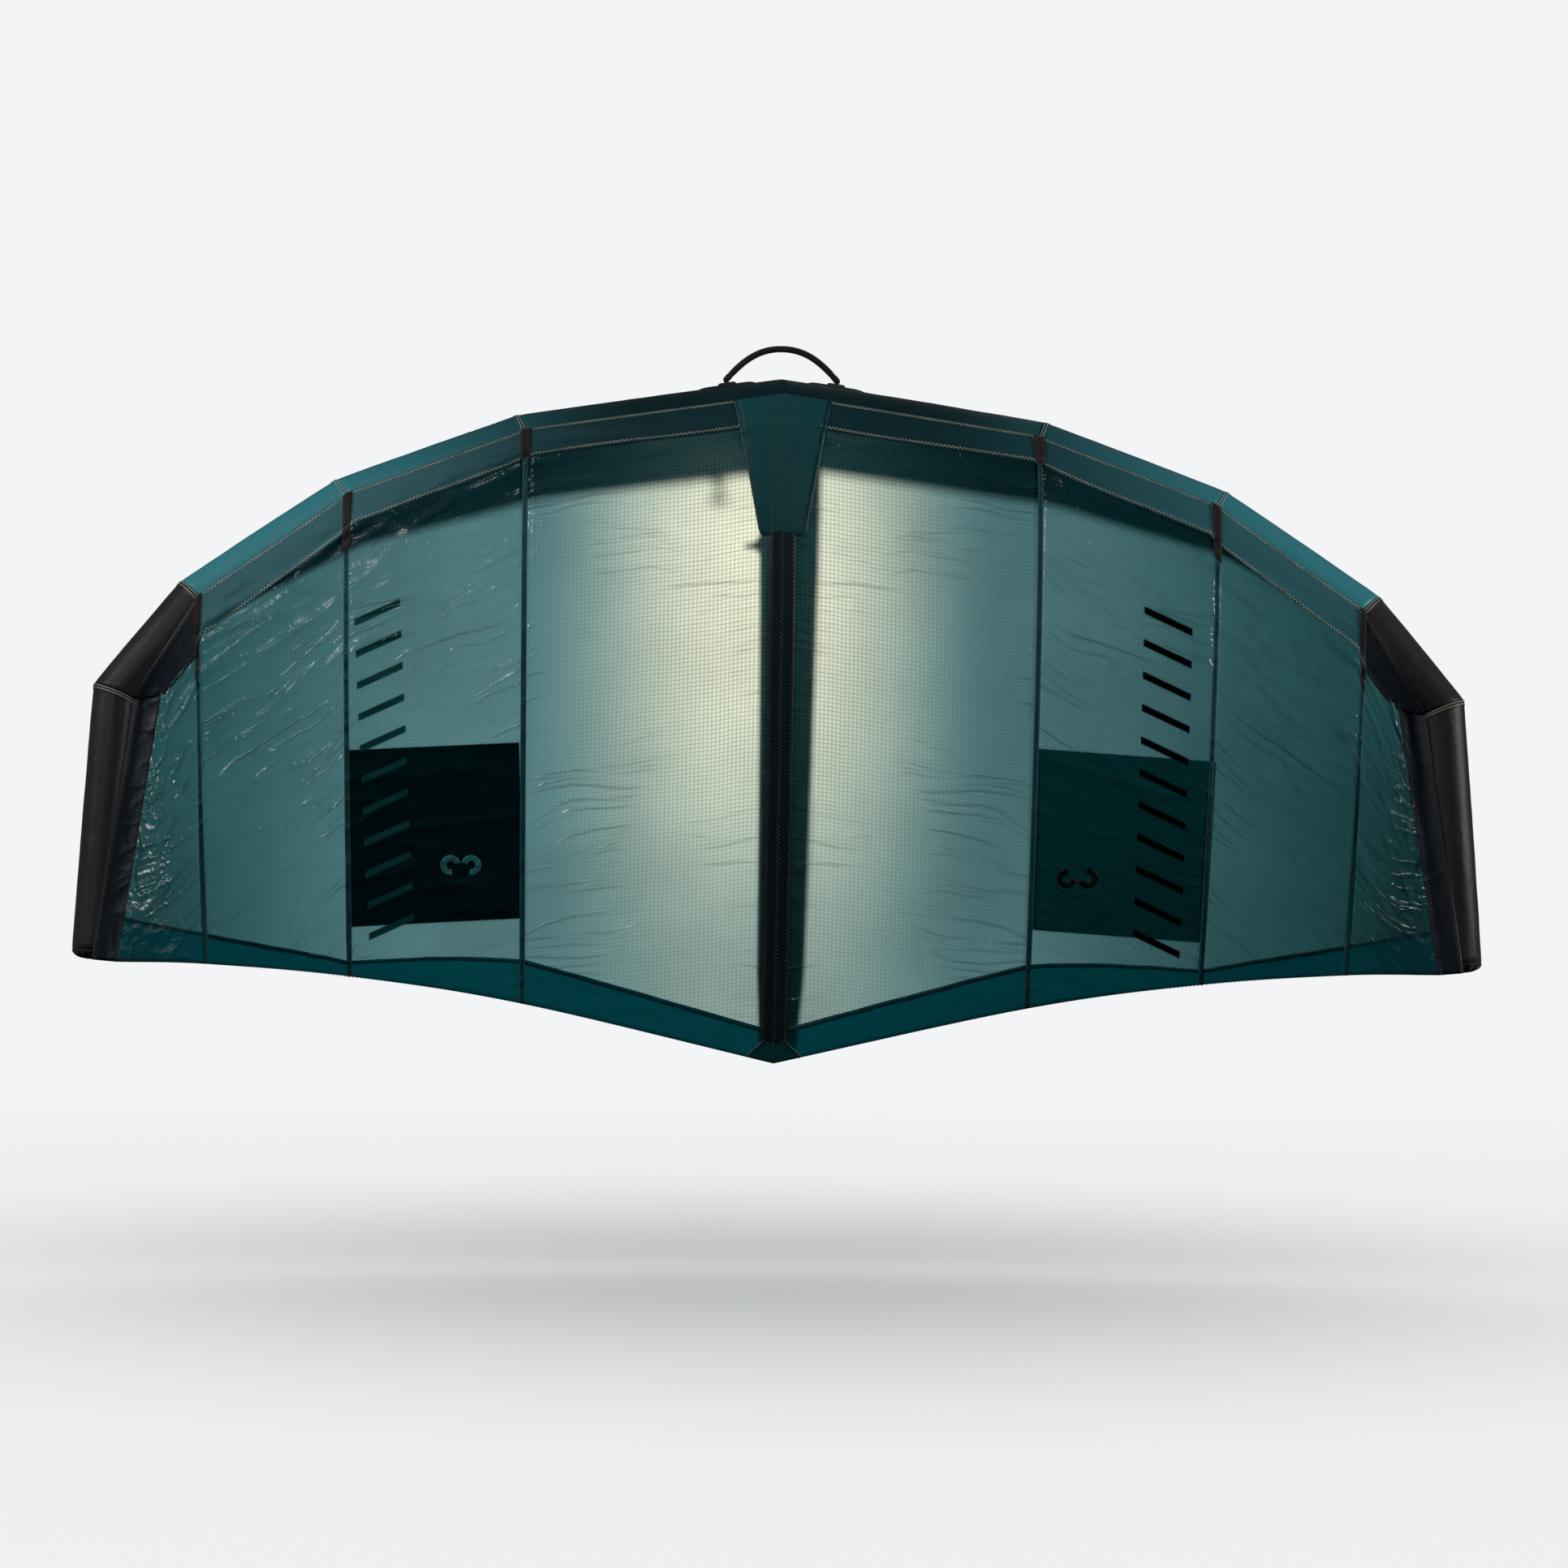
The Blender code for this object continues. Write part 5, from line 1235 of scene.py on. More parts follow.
@dataclass(frozen=True)
class CanopyFinish(Finish):
    """The canopy's thin ripstop cloth, which lets light through.

    Args:
        tones: The cloth's colour at the middle, in the panels and at the tips; the lighter middle and
            the darker tips are painted light.
        through: The colour of the light that passes at the same three places; its cream middle is a
            painted backlight glow and its darker tips are the glow's painted falloff.
        grid: The colour of the thicker threads.
        patches: The printed patches.
        ladders: The printed ladders of bars.
        share: The share of light that passes.
    """

    tones: tuple
    through: tuple
    grid: tuple
    patches: tuple[Patch, ...]
    ladders: tuple[Ladder, ...]
    share: float = 0.75

    def surface(self, graph: Graph, looms: Looms, place: Wire) -> Wire:
        """Return the surface's shader."""
        cloth = graph.wire("ShaderNodeUVMap", "UV", uv_map="cloth")
        grid = looms.ripstop.place(graph, cloth)[0]
        dents = looms.crinkle.place(graph, place, Scale=14.0, Sharp=9.0)[0]
        folds = looms.crease.place(graph, cloth)[0]
        shade = looms.shade.place(graph, place)[0]
        # Painted light: the first mask holds a backlight glow painted into both colours, the second
        # its painted falloff towards the tips; the grid shows more strongly inside the painted glow.
        near, far = self.painted_glow_masks(graph, place)
        threads = grid * graph.math("MULTIPLY_ADD", near, 0.20, 0.10)
        colours = []
        for (middle, panels, tips), dull in ((self.tones, 0.15), (self.through, 0.10)):
            colour = graph.blend(far, graph.blend(near, panels, middle), tips)
            colour = graph.blend(shade * dull, colour, self.grid)
            colours.append(graph.blend(threads, colour, self.grid))
        printed = 0.0
        prints = [(patch, self.mask(graph, looms, place, patch)) for patch in self.patches]
        for patch, mask in prints:
            printed = graph.math("MAXIMUM", printed, mask)
        for ladder in self.ladders:
            bars = looms.bars.place(graph, place, Pitch=ladder.pitch, Share=ladder.share,
                                    Rise=ladder.patch.rise, Start=ladder.start)[0]
            prints.append((ladder.patch, self.mask(graph, looms, place, ladder.patch) * bars))
        for patch, mask in prints:
            colours = [graph.blend(mask, colour, print_tone)
                       for colour, print_tone in zip(colours, (patch.tone, patch.through))]
        height = (dents * 0.0013 + grid * 0.00005
                  + folds * graph.math("MULTIPLY_ADD", printed, -0.0022, 0.0030))
        normal = self.bump(graph, height, 1.0)
        skin = graph.shader("BsdfPrincipled", Base_Color=colours[0], Normal=normal, IOR=1.6,
                            Roughness=graph.math("MULTIPLY_ADD", shade, 0.08, 0.17))
        clear = graph.shader("BsdfTranslucent", Color=colours[1], Normal=normal)
        return graph.either(self.share, skin, clear)

    def mask(self, graph: Graph, looms: Looms, place: Wire, patch: Patch) -> Wire:
        """Return the mask of one printed patch."""
        return looms.panel.place(graph, place, Left=patch.left, Right=patch.right,
                                 Bottom=patch.bottom, Top=patch.top, Rise=patch.rise,
                                 Lean=patch.lean)[0]

    def painted_glow_masks(self, graph: Graph, place: Wire) -> tuple[Wire, Wire]:
        """Return the soft masks of the painted backlight glow in the middle and of its painted
        falloff towards the tips.
        """
        x, y, z = graph.parts(place)
        # The painted glow fades towards the trailing edge, and both masks sit a little left of the
        # middle, where the painted glow is brighter.
        low = graph.step(z, -1.30, -0.50, 0.35, 1.0)
        return (graph.step(abs(x + 0.04), 0.47, 0.06) * low,
                graph.step(abs(x + 0.08), 0.50, 1.25))


class Pattern(Enum):
    """The pitch of a cloth's threads, in metres."""

    WOVEN = 0.0011
    COARSE = 0.0019


@dataclass(frozen=True)
class ClothFinish(Finish):
    """A coated or woven cloth.

    Args:
        colour: The cloth's colour.
        worn: The colour that slow changes lead to.
        roughness: How dull the cloth is.
        sheen: The weight of its sheen.
        crinkle: The height of its dents, in metres.
        pattern: How its threads run.
        scale: How many dents there are in a metre.
        through: The share of light that passes, for a thin cloth.
        light: The colour of the light that passes.
        outer: A lighter colour painted towards the tips, where one is given: painted light from the
            side lamps on the outer runs.
    """

    colour: tuple
    worn: tuple
    roughness: float = 0.5
    sheen: float = 0.05
    crinkle: float = 0.001
    pattern: Pattern = Pattern.WOVEN
    scale: float = 18.0
    through: float = 0.0
    light: tuple = (0.0, 0.0, 0.0, 1.0)
    outer: tuple = ()

    def surface(self, graph: Graph, looms: Looms, place: Wire) -> Wire:
        """Return the surface's shader."""
        cloth = graph.wire("ShaderNodeUVMap", "UV", uv_map="cloth")
        shade, specks = looms.shade.place(graph, place)
        tone = graph.blend(shade * 0.7, self.colour, self.worn)
        # Painted light: the tone lightens towards the tips, where the side lamps light the outer
        # runs.
        if self.outer:
            tone = graph.blend(graph.step(abs(graph.parts(place)[0]), 0.25, 0.95), tone,
                               self.outer)
        threads = looms.weave.place(graph, cloth, Pitch=self.pattern.value)[0]
        # Painted shade: the cloth is darker in the hollows between the woven threads.
        tone = graph.blend((1.0 - threads) * 0.22, tone, srgb(4, 8, 10))
        dents = looms.crinkle.place(graph, place, Scale=self.scale)[0]
        folds = looms.crease.place(graph, cloth, Along=3.0, Across=16.0)[0]
        height = dents * self.crinkle + folds * (self.crinkle * 0.5) + threads * 0.00008
        normal = self.bump(graph, height, 0.8)
        rough = graph.math("MULTIPLY_ADD", specks, 0.10, self.roughness - 0.05)
        skin = graph.shader("BsdfPrincipled", Base_Color=tone, Roughness=rough, Normal=normal,
                            Sheen_Weight=self.sheen, Sheen_Roughness=0.45,
                            Specular_IOR_Level=0.10)
        if not self.through:
            return skin
        clear = graph.shader("BsdfTranslucent", Color=self.light, Normal=normal)
        return graph.either(self.through, skin, clear)


@dataclass(frozen=True)
class ThreadFinish(Finish):
    """Twisted polyester thread."""

    colour: tuple
    worn: tuple

    def surface(self, graph: Graph, looms: Looms, place: Wire) -> Wire:
        """Return the surface's shader."""
        shade = looms.shade.place(graph, place, Scale=30.0)[0]
        fine = graph.wire("ShaderNodeMapping", 0, {"Vector": place,
                                                   "Scale": (2400.0, 900.0, 2400.0)})
        normal = self.bump(graph, graph.noise(fine, 1.0, 1.0) * 0.0001, 0.6)
        return graph.shader("BsdfPrincipled", Normal=normal, Roughness=0.6,
                            Base_Color=graph.blend(shade, self.colour, self.worn),
                            Specular_IOR_Level=0.15)


@dataclass(frozen=True)
class MouldedFinish(Finish):
    """Moulded plastic, foam or film, by its roughness, grain and clearness."""

    colour: tuple
    worn: tuple
    roughness: float = 0.45
    grain: float = 0.00005
    grain_scale: float = 1400.0
    clear: float = 0.0
    milky: float = 0.0

    def surface(self, graph: Graph, looms: Looms, place: Wire) -> Wire:
        """Return the surface's shader."""
        shade, specks = looms.shade.place(graph, place, Scale=24.0)
        normal = self.bump(graph, graph.noise(place, self.grain_scale, 2.0) * self.grain, 0.7)
        skin = graph.shader("BsdfPrincipled", Normal=normal, IOR=1.45,
                            Base_Color=graph.blend(shade, self.colour, self.worn),
                            Roughness=graph.math("MULTIPLY_ADD", specks, 0.08, self.roughness),
                            Transmission_Weight=self.clear)
        if not self.milky:
            return skin
        return graph.either(self.milky, skin, graph.shader("BsdfTranslucent", Color=self.colour))


# Sub-assemblies


@dataclass
class Workshop:
    """What every sub-assembly works with: the forms, the finishes and the stitch tree."""

    tube: TubeForm
    cloth: ClothForm
    strut: StrutForm
    finishes: dict[str, Material]
    stitches: StitchTree
    seams: dict[Body, list[SeamLine]] = field(default_factory=dict)

    def sew(self, body: Body, stitches: list[tuple[Vector, Vector]], thread: Thread, finish: str
            ) -> None:
        """Keep one line of stitches, to be laid at the end."""
        self.seams.setdefault(body, []).append(SeamLine(stitches, thread, self.finishes[finish]))

    def sew_cloth(self, places: list[tuple[float, float, float]], side: Side, thread: Thread,
                  finish: str) -> None:
        """Sew through places of the canopy, each a station, a row and a height."""
        cloth = self.cloth
        stitches = [(cloth.place(station, row, height + THREAD_LIFT, side),
                     cloth.normal(station, row, side)) for station, row, height in places]
        self.sew(Body.WING, stitches, thread, finish)

    def sew_along(self, seam: float, offsets: list[float], rows: list[float], cloth: float,
                  thread: Thread, finish: str, side: Side) -> None:
        """Sew along a band of trim of a thickness, at a distance beside its seam for each row."""
        places = [(self.cloth.beside(seam, row, offset), row, layer_top(row) + cloth)
                  for row, offset in zip(rows, offsets)]
        self.sew_cloth(places, side, thread, finish)

    def settle(self, piece: Piece, body: Body, slot: str, *nodes: str) -> None:
        """Make a piece ride on its body and stand for its nodes."""
        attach(piece, body.value)
        if nodes:
            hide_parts(*nodes)
        LOG.info("%s: %d faces", piece.name, len(piece.data.polygons))

    def lay(self, name: str, nets: list[Grid], finish: str, node: str, slot: str = "") -> None:
        """Put a sheet of cloth on the wing, by its top and bottom nets.

        Args:
            name: The piece's name.
            nets: Its top net and its bottom net.
            finish: Its finish.
            node: The CAD solid that it stands for.
            slot: Its slot, where that isn't named as the finish; not used.
        """
        made = cloth_sheet(name, *nets, self.finishes[finish])
        self.settle(made, Body.WING, slot or finish, node)
        declare_cloth(nets[0])

    def trim(self, name: str, node: str, seam: float, halves: list[float], rows: list[float],
             cloth: float, finish: str, slot: str, side: Side, steps: int = 4) -> None:
        """Put a band of trim over a seam.

        Args:
            name: The piece's name.
            node: The CAD solid that it stands for.
            seam: The seam's station.
            halves: Half the band's width at each row.
            rows: The rows that it runs through.
            cloth: Its thickness.
            finish: Its finish.
            slot: Its slot; not used.
            side: The half of the wing.
            steps: How many faces it is wide.
        """
        form = self.cloth
        nets = [[], []]
        for row, half in zip(rows, halves):
            upper, lower = [], []
            for step in range(steps + 1):
                station = form.beside(seam, row, mix(-half, half, step / steps))
                edge = 0.25 * cloth if step in (0, steps) else 0.0
                base = layer_top(row)
                upper.append(form.place(station, row, base + cloth - edge, side))
                lower.append(form.place(station, row, base, side))
            nets[0].append(upper)
            nets[1].append(lower)
        self.lay(name, nets, finish, node, slot)


def layer_top(row: float) -> float:
    """Return how high the cloth under a trim stands at a row."""
    front, back = clamp((1.10 - row) / 0.06), clamp((row - 1.96) / 0.03)
    return HALF_CLOTH + 0.0001 + (STRIP_LIFT + 0.0001) * max(front, back)


@dataclass
class Dome:
    """A domed cap of cloth on a tube's end, with small pleats round its rim.

    Args:
        base: The middle of its rim.
        along: The direction of its height.
        spokes: Two directions across.
        radius: The rim's outer radius.
        sides: How many points a ring has.
        rings: How many rings there are.
        pleats: How many pleats go round.
        pleat: The pleats' height.
        pleat_rise: The share of it that they also rise.
        stitch_lift: How high its stitches lie.
        side: The half of the wing.
        flatness: The dome's height as a share of its radius.
    """

    base: Vector
    along: Vector
    spokes: tuple[Vector, Vector]
    radius: float
    sides: int
    rings: int
    pleats: int
    pleat: float
    pleat_rise: float
    stitch_lift: float
    side: Side = Side.RIGHT
    flatness: float = 0.4

    def build(self, shop: Workshop, name: str, node: str) -> None:
        """Build the dome and the line of stitches along its rim."""
        nets, poles = [], []
        for inset in (0.0, SLEEVE_CLOTH):
            height = self.radius * self.flatness - inset
            nets.append([self.ring(QUARTER * index / self.rings, self.radius - inset, height)
                         for index in range(self.rings)])
            poles.append(self.side.turn(self.base + self.along * height))
        made = bowl_form(name, nets, poles, shop.finishes["sleeve_black"])
        shop.settle(made, Body.WING, "sleeve_black", node)
        centre, along = self.side.turn(self.base), self.side.turn(self.along)
        stitches = []
        for point in nets[0][1] + nets[0][1][:1]:
            lift = across(point - centre, along).normalized()
            stitches.append((point + lift * self.stitch_lift, lift))
        shop.sew(Body.WING, stitches, Thread.LOCK, "thread_dark")

    def ring(self, lift: float, radius: float, height: float) -> list[Vector]:
        """Return the ring at an angle above the rim."""
        first, second = self.spokes
        ring = []
        for turn in turns(self.sides):
            wave = math.cos(turn * self.pleats) * self.pleat * math.sin(2 * lift)
            spoke = first * math.cos(turn) + second * math.sin(turn)
            rise = height * math.sin(lift) + wave * self.pleat_rise
            ring.append(self.side.turn(self.base + self.along * rise
                                       + spoke * (radius * math.cos(lift) + wave)))
        return ring


@dataclass
class TubeSleeve:
    """The leading edge's cloth sleeve: ten bent panels, felled seams and two domed caps."""

    shop: Workshop
    sides: int = 96
    steps: int = 40
    seam_gap: float = 0.0003
    belly: float = 0.0016
    fell_width: float = 0.0095
    fell_height: float = 0.0009
    fell_lines: tuple = (0.0022, 0.0075)
    fell_fall: float = 8.0
    pucker: float = 0.0013
    pucker_reach: float = 0.05
    dent: float = 0.00045
    dent_scale: float = 17.0

    def build(self) -> None:
        """Build the panels and caps of both sides."""
        tube = self.shop.tube
        base = tube.centres[tube.tip] + tube.runs[-1] * self.seam_gap
        for side in Side:
            for run in range(tube.tip):
                self.build_panel(run, side)
            dome = Dome(base, tube.runs[-1], tube.frames[-1], tube.radii[tube.tip], self.sides,
                        14, 12, 0.0011, 0.5, 0.0006, side)
            dome.build(self.shop, f"tip_dome_{side.word}", f"tip_cap_{side.word}")

    def height(self, run: int, share: float, turn: float, point: Vector, side: Side) -> float:
        """Return the sleeve's height over its straight form: belly, seams, puckers and dents."""
        tube = self.shop.tube
        length = (tube.centres[run + 1] - tube.centres[run]).length
        lift = self.belly * math.sin(math.pi * share) ** 0.5 if 0 < share < 1 else 0.0
        for kink, distance in ((run, share * length), (run + 1, (1 - share) * length)):
            if kink == 0:
                continue
            near = distance / self.fell_width
            if run == kink:
                lift += self.fell_height * (1 if near < 1 else math.exp(-(near - 1) * self.fell_fall))
            folds = noise.noise(Vector((turn * 9.0, kink * 3.1, side.value * 2.0)))
            lift += self.pucker * folds * math.exp(-distance / self.pucker_reach) * min(near, 1)
        dents = noise.fractal(side.turn(point) * self.dent_scale, 0.8, 2.0, 3)
        ends = min(share * length, (1 - share) * length) / 0.01
        return lift + self.dent * dents * min(ends, 1)

    def ring(self, run: int, share: float, reach: float, side: Side) -> list[Vector]:
        """Return one ring of a panel, at a distance outside its skin."""
        tube = self.shop.tube
        ring = []
        for turn in turns(self.sides):
            lift = self.height(run, share, turn, tube.skin(run, share, turn, 0.0), side)
            ring.append(side.turn(tube.skin(run, share, turn, reach + lift)))
        return ring

    def build_panel(self, run: int, side: Side) -> None:
        """Build one straight panel between two mitres."""
        tube = self.shop.tube
        length = (tube.centres[run + 1] - tube.centres[run]).length
        places = sorted({0.0, 1.0, self.fell_width / length, self.fell_width * 1.35 / length}
                        | set(shares(self.steps)[1:-1]))
        edge = self.seam_gap / length
        outer, inner = ([self.ring(run, mix(edge, 1 - edge, place), reach, side)
                         for place in places] for reach in (0.0, -SLEEVE_CLOTH))
        finish = "sleeve_teal" if run < tube.tip - 2 else "sleeve_black"
        made = cloth_sleeve(f"sleeve_{side.word}_{run + 1}", outer, inner,
                            self.shop.finishes[finish])
        self.shop.settle(made, Body.WING, finish, f"leading_edge_panel_{side.word}_{run + 1}")
        declare_cloth([ring + ring[:1] for ring in outer])
        if run:
            self.sew_fell(outer, side.turn(tube.centres[run]))

    def sew_fell(self, rings: Grid, centre: Vector) -> None:
        """Lay the two lines of stitches along a felled seam."""
        for inset in self.fell_lines:
            stitches = []
            for first, second in zip(rings[0] + rings[0][:1], rings[1] + rings[1][:1]):
                way = (second - first).normalized()
                point = first + way * inset
                lift = across(point - centre, way).normalized()
                stitches.append((point + lift * THREAD_LIFT * 2, lift))
            self.shop.sew(Body.WING, stitches, Thread.LOCK, "thread_cream")


@dataclass
class CanopySkin:
    """The canopy: its panels, the strips round its edges and their seams."""

    shop: Workshop
    seam_gap: float = 0.00015
    tip_start: float = 1.2
    tip_step: float = 0.012
    tip_depth: float = 0.05
    tip_wrinkle: float = 0.6

    def build(self) -> None:
        """Build both halves."""
        cloth = self.shop.cloth
        for side in Side:
            for seam in range(cloth.seams):
                self.build_panel(seam, side)
            columns = between(cloth.columns, 0.0, 3.0)[:-1] + [cloth.aside(3.0, 0.5, -0.0002)]
            rows = between(cloth.rows, 0.0, 1.0) + [cloth.behind(0.0, 1.0, LAP)]
            self.build_piece(f"edge_strip_{side.word}", f"leading_edge_strip_{side.word}", columns,
                             rows, [self.strip_lift(row) for row in rows], "edge_teal", side)
            rows = [cloth.behind(0.0, 2.0, -LAP)] + between(cloth.rows, 2.0, 3.0)
            self.build_piece(f"edge_band_{side.word}", f"trailing_edge_band_{side.word}",
                             between(cloth.columns, 0.0, float(cloth.seams)), rows,
                             [STRIP_LIFT] * len(rows), "band_teal", side)
            self.build_tip(side)
            self.sew_edges(side)

    def strip_lift(self, share: float) -> float:
        """Return how high a strip's middle stands, a share of the way across it."""
        return STRIP_LIFT * clamp((share - 0.6) / 0.35)

    def build_piece(self, name: str, node: str, columns: list[float], rows: list[float],
                    lifts: list[float], finish: str, side: Side, slot: str = "edge_teal") -> None:
        """Build a piece of the canopy.

        Args:
            name: The piece's name.
            node: The CAD solid that it stands for.
            columns: The stations of its lines.
            rows: The rows of its points.
            lifts: The height of its middle at each row.
            finish: Its finish.
            side: The half of the wing.
            slot: Its slot; not used.
        """
        cloth = self.shop.cloth
        nets = [[[cloth.place(column, row, lift + half, side) for row, lift in zip(rows, lifts)]
                 for column in columns] for half in (HALF_CLOTH, -HALF_CLOTH)]
        self.shop.lay(name, nets, finish, node, slot)

    def build_panel(self, seam: int, side: Side) -> None:
        """Build one panel between two seams, its ends under the strip and the band."""
        cloth = self.shop.cloth
        first, last = cloth.aside(float(seam), 1.5, self.seam_gap), float(seam + 1)
        if seam + 1 < cloth.seams:
            last = cloth.aside(last, 1.5, -self.seam_gap)
        rows = between(cloth.rows, cloth.behind(float(seam), 1.0, -LAP * 0.4),
                       cloth.behind(float(seam), 2.0, LAP * 0.4))
        self.build_piece(f"canopy_cloth_{side.word}_{seam + 1}",
                         f"canopy_panel_{side.word}_{seam + 1}",
                         between(cloth.columns, first, last), rows, [0.0] * len(rows),
                         "canopy_teal", side, "canopy_teal")

    def tip_lines(self) -> Grid:
        """Return the tip strip's lines on the right half, from the seam round to the end."""
        cloth, tube = self.shop.cloth, self.shop.tube
        first, last = float(cloth.seams - 1), float(cloth.seams)
        across_rows = between(cloth.rows, 0.0, 1.0)
        lines = [[cloth.read(cloth.points, column, row) for row in across_rows]
                 for column in between(cloth.columns, cloth.aside(first, 0.0, 0.0003), last)]
        hem = [cloth.read(cloth.points, last, row) for row in between(cloth.rows, 1.0, 3.0)]
        whole = curve_length(hem)
        run_length = (tube.centres[tube.tip] - tube.centres[tube.tip - 1]).length
        travelled = 0.0
        for before, point in zip(hem, hem[1:]):
            travelled += (point - before).length / whole
            share = travelled * (run_length + cloth.overhang) / run_length
            start, heading, run = tube.leaving(tube.tip - 1 + min(share, 1))
            start = start + run * max(share - 1, 0) * run_length
            middle = start + heading * (point - start).length / 2
            lines.append([bezier(start, mix(start, middle, 2 / 3), mix(point, middle, 2 / 3),
                                 point, place) for place in across_rows])
        return lines

    def tip_wrinkles(self, index: int, share: float, depth: float, side: Side) -> float:
        """Return the wrinkles' height on a line of the tip strip, at a depth from the tube."""
        travel = (index * self.tip_step + self.tip_start, depth, 0.3)
        return self.shop.cloth.wrinkles.height(travel, share, side.value) * self.tip_wrinkle

    def build_tip(self, side: Side) -> None:
        """Build the navy strip round a tip, lapped over the last panel."""
        lines = self.tip_lines()
        normals = net_normals(lines)
        nets = []
        for half in (HALF_CLOTH, -HALF_CLOTH):
            net = []
            for index, (line, lifts) in enumerate(zip(lines, normals)):
                points = []
                for share, point, lift in zip(shares(len(line) - 1), line, lifts):
                    rise = half + self.strip_lift(share)
                    rise += self.tip_wrinkles(index, share, share * self.tip_depth, side)
                    points.append(side.turn(point + lift * rise))
                rise = half + STRIP_LIFT + self.tip_wrinkles(index, 1.0, 0.055, side)
                edge = line[-1] + (line[-1] - line[-2]).normalized() * LAP * 0.7
                net.append(points + [side.turn(edge + lifts[-1] * rise)])
            nets.append(net)
        self.shop.lay(f"tip_cloth_{side.word}", nets, "strip_navy", f"tip_strip_{side.word}")
        for share, height in ((0.1, 0.0), (1.0, STRIP_LIFT)):
            stitches = []
            for index, (line, lifts) in enumerate(zip(lines, normals)):
                place = round(share * (len(line) - 1))
                rise = HALF_CLOTH + THREAD_LIFT + height
                rise += self.tip_wrinkles(index, share, share * self.tip_depth, side)
                stitches.append((side.turn(line[place] + lifts[place] * rise),
                                 side.turn(lifts[place])))
            self.shop.sew(Body.WING, stitches, Thread.WIDE, "thread_brown")

    def sew_edges(self, side: Side) -> None:
        """Lay the zigzag lines along the strip, the band and the hem."""
        for row, last, thread, finish, lift in (
                (0.08, 3.0, Thread.ZIGZAG, "thread_cream", 0.0),
                (1.0, 3.0, Thread.ZIGZAG, "thread_cream", STRIP_LIFT),
                (2.0, 4.0, Thread.ZIGZAG, "thread_dark", STRIP_LIFT),
                (2.93, 4.0, Thread.WIDE, "thread_dark", STRIP_LIFT)):
            places = [(column, row, HALF_CLOTH + lift)
                      for column in between(self.shop.cloth.columns, 0.0, last)]
            self.shop.sew_cloth(places, side, thread, finish)


@dataclass
class SeamTrim:
    """The tapes and webbing tabs over the canopy's seams."""

    shop: Workshop
    tape_width: float = 0.011
    tab_width: float = 0.021
    tab_cloth: float = 0.0020
    tab_lengths: tuple = (1.05, 1.6, 1.75)
    tab_lines: tuple = (-0.0058, -0.0052, 0.0052, 0.0058)

    def build(self) -> None:
        """Build the trim of each seam on both sides."""
        shop, cloth = self.shop, self.shop.cloth
        for side in Side:
            for number, length in enumerate(self.tab_lengths, start=1):
                seam = float(number)
                strip = cloth.strip_width * cloth.strip_shares[number]
                end = cloth.row_after(seam, 1.0, strip * (length - 1))
                rows = between(cloth.rows, TRIM_FRONT, end)
                shop.trim(f"webbing_tab_{side.word}_{number}", f"load_tab_{side.word}_{number}",
                          seam, [self.tab_width / 2] * len(rows), rows, self.tab_cloth,
                          "webbing_black", "webbing_black", side)
                for offset in self.tab_lines:
                    shop.sew_along(seam, [offset] * len(rows), rows, self.tab_cloth, Thread.BOX,
                                   "thread_rust", side)
                rows = between(cloth.rows, cloth.behind(seam, end, -TRIM_LAP), TRIM_BACK)
                shop.trim(f"tape_{side.word}_{number}", f"seam_tape_{side.word}_{number}", seam,
                          [self.tape_width / 2] * len(rows), rows, TRIM_CLOTH, "tape_teal",
                          "edge_teal", side)
                shop.sew_along(seam, [0.0] * len(rows), rows, TRIM_CLOTH, Thread.WIDE,
                               "thread_dark", side)


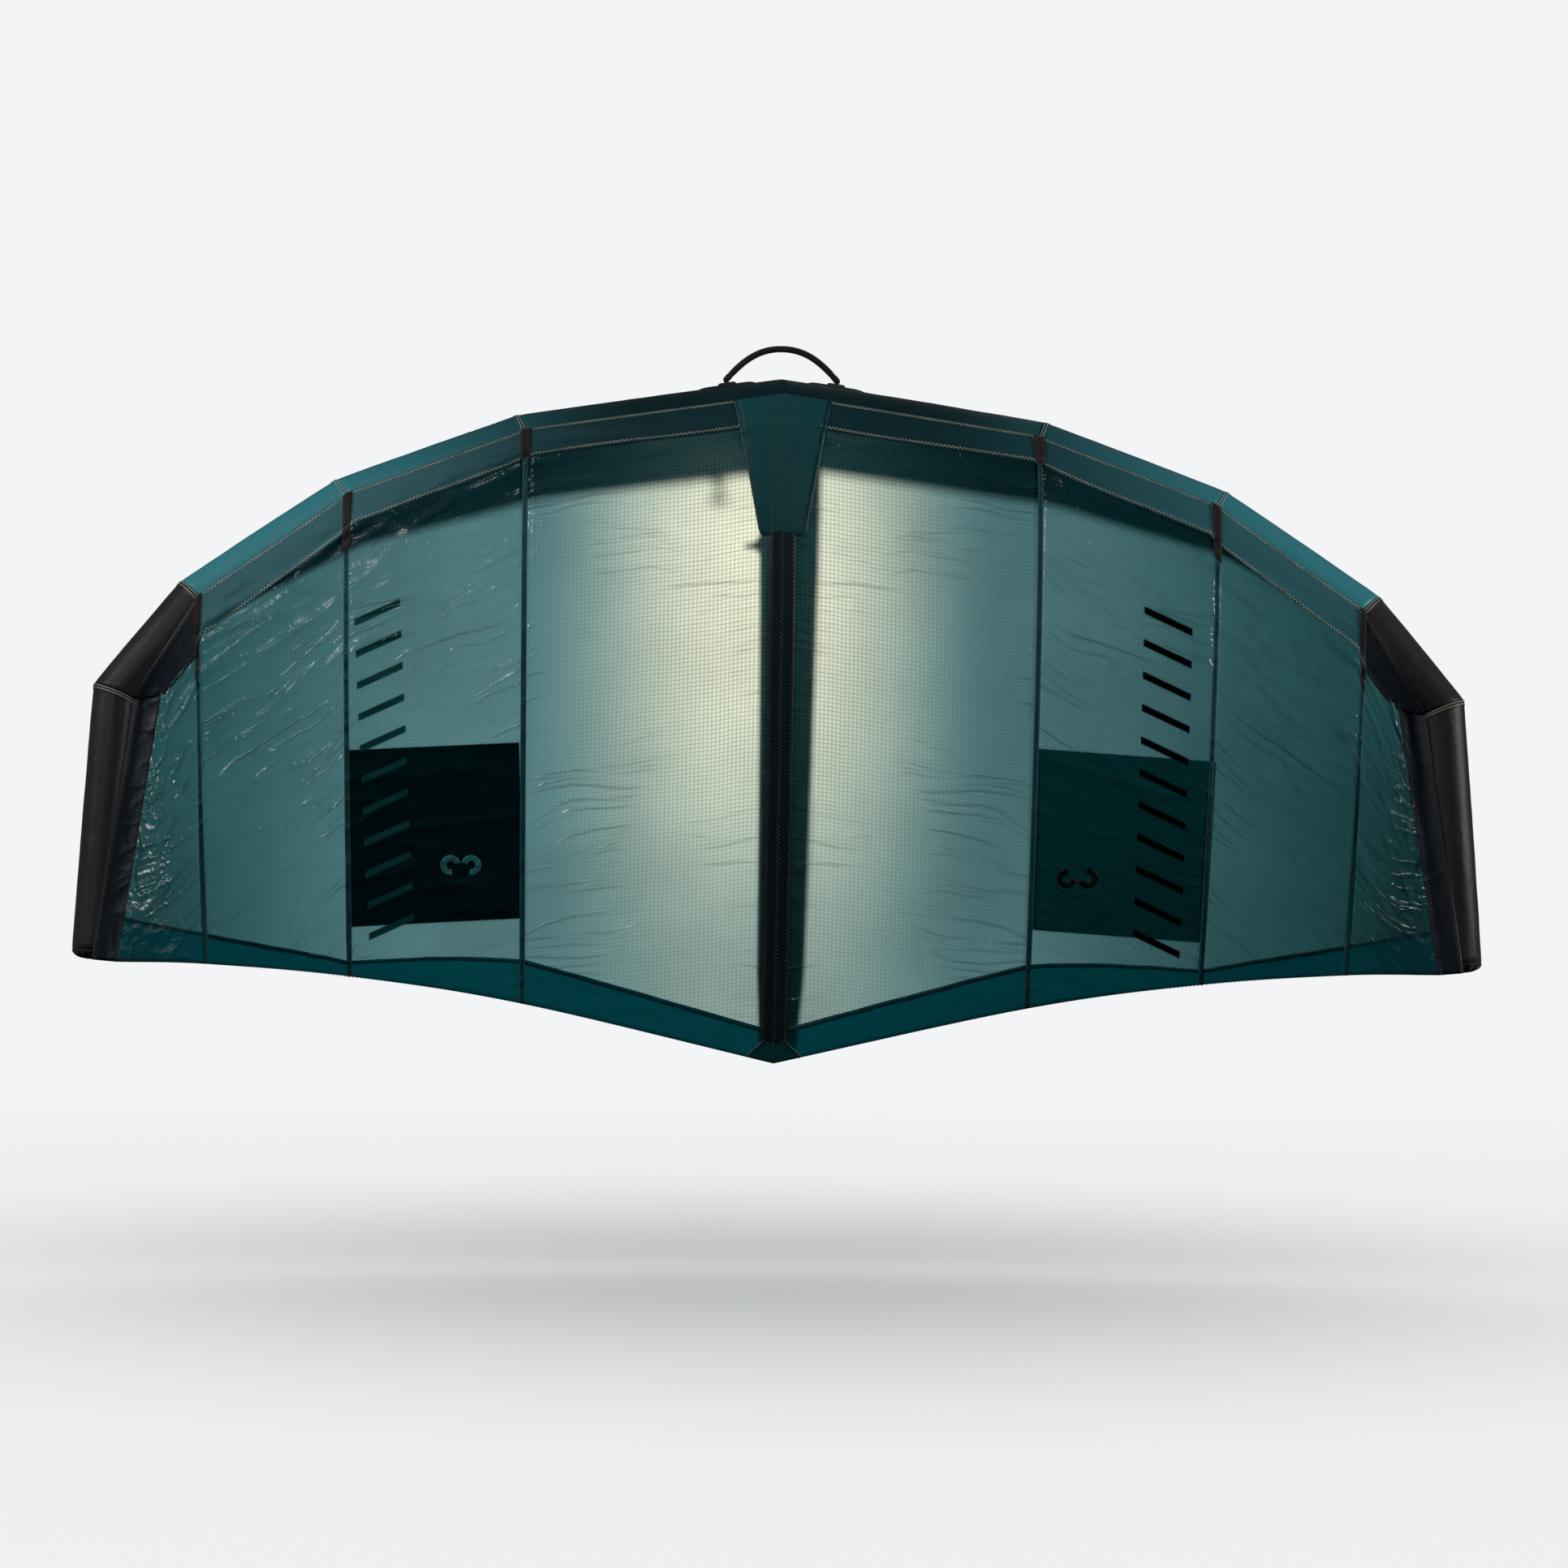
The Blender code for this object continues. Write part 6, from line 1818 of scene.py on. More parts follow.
@dataclass
class CentreTrim:
    """The nose patch, the tape and the tail patch over the strut's seam."""

    shop: Workshop
    nose_width: float = 0.214
    nose_tail: float = 0.44
    nose_end: float = 0.17
    nose_round: float = 0.010
    tape_width: float = 0.053
    tape_lines: tuple = (-0.022, 0.0, 0.022)
    tail_width: float = 0.118
    tail_front: float = 0.45
    tail_start: float = 0.93
    inset: float = 0.005

    def build(self) -> None:
        """Build the three pieces."""
        cloth = self.shop.cloth
        chord = curve_length(cloth.points[0])
        nose_end = cloth.row_after(0.0, 1.0, chord * self.nose_end)
        tail_start = cloth.row_after(0.0, 1.0, chord * self.tail_start)
        rows = between(cloth.rows, TRIM_FRONT, nose_end)
        halves = [self.nose_half(row, nose_end) for row in rows]
        self.piece("nose_cloth", "nose_patch", rows, halves, 12, "patch_teal")
        self.sew_sides(rows, halves)
        line = cloth.behind(0.0, nose_end, -self.inset)
        places = [(cloth.beside(0.0, line, mix(-halves[-1], halves[-1], share)), line,
                   layer_top(line) + TRIM_CLOTH) for share in shares(20)]
        self.shop.sew_cloth(places, Side.RIGHT, Thread.ZIGZAG, "thread_dark")
        self.sew_tape(rows[2:], Thread.ZIGZAG)
        rows = between(cloth.rows, cloth.behind(0.0, nose_end, -TRIM_LAP), tail_start)
        self.piece("middle_tape", "centre_tape", rows, [self.tape_width / 2] * len(rows), 6,
                   "tape_dark")
        self.sew_tape(rows, Thread.WIDE)
        rows = between(cloth.rows, cloth.behind(0.0, tail_start, -TRIM_LAP), TRIM_BACK)
        halves = [self.tail_width / 2 * mix(self.tail_front, 1, (row - tail_start)
                                            / (3.0 - tail_start)) for row in rows]
        self.piece("tail_cloth", "tail_patch", rows, halves, 8, "patch_teal")
        self.sew_sides(rows, halves)

    def nose_half(self, row: float, end: float) -> float:
        """Return half the nose patch's width at a row: a wide front, a narrow round tail."""
        cloth = self.shop.cloth
        share = cloth.travel(0.0, row)[1] / cloth.travel(0.0, end)[1]
        corner = max(share - 0.96, 0.0) / 0.04
        return (self.nose_width / 2 * mix(1, self.nose_tail, share)
                - self.nose_round * (1 - math.sqrt(max(1 - corner * corner, 0.0))))

    def piece(self, name: str, node: str, rows: list[float], halves: list[float], steps: int,
              finish: str) -> None:
        """Build one piece of trim along the middle."""
        self.shop.trim(name, node, 0.0, halves, rows, TRIM_CLOTH, finish, "edge_teal", Side.RIGHT,
                       steps)

    def sew_tape(self, rows: list[float], thread: Thread) -> None:
        """Lay the three lines along the middle."""
        for offset in self.tape_lines:
            self.shop.sew_along(0.0, [offset] * len(rows), rows, TRIM_CLOTH, thread,
                                "thread_brown", Side.RIGHT)

    def sew_sides(self, rows: list[float], halves: list[float]) -> None:
        """Lay a zigzag line inside each side of a patch."""
        for sign in (-1, 1):
            self.shop.sew_along(0.0, [sign * (half - self.inset) for half in halves], rows,
                                TRIM_CLOTH, Thread.ZIGZAG, "thread_dark", Side.RIGHT)


@dataclass
class StrutSleeve:
    """The strut's cloth sleeve under the canopy, its tail cap and its seams."""

    shop: Workshop
    sides: int = 72
    steps: int = 90
    nose_gap: float = 0.0008
    dome_gap: float = 0.0004
    dent: float = 0.0005
    dent_scale: float = 14.0
    fold: float = 0.0006

    def build(self) -> None:
        """Build the sleeve and the cap."""
        self.build_sleeve()
        strut = self.shop.strut
        centre, radius, run, upward = strut.station(strut.length)
        dome = Dome(centre + run * self.dome_gap, run, (upward, SPAN_WAY), radius, self.sides,
                    12, 9, 0.0010, 0.4, 0.0005)
        dome.build(self.shop, "strut_dome", "strut_tail_cap")

    def outside(self, point: Vector) -> float:
        """Return how far a point lies outside the leading edge's inner runs."""
        tube = self.shop.tube
        here = Vector((abs(point.x), point.y, point.z)) - tube.centres[0]
        along = here.dot(tube.runs[0])
        share = along / (tube.centres[1] - tube.centres[0]).length
        return (here - tube.runs[0] * along).length - mix(tube.radii[0], tube.radii[1], share)

    def trimmed(self, line: list[Vector]) -> list[Vector]:
        """Return a lengthwise line cut back to where it meets the leading edge's skin."""
        first = next(index for index, point in enumerate(line)
                     if self.outside(point) > self.nose_gap)
        if first == 0:
            return line
        low, high = line[first - 1], line[first]
        for _ in range(20):
            middle = (low + high) / 2
            if self.outside(middle) > self.nose_gap:
                high = middle
            else:
                low = middle
        rest = [high] + line[first:]
        whole = curve_length(rest)
        return [point_along(rest, whole * share) for share in shares(len(line) - 1)]

    def line(self, turn: float, reach: float, distances: list[float]) -> list[Vector]:
        """Return one lengthwise line, with its dents and folds on the underside."""
        strut = self.shop.strut
        under = max(-math.cos(turn), 0) ** 0.5
        line = []
        for distance in distances:
            place = strut.skin_point(distance, turn, 0.0) * self.dent_scale
            dents = noise.fractal(place, 0.8, 2.0, 3)
            folds = noise.noise(Vector((turn * 3, distance * 9, 2.0)))
            lift = (self.dent * dents + self.fold * folds) * under
            line.append(strut.skin_point(distance, turn, reach + lift))
        return self.trimmed(line)

    def build_sleeve(self) -> None:
        """Build the sleeve, its front end shaped to the leading edge."""
        shop, strut = self.shop, self.shop.strut
        distances = [min(strut.length * share, strut.length - 0.0001)
                     for share in shares(self.steps)]
        outer, inner = ([list(ring) for ring in zip(*[self.line(turn, reach, distances)
                                                      for turn in turns(self.sides)])]
                        for reach in (0.0, -SLEEVE_CLOTH))
        made = cloth_sleeve("strut_cloth", outer, inner, shop.finishes["sleeve_teal"])
        shop.settle(made, Body.WING, "sleeve_teal", "strut_sleeve")
        declare_cloth([ring + ring[:1] for ring in outer])
        for place in (self.sides // 4, self.sides * 3 // 4, self.sides // 2):
            stitches = []
            for ring, distance in zip(outer[1:-1], distances[1:-1]):
                lift = (ring[place] - strut.station(distance)[0]).normalized()
                stitches.append((ring[place] + lift * self.dome_gap, lift))
            shop.sew(Body.WING, stitches, Thread.FINE, "thread_dark")
        self.sew_front(*outer[:2])

    def sew_front(self, front: list[Vector], after: list[Vector]) -> None:
        """Lay the zigzag round the strut's joint with the leading edge."""
        first, last = self.sides // 5, self.sides * 4 // 5 + 1
        front, after = front[first:last], after[first:last]
        centre = self.shop.strut.station(0.09)[0]
        stitches = []
        for place, (start, end) in enumerate(zip(front, after)):
            point = mix(start, end, 0.7)
            before, beyond = around(front, place)
            lift = (beyond - before).cross((end - start).normalized()).normalized()
            if lift.dot(point - centre) < 0:
                lift = -lift
            stitches.append((point + lift * THREAD_LIFT * 2, lift))
        self.shop.sew(Body.WING, stitches, Thread.ZIGZAG, "thread_cream")


@dataclass
class FrontHandle:
    """The padded loop before the nose and the oval patches that it is sewn to."""

    shop: Workshop
    width: float = 0.188
    thickness: float = 0.0125
    foot_shares: tuple = (0.30, 0.62)
    shoulder: float = 0.42
    lug_angles: tuple = (-11.0, 0.0)
    lug_height: float = 0.0055
    lug_length: float = 0.034
    patch_cloth: float = 0.0020
    patch_length: float = 0.118
    patch_angles: tuple = (-42.0, 9.0)
    patch_steps: tuple = (40, 36)
    patch_lines: tuple = (0.90, 0.84)
    whipping: tuple = (0.012, 0.018, 0.93)
    gap: float = 0.0019
    sides: int = 28
    cap_rings: int = 7

    def build(self) -> None:
        """Build the loop and both patches."""
        self.unit = self.shop.tube.centres[1].x
        self.station = self.width / 2 / self.unit
        self.build_loop()
        for side in Side:
            self.build_patch(side)

    def build_loop(self) -> None:
        """Build the round padded loop with its sewn seam."""
        radius = self.thickness / 2
        angle = math.radians(sum(self.lug_angles) / 2)
        reach = 0.0003 + self.patch_cloth + self.lug_height + 0.0003 + radius
        foot = self.shop.tube.skin_point(self.station, angle, reach)
        top = Vector((0, 0, radius))
        start = Vector((-foot.x, 0, foot.z))
        first = start + Vector((foot.x * self.foot_shares[0], 0,
                                (top.z - foot.z) * self.foot_shares[1]))
        second = top - Vector((foot.x * self.shoulder, 0, 0))
        half = [bezier(start, first, second, top, share) for share in shares(36)]
        path = half + [Side.LEFT.turn(point) for point in half[-2::-1]]
        places = lengths_along(path)
        low, high, waist = self.whipping
        radii = []
        for distance in places:
            whip = waist if low < min(distance, places[-1] - distance) < high else 1.0
            radii.append(radius * whip * (0.99 + 0.01 * math.sin(distance * 800)))
        rings = swept(path, radii, self.sides, Vector((0, 1, 0)))
        caps, poles = [], []
        for end, ring, way in ((path[0], rings[0], path[0] - path[1]),
                               (path[-1], rings[-1], path[-1] - path[-2])):
            heading = way.normalized()
            lifts = [QUARTER * index / self.cap_rings for index in range(1, self.cap_rings)]
            caps.append([[end + (point - end) * math.cos(lift) + heading * radius * math.sin(lift)
                          for point in ring] for lift in lifts])
            poles.append(end + heading * radius)
        made = closed_form("loop_webbing", caps[0][::-1] + rings + caps[1], poles,
                           self.shop.finishes["webbing_black"])
        self.shop.settle(made, Body.FRONT_HANDLE, "webbing_black", "front_handle_loop")
        stitches = []
        for ring, point in zip(rings, path):
            spot = ring[self.sides // 4]
            lift = (spot - point).normalized()
            stitches.append((spot + lift * THREAD_LIFT, lift))
        self.shop.sew(Body.FRONT_HANDLE, stitches, Thread.FINE, "thread_dark")

    def lug_rise(self, angle: float, distance: float) -> float:
        """Return how high the folded lug stands at an angle and a distance from its middle."""
        low, high = (math.radians(limit) for limit in self.lug_angles)
        along = clamp((angle - low) / 0.03 + 0.5) * clamp((high - angle) / 0.03 + 0.5)
        return self.lug_height * along * clamp((self.lug_length / 2 - abs(distance)) / 0.003 + 0.5)

    def build_patch(self, side: Side) -> None:
        """Build one oval patch with the folded lug on it, and its rust-coloured stitches."""
        tube = self.shop.tube
        rows, columns = self.patch_steps
        back, front = (math.radians(angle) for angle in self.patch_angles)
        nets = [[], []]
        for row in range(rows + 1):
            place = -math.cos(math.pi * (row + 0.35) / (rows + 0.7))
            angle = mix(back, front, (place + 1) / 2)
            half = self.patch_length / 2 * math.sqrt(max(1 - place ** 2, 0.001))
            upper, lower = [], []
            for share in shares(columns):
                aside = mix(-1, 1, share)
                soft = min(min(1 - abs(aside), 1 - abs(place)) / 0.05, 1)
                rise = self.lug_rise(angle, half * aside)
                reach = self.gap + self.patch_cloth * (0.45 + 0.55 * soft) + rise * 0.9
                station = self.station + half * aside / self.unit
                upper.append(side.turn(tube.skin_point(station, angle, reach)))
                lower.append(side.turn(tube.skin_point(station, angle, self.gap - 0.0004)))
            nets[0].append(upper)
            nets[1].append(lower)
        self.shop.lay(f"handle_patch_cloth_{side.word}", nets, "webbing_black",
                      f"front_handle_patch_{side.word}")
        for share in self.patch_lines:
            stitches = []
            for turn in turns(72) + [2 * math.pi]:
                angle = mix(back, front, (math.sin(turn) * share + 1) / 2)
                station = (self.station
                           + self.patch_length / 2 * share * math.cos(turn) / self.unit)
                point = tube.skin_point(station, angle, self.gap + self.patch_cloth + THREAD_LIFT)
                lift = (point - tube.skin_point(station, angle, 0.0)).normalized()
                stitches.append((side.turn(point), side.turn(lift)))
            self.shop.sew(Body.WING, stitches, Thread.FINE, "thread_rust")


@dataclass
class StrutHandle:
    """A padded handle under the strut, its legs of webbing and its anchor patch."""

    shop: Workshop
    name: str
    share: float
    body: Body
    grip_length: float = 0.150
    grip_width: float = 0.034
    grip_depth: float = 0.027
    grip_fit: float = 0.985
    drop: float = 0.058
    strap_width: float = 0.025
    strap_cloth: float = 0.003
    leg_run: float = 0.045
    end_width: float = 0.012
    shoulder: float = 0.014
    rib: float = 0.00035
    rib_pitch: float = 0.0062
    anchor_angle: float = 42.0
    anchor_lift: float = 0.0014
    anchor_cloth: float = 0.0016
    anchor_margin: float = 0.022
    anchor_corner: float = 0.018
    anchor_lines: tuple = (0.005, 0.009)
    ear_length: float = 0.012
    ear_width: float = 0.016
    ear_height: float = 0.014
    axis_reach: float = 0.0088
    gap: float = 0.0003

    def build(self) -> None:
        """Build the handle and its anchor."""
        strut = self.shop.strut
        self.half = self.grip_length / 2 + self.leg_run
        self.middle = strut.length * self.share
        self.first = self.middle - self.half - self.anchor_margin
        self.last = self.middle + self.half + self.anchor_margin
        self.ends = [strut.skin_point(distance, math.pi, self.axis_reach)
                     for distance in (self.middle - self.half, self.middle + self.half)]
        self.along = (self.ends[1] - self.ends[0]).normalized()
        self.down = across(Vector((0, 1, 0)), self.along).normalized()
        self.side = self.along.cross(self.down)
        self.build_grip()
        self.build_anchor()
        self.sew_anchor()

    def profile(self, length: float) -> list[tuple[float, float, float]]:
        """Return the run, drop and padding share of each ring along the handle."""
        leg = [bezier(Vector((0, 0, 0)), Vector((self.leg_run / 3, 0, self.drop / 2)),
                      Vector((self.leg_run / 2, 0, self.drop)),
                      Vector((self.leg_run, 0, self.drop)), share) for share in shares(18)]
        rings = [(point.x, point.z, 0.0) for point in leg]
        rings += [(self.leg_run + self.shoulder * (1 - math.cos(QUARTER * share)), self.drop,
                   math.sin(QUARTER * share)) for share in shares(8)[1:]]
        start = self.leg_run + self.shoulder
        body = [(mix(start, length - start, share), self.drop, 1.0)
                for share in shares(24)[1:-1]]
        return rings + body + [(length - run, drop, pad) for run, drop, pad in rings[::-1]]

    def build_grip(self) -> None:
        """Build the padded grip and its legs."""
        start = self.ends[0] + self.along * self.gap
        length = (self.ends[1] - self.along * self.gap - start).length
        profile = self.profile(length)
        rings, centres, stitches = [], [], []
        for index, (run, drop, pad) in enumerate(profile):
            before, after = around(profile, index)
            ahead = self.along * (after[0] - before[0]) + self.down * (after[1] - before[1])
            ahead = ahead.normalized() if index not in (0, len(profile) - 1) else self.along
            under = across(self.down, ahead).normalized()
            reach = min(run, length - run) / self.leg_run
            strap = mix(self.end_width, self.strap_width, min(reach * 2, 1))
            rib = self.rib * math.sin(run * 2 * math.pi / self.rib_pitch) * (pad == 1.0)
            width = mix(strap, self.grip_width * self.grip_fit, pad) / 2 + rib
            depth = mix(self.strap_cloth * 0.95, self.grip_depth * self.grip_fit, pad) / 2 + rib
            centre = start + self.along * run + self.down * drop
            ring = [centre + self.side * (wide * width) + under * (deep * depth)
                    for wide, deep in oblong(36, mix(3.2, 2.0, pad))]
            rings.append(ring)
            centres.append(centre)
            if pad == 1.0:
                lift = (ring[27] - centre).normalized()
                stitches.append((ring[27] + lift * 0.0004, lift))
        made = closed_form(f"{self.name}_grip_pad", rings, [centres[0], centres[-1]],
                           self.shop.finishes["foam_black"])
        self.shop.settle(made, self.body, "foam_black", f"{self.name}_handle")
        self.shop.sew(self.body, stitches, Thread.ZIGZAG, "thread_dark")

    def build_anchor(self) -> None:
        """Build the anchor patch and its two folded ears."""
        shop, strut = self.shop, self.shop.strut
        wide = math.radians(self.anchor_angle)
        nets = []
        for reach in (self.anchor_lift + self.anchor_cloth, self.anchor_lift - 0.0006):
            net = []
            for share in shares(56):
                corner = min(share, 1 - share) * (self.last - self.first) / self.anchor_corner
                narrow = wide * (0.86 + 0.14 * min(corner, 1) ** 0.5)
                net.append([strut.skin_point(mix(self.first, self.last, share),
                                             math.pi + mix(-narrow, narrow, place), reach)
                            for place in shares(28)])
            nets.append(net)
        finish = shop.finishes["webbing_black"]
        parts = [cloth_sheet(f"{self.name}_anchor_cloth", *nets, finish)]
        lowest = self.ear_height - self.axis_reach
        for number, (point, way) in enumerate(zip(self.ends, (-1, 1))):
            rings = []
            for share in shares(10):
                run = self.ear_length * way * share
                seat = strut.skin_point(self.middle + self.half * way + run, math.pi, 0.0008)
                root = (seat - point).dot(self.down)
                rings.append([point + self.along * run + self.side * wide_share * self.ear_width / 2
                              + self.down * mix(root, lowest, (1 + deep_share) / 2)
                              for wide_share, deep_share in oblong(20, 4.0)])
            centres = [sum(ring, Vector()) / len(ring) for ring in (rings[0], rings[-1])]
            parts.append(closed_form(f"{self.name}_ear_{number}", rings, centres, finish))
        made = joined(f"{self.name}_anchor_patch", parts)
        shop.settle(made, Body.WING, "webbing_black", f"{self.name}_handle_anchor")
        declare_cloth(nets[0])

    def sew_anchor(self) -> None:
        """Lay two lines round the anchor's edge."""
        strut = self.shop.strut
        for inset in self.anchor_lines:
            first, last = self.first + inset, self.last - inset
            wide = math.radians(self.anchor_angle) * 0.84 - inset * 8
            corners = [(first, -1), (last, -1), (last, 1), (first, 1), (first, -1)]
            stitches = []
            for (start, low), (end, high) in zip(corners, corners[1:]):
                for share in shares(24)[:-1]:
                    distance = mix(start, end, share)
                    point = strut.skin_point(distance, math.pi + mix(low, high, share) * wide,
                                             self.anchor_lift + self.anchor_cloth + THREAD_LIFT)
                    stitches.append((point, (point - strut.station(distance)[0]).normalized()))
            self.shop.sew(Body.WING, stitches + stitches[:1], Thread.FINE, "thread_rust")


@dataclass
class LeashLoop:
    """The webbing loop for a leash on the tube's underside."""

    shop: Workshop
    angle: float = -90.0
    foot: float = 0.014
    length: float = 0.026
    height: float = 0.014
    width: float = 0.025
    lift: float = 0.0017
    cloth: float = 0.0022
    rounding: float = 0.0005

    def build(self) -> None:
        """Build the loop with its two sewn feet."""
        tube = self.shop.tube
        tilt = self.width / 2 / tube.station(0.0)[1]
        half = self.length / 2
        places = [mix(-half - self.foot, -half, share) for share in shares(6)[:-1]]
        places += [-half * math.cos(math.pi * share) for share in shares(28)]
        places += [mix(half, half + self.foot, share) for share in shares(6)[1:]]
        nets = [[], []]
        for place in places:
            lift = self.lift + self.height * math.sqrt(1 - min(abs(place) / half, 1) ** 2)
            side = Side.RIGHT if place >= 0 else Side.LEFT
            lines = [[], []]
            for step in shares(8):
                angle = math.radians(self.angle) + mix(-tilt, tilt, step)
                edge = self.rounding if step in (0.0, 1.0) else 0.0
                for line, reach in zip(lines, (lift + self.cloth - edge, lift + edge)):
                    point = tube.skin_point(abs(place) / tube.centres[1].x, angle, reach)
                    line.append(side.turn(point))
            for net, line in zip(nets, lines):
                net.append(line)
        self.shop.lay("leash_webbing", nets, "webbing_black", "leash_loop")


@dataclass
class MouldedPieces:
    """The pieces that keep their CAD solids, with a finish for each slot."""

    shop: Workshop
    kept: tuple = (("valve_body", "moulded_black"), ("valve_plunger", "moulded_grey"),
                   ("valve_cap", "moulded_black"), ("leading_edge_spigot", "moulded_black"),
                   ("strut_spigot", "moulded_black"), ("hose_clip", "moulded_grey"),
                   ("transfer_hose", "hose_clear"), ("leading_edge_bladder", "bladder_film"),
                   ("strut_bladder", "bladder_film"))

    def dress(self) -> None:
        """Give each node its finish."""
        for name, finish in self.kept:
            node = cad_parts[name]
            for slot in node.material_slots:
                slot.material = self.shop.finishes[finish]
            node.visible_shadow = finish != "hose_clear"
            LOG.info("%s: %s", name, finish)


@dataclass
class PrintedNumber:
    """The plain size number printed on a dark patch, lying on its side."""

    shop: Workshop
    side: Side
    centre: tuple
    finish: str
    height: float = 0.081
    width: float = 0.040
    stroke: float = 0.0120
    squeeze: float = 0.98
    print_height: float = 0.0004
    arc: tuple = (-76.0, 192.0)

    def build(self) -> None:
        """Build the two bowls of the number as thin prints on the cloth."""
        parts = []
        radius = (self.width - self.stroke) / 2
        for number, (sign, low, high) in enumerate(((-1, -self.arc[1], -self.arc[0]),
                                                    (1, *self.arc))):
            nets = [[], []]
            for share in shares(26):
                turn = math.radians(mix(low, high, share))
                lines = [[], []]
                for part in shares(4):
                    reach = radius + mix(-0.5, 0.5, part) * self.stroke
                    along = sign * (self.height - self.width) / 2 + reach * math.sin(turn)
                    for line, lift in zip(lines, (self.print_height, 0.0)):
                        line.append(self.lay(along * self.squeeze, reach * math.cos(turn), lift))
                for net, line in zip(nets, lines):
                    net.append(line)
            parts.append(cloth_sheet(f"number_{number}", *nets, self.shop.finishes[self.finish]))
        made = joined(f"number_print_{self.side.word}", parts)
        self.shop.settle(made, Body.WING, "canopy_teal")

    def lay(self, along: float, up: float, lift: float) -> Vector:
        """Return the point of the cloth under a point of the number."""
        cloth = self.shop.cloth
        place = cloth.locate(abs(self.centre[0] + along), self.centre[1] - up * self.side.value)
        return cloth.place(*place, HALF_CLOTH + lift, self.side)


def lay_stitches(shop: Workshop) -> None:
    """Lay all the kept lines of stitches, as one piece for each body and thread colour."""
    for body, lines in shop.seams.items():
        by_finish: dict[str, list[Piece]] = {}
        for line in lines:
            by_finish.setdefault(line.finish.name, []).append(shop.stitches.lay(line))
        for finish, parts in by_finish.items():
            shop.settle(joined(f"{finish}_{body.value}", parts), body, "webbing_black")


# Studio


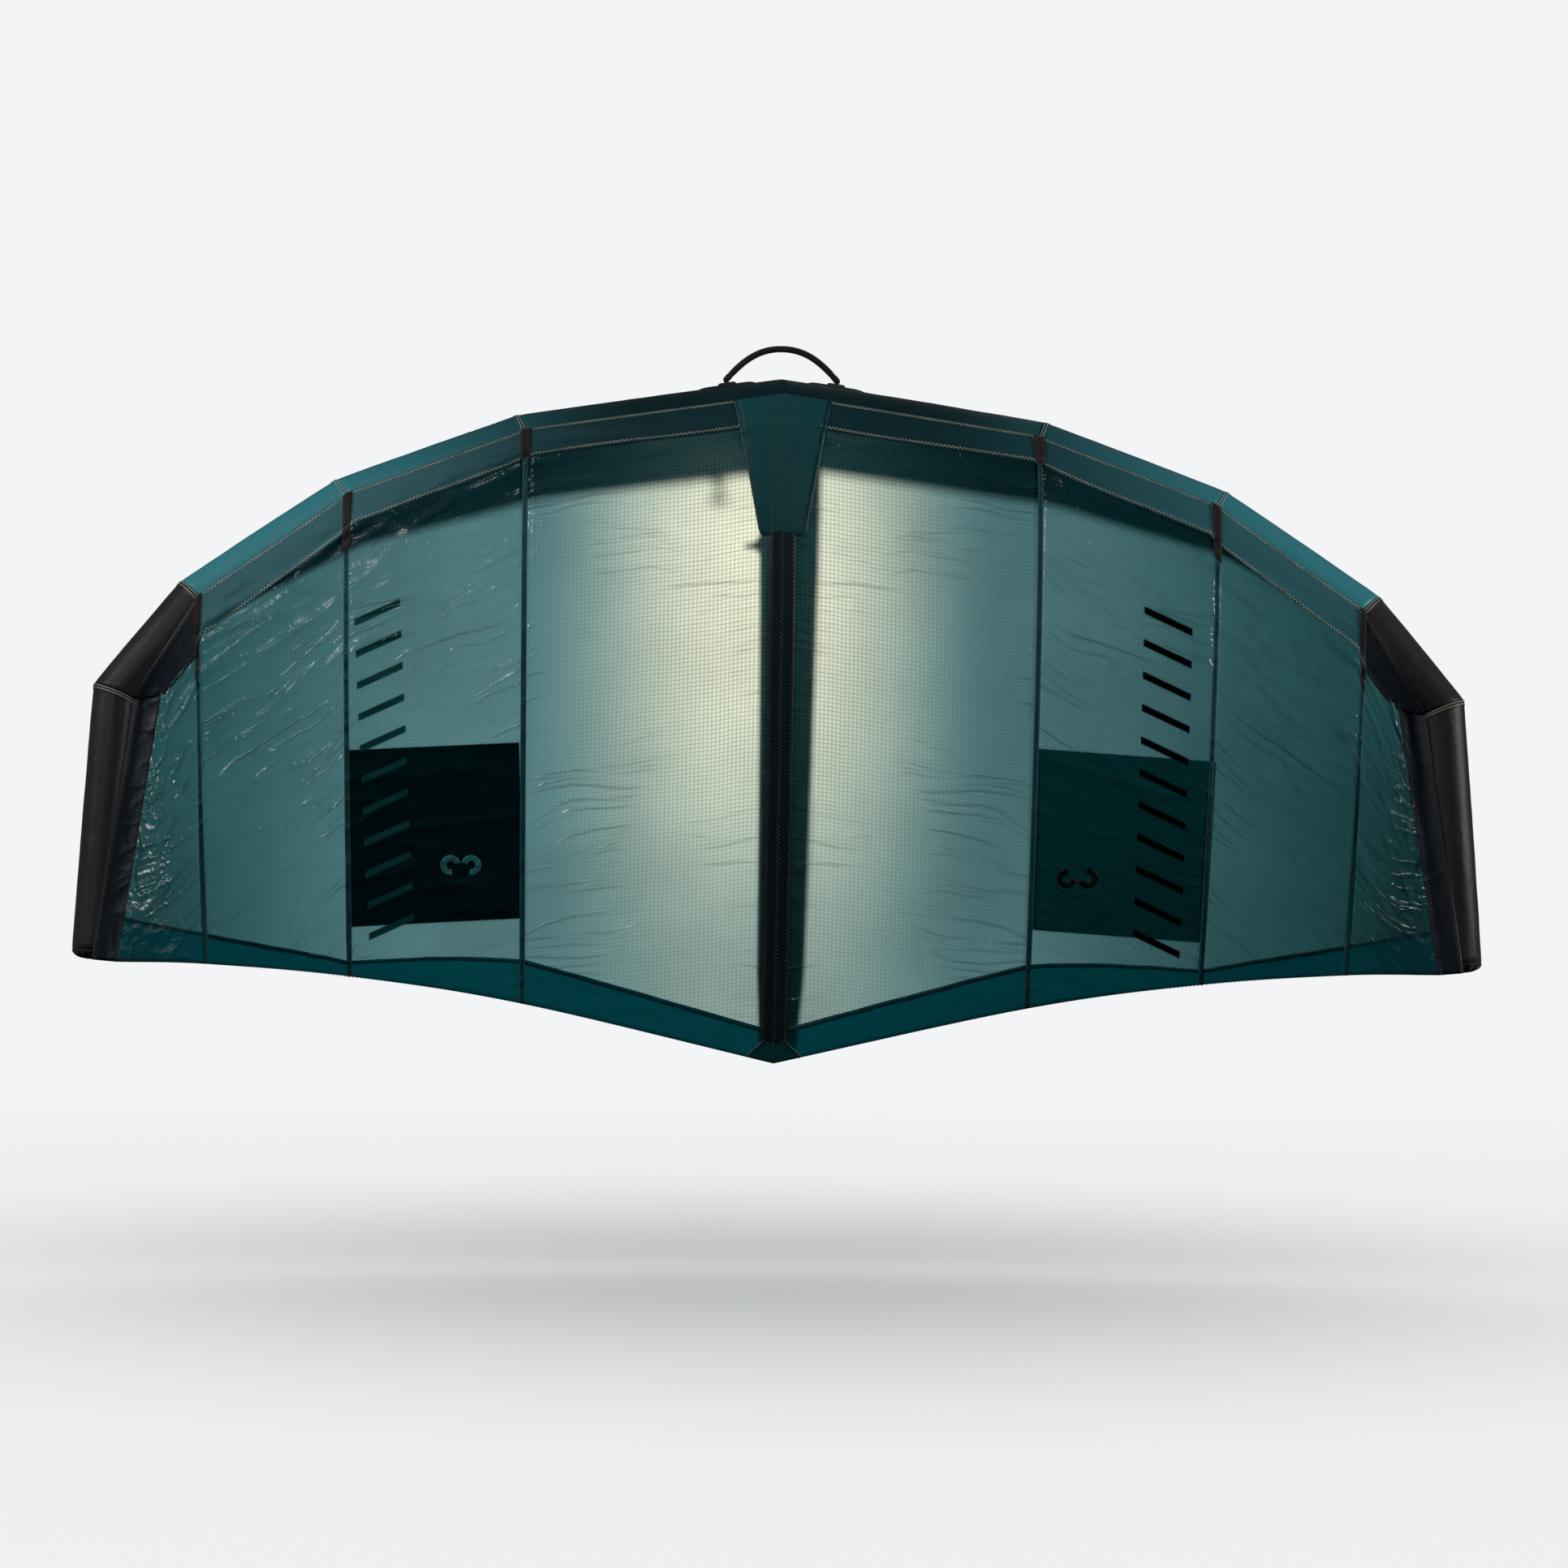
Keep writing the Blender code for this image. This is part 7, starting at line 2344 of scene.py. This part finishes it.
@dataclass
class Studio:
    """The camera at the photograph's angle, the lamps, the floor and the backdrop."""

    distance: float = 10.0
    azimuth: float = -2.14
    elevation: float = 0.013
    roll: float = 0.66
    lens: float = 116.4
    target: Vector = field(default_factory=lambda: Vector((0.014, 0.0, -0.851)))
    floor_level: float = -1.81
    floor_reach: float = 6.0
    floor_tone: tuple = (0.963, 0.971, 0.989, 1.0)
    painted_shadow_tone: tuple = (0.02, 0.02, 0.022, 1.0)
    pale: tuple = srgb(243, 244, 246)
    sun: float = 0.88
    lamps: tuple = (("left", (-4.0, -1.7, 1.3), (-0.3, 0.0, -0.7), 0.9, 140.0, (1, 1, 1)),
                    ("right", (4.3, -1.3, 0.2), (1.0, 0.0, -0.6), 0.9, 170.0, (1, 1, 1)),
                    ("front", (-2.1, -4.6, 1.3), (-0.3, 0.0, -0.8), 0.6, 75.0, (1, 1, 1)),
                    ("above", (-2.2, -2.6, 4.3), (0.0, 0.0, -0.7), 0.9, 60.0, (1, 1, 1)),
                    ("behind", (-0.7, 3.0, -0.10), (0.0, 0.0, -0.78), 0.7, 205.0,
                     (1.0, 0.98, 0.93)))

    def build(self) -> None:
        """Set up the camera, the floor, the lamps and the world."""
        self.place_camera()
        self.build_floor()
        self.place_lamps()
        self.build_world()
        bpy.context.scene.view_settings.view_transform = "Standard"

    def place_camera(self) -> None:
        """Aim the camera as the photograph's."""
        azimuth, elevation = math.radians(self.azimuth), math.radians(self.elevation)
        back = Vector((math.sin(azimuth) * math.cos(elevation),
                       -math.cos(azimuth) * math.cos(elevation), math.sin(elevation)))
        right = Vector((math.cos(azimuth), math.sin(azimuth), 0))
        upward = back.cross(right)
        turn = math.radians(self.roll)
        aside = right * math.cos(turn) + upward * math.sin(turn)
        above = upward * math.cos(turn) - right * math.sin(turn)
        data = bpy.data.cameras.new("camera")
        data.lens = self.lens
        data.sensor_width = 36.0
        data.sensor_fit = "HORIZONTAL"
        data.clip_end = 60.0
        pose = Matrix((aside, above, back)).transposed().to_4x4()
        pose.translation = self.target + back * self.distance
        camera = put("camera", data)
        camera.matrix_world = pose
        bpy.context.scene.camera = camera

    def place_lamps(self) -> None:
        """Hang the lamps round the wing, and a sun that lights the floor alone."""
        for name, place, aim, size, power, colour in self.lamps:
            data = bpy.data.lights.new(name, "AREA")
            data.shape = "DISK"
            data.size = size
            data.energy = power
            data.color = colour
            lamp = put(name, data)
            lamp.location = place
            way = Vector(aim) - Vector(place)
            lamp.rotation_euler = way.to_track_quat("-Z", "Y").to_euler()
            lamp.light_linking.receiver_collection = self.all_but_floor
        data = bpy.data.lights.new("over the floor", "SUN")
        data.energy = self.sun * math.pi
        data.angle = math.radians(150.0)
        put("over the floor", data).light_linking.receiver_collection = self.floor_alone

    def build_world(self) -> None:
        """Light the scene from all round, and show the pale backdrop to the camera."""
        world = bpy.data.worlds.new("studio")
        bpy.context.scene.world = world
        graph = clear_graph(world)
        seen = graph.wire("ShaderNodeLightPath", "Is Camera Ray")
        light = graph.shader("Background", Color=(1, 1, 1, 1), Strength=0.02)
        plain = graph.shader("Background", Color=self.pale, Strength=1.0)
        graph.node("ShaderNodeOutputWorld", {"Surface": graph.either(seen, light, plain)})

    def build_floor(self) -> None:
        """Lay a pale floor that fades into the backdrop, keeps the real shadow and adds a soft
        painted shadow under the wing.
        """
        skin = Skin()
        ends = (-self.floor_reach, self.floor_reach)
        skin.grid([[Vector((x, y, self.floor_level)) for y in ends] for x in ends])
        finish = bpy.data.materials.new("floor")
        graph = clear_graph(finish)
        place = graph.wire("ShaderNodeTexCoord", "Object")
        x, y, z = graph.parts(place)
        # Painted shadow: the floor darkens in a soft oval round the spot under the wing, on top of
        # the real shadow.
        span, depth = x / 2.3, (y + 0.10) / 2.9
        fall = graph.step(graph.math("SQRT", span * span + depth * depth), 1.0, 0.0, 0.0, 0.26)
        tone = graph.blend(fall, self.floor_tone, self.painted_shadow_tone)
        tone = graph.blend(graph.noise(place, 3.0, 2.0) * 0.01, tone, srgb(236, 238, 240))
        seen = graph.wire("ShaderNodeLightPath", "Is Camera Ray")
        both = graph.either(graph.step(abs(y), 4.0, 5.6, 1.0, 0.0) * seen,
                            graph.shader("BsdfTransparent"),
                            graph.shader("BsdfDiffuse", Color=tone))
        graph.node("ShaderNodeOutputMaterial", {"Surface": both})
        floor = skin.finish("floor", finish)
        self.floor_alone = bpy.data.collections.new("floor alone")
        self.all_but_floor = bpy.data.collections.new("all but the floor")
        for group in (self.floor_alone, self.all_but_floor):
            group.objects.link(floor)
        self.all_but_floor.collection_objects[0].light_linking.link_state = "EXCLUDE"


def make_finishes(looms: Looms) -> dict[str, Material]:
    """Return all the wing's finishes by name."""
    left, right = (srgb(0, 44, 48), srgb(0, 16, 18)), (srgb(12, 92, 96), srgb(6, 56, 60))
    bar, black = (srgb(30, 82, 84), srgb(30, 78, 80)), (srgb(6, 8, 10), srgb(1, 2, 2))
    patches = (Patch(-0.8700, -0.5330, -1.0914, -0.7460, 0.058, -0.035, *left),
               Patch(0.5150, 0.8630, -1.1010, -0.7440, -0.063, 0.020, *right))
    ladders = (Ladder(Patch(-0.8530, -0.7620, -0.8169, -0.1327, 0.470, -0.0495, *bar),
                      0.0622, 0.222, -0.1707),
               Ladder(Patch(0.7040, 0.7985, -0.8427, -0.1492, -0.465, 0.006, *black),
                      0.06305, 0.218, -0.1876))
    finishes = [
        # Painted light on the canopy: the lighter middle tone and the cream passing light are a
        # painted backlight glow, and the darker tips are its painted falloff.
        CanopyFinish("canopy_teal", (srgb(8, 88, 98), srgb(8, 64, 70), srgb(8, 58, 64)),
                     (srgb(252, 253, 240), srgb(148, 178, 182), srgb(110, 152, 156)),
                     srgb(16, 56, 60), patches, ladders),
        # Painted light: the strip is dark in the middle and lighter towards the tips, where the side
        # lamps light it.
        ClothFinish("edge_teal", srgb(6, 34, 39), srgb(10, 42, 47), 0.34, 0.02, 0.0007,
                    outer=srgb(40, 82, 88)),
        ClothFinish("band_teal", srgb(2, 56, 62), srgb(6, 66, 72), 0.24, 0.02, 0.0030,
                    through=0.45, light=srgb(12, 146, 154)),
        ClothFinish("tape_teal", srgb(34, 82, 86), srgb(40, 92, 96), 0.45, 0.02, 0.0004,
                    through=0.40, light=srgb(30, 120, 126)),
        ClothFinish("patch_teal", srgb(14, 58, 62), srgb(20, 70, 74), 0.36, 0.02, 0.0006,
                    through=0.20, light=srgb(30, 120, 126)),
        ClothFinish("tape_dark", srgb(6, 22, 26), srgb(8, 28, 32), 0.40, 0.02, 0.0004),
        # Painted light: the sleeve is dark in the middle and lighter towards the tips, where the side
        # lamps light the outer runs.
        ClothFinish("sleeve_teal", srgb(2, 24, 28), srgb(6, 32, 37), 0.34, 0.03, 0.0012,
                    scale=12.0, outer=srgb(44, 104, 112)),
        ClothFinish("sleeve_black", srgb(22, 20, 20), srgb(34, 31, 30), 0.42, 0.08, 0.0010,
                    scale=12.0),
        ClothFinish("strip_navy", srgb(7, 15, 23), srgb(12, 22, 32), 0.40, 0.02, 0.0007),
        ClothFinish("webbing_black", srgb(12, 12, 13), srgb(22, 21, 22), 0.6, 0.10, 0.0002,
                    Pattern.COARSE),
        ClothFinish("foam_black", srgb(18, 18, 20), srgb(28, 27, 28), 0.65, 0.15, 0.0003,
                    scale=40.0),
        ClothFinish("print_teal", srgb(30, 82, 84), srgb(40, 94, 96), 0.4, 0.0, 0.0004),
        ClothFinish("print_black", srgb(6, 8, 10), srgb(10, 14, 16), 0.4, 0.0, 0.0004),
        ThreadFinish("thread_cream", srgb(172, 168, 154), srgb(136, 134, 122)),
        ThreadFinish("thread_rust", srgb(60, 39, 33), srgb(44, 30, 27)),
        ThreadFinish("thread_brown", srgb(60, 52, 50), srgb(42, 38, 38)),
        ThreadFinish("thread_dark", srgb(5, 18, 22), srgb(10, 26, 30)),
        MouldedFinish("moulded_black", srgb(22, 22, 24), srgb(34, 34, 36)),
        MouldedFinish("moulded_grey", srgb(150, 152, 155), srgb(130, 132, 136), 0.35),
        MouldedFinish("hose_clear", srgb(236, 240, 240), srgb(226, 232, 232), 0.12, 0.00002,
                      600.0, 0.6, 0.85),
        MouldedFinish("bladder_film", srgb(206, 212, 214), srgb(190, 198, 202), 0.3)]
    return {finish.name: finish.make(looms) for finish in finishes}


def main() -> None:
    """Build the whole wing in its studio."""
    logging.basicConfig(level=logging.INFO, format="%(message)s")
    Studio().build()
    tube = TubeForm()
    cloth = ClothForm(tube)
    shop = Workshop(tube, cloth, StrutForm(cloth), make_finishes(Looms()), StitchTree())
    TubeSleeve(shop).build()
    CanopySkin(shop).build()
    SeamTrim(shop).build()
    CentreTrim(shop).build()
    StrutSleeve(shop).build()
    FrontHandle(shop).build()
    StrutHandle(shop, "fore", 0.36, Body.FORE_GRIP).build()
    StrutHandle(shop, "aft", 0.66, Body.AFT_GRIP).build()
    LeashLoop(shop).build()
    PrintedNumber(shop, Side.LEFT, (-0.6179, -1.0165), "print_teal").build()
    PrintedNumber(shop, Side.RIGHT, (0.5864, -1.0281), "print_black").build()
    MouldedPieces(shop).dress()
    lay_stitches(shop)


if __name__ == "__main__":
    main()
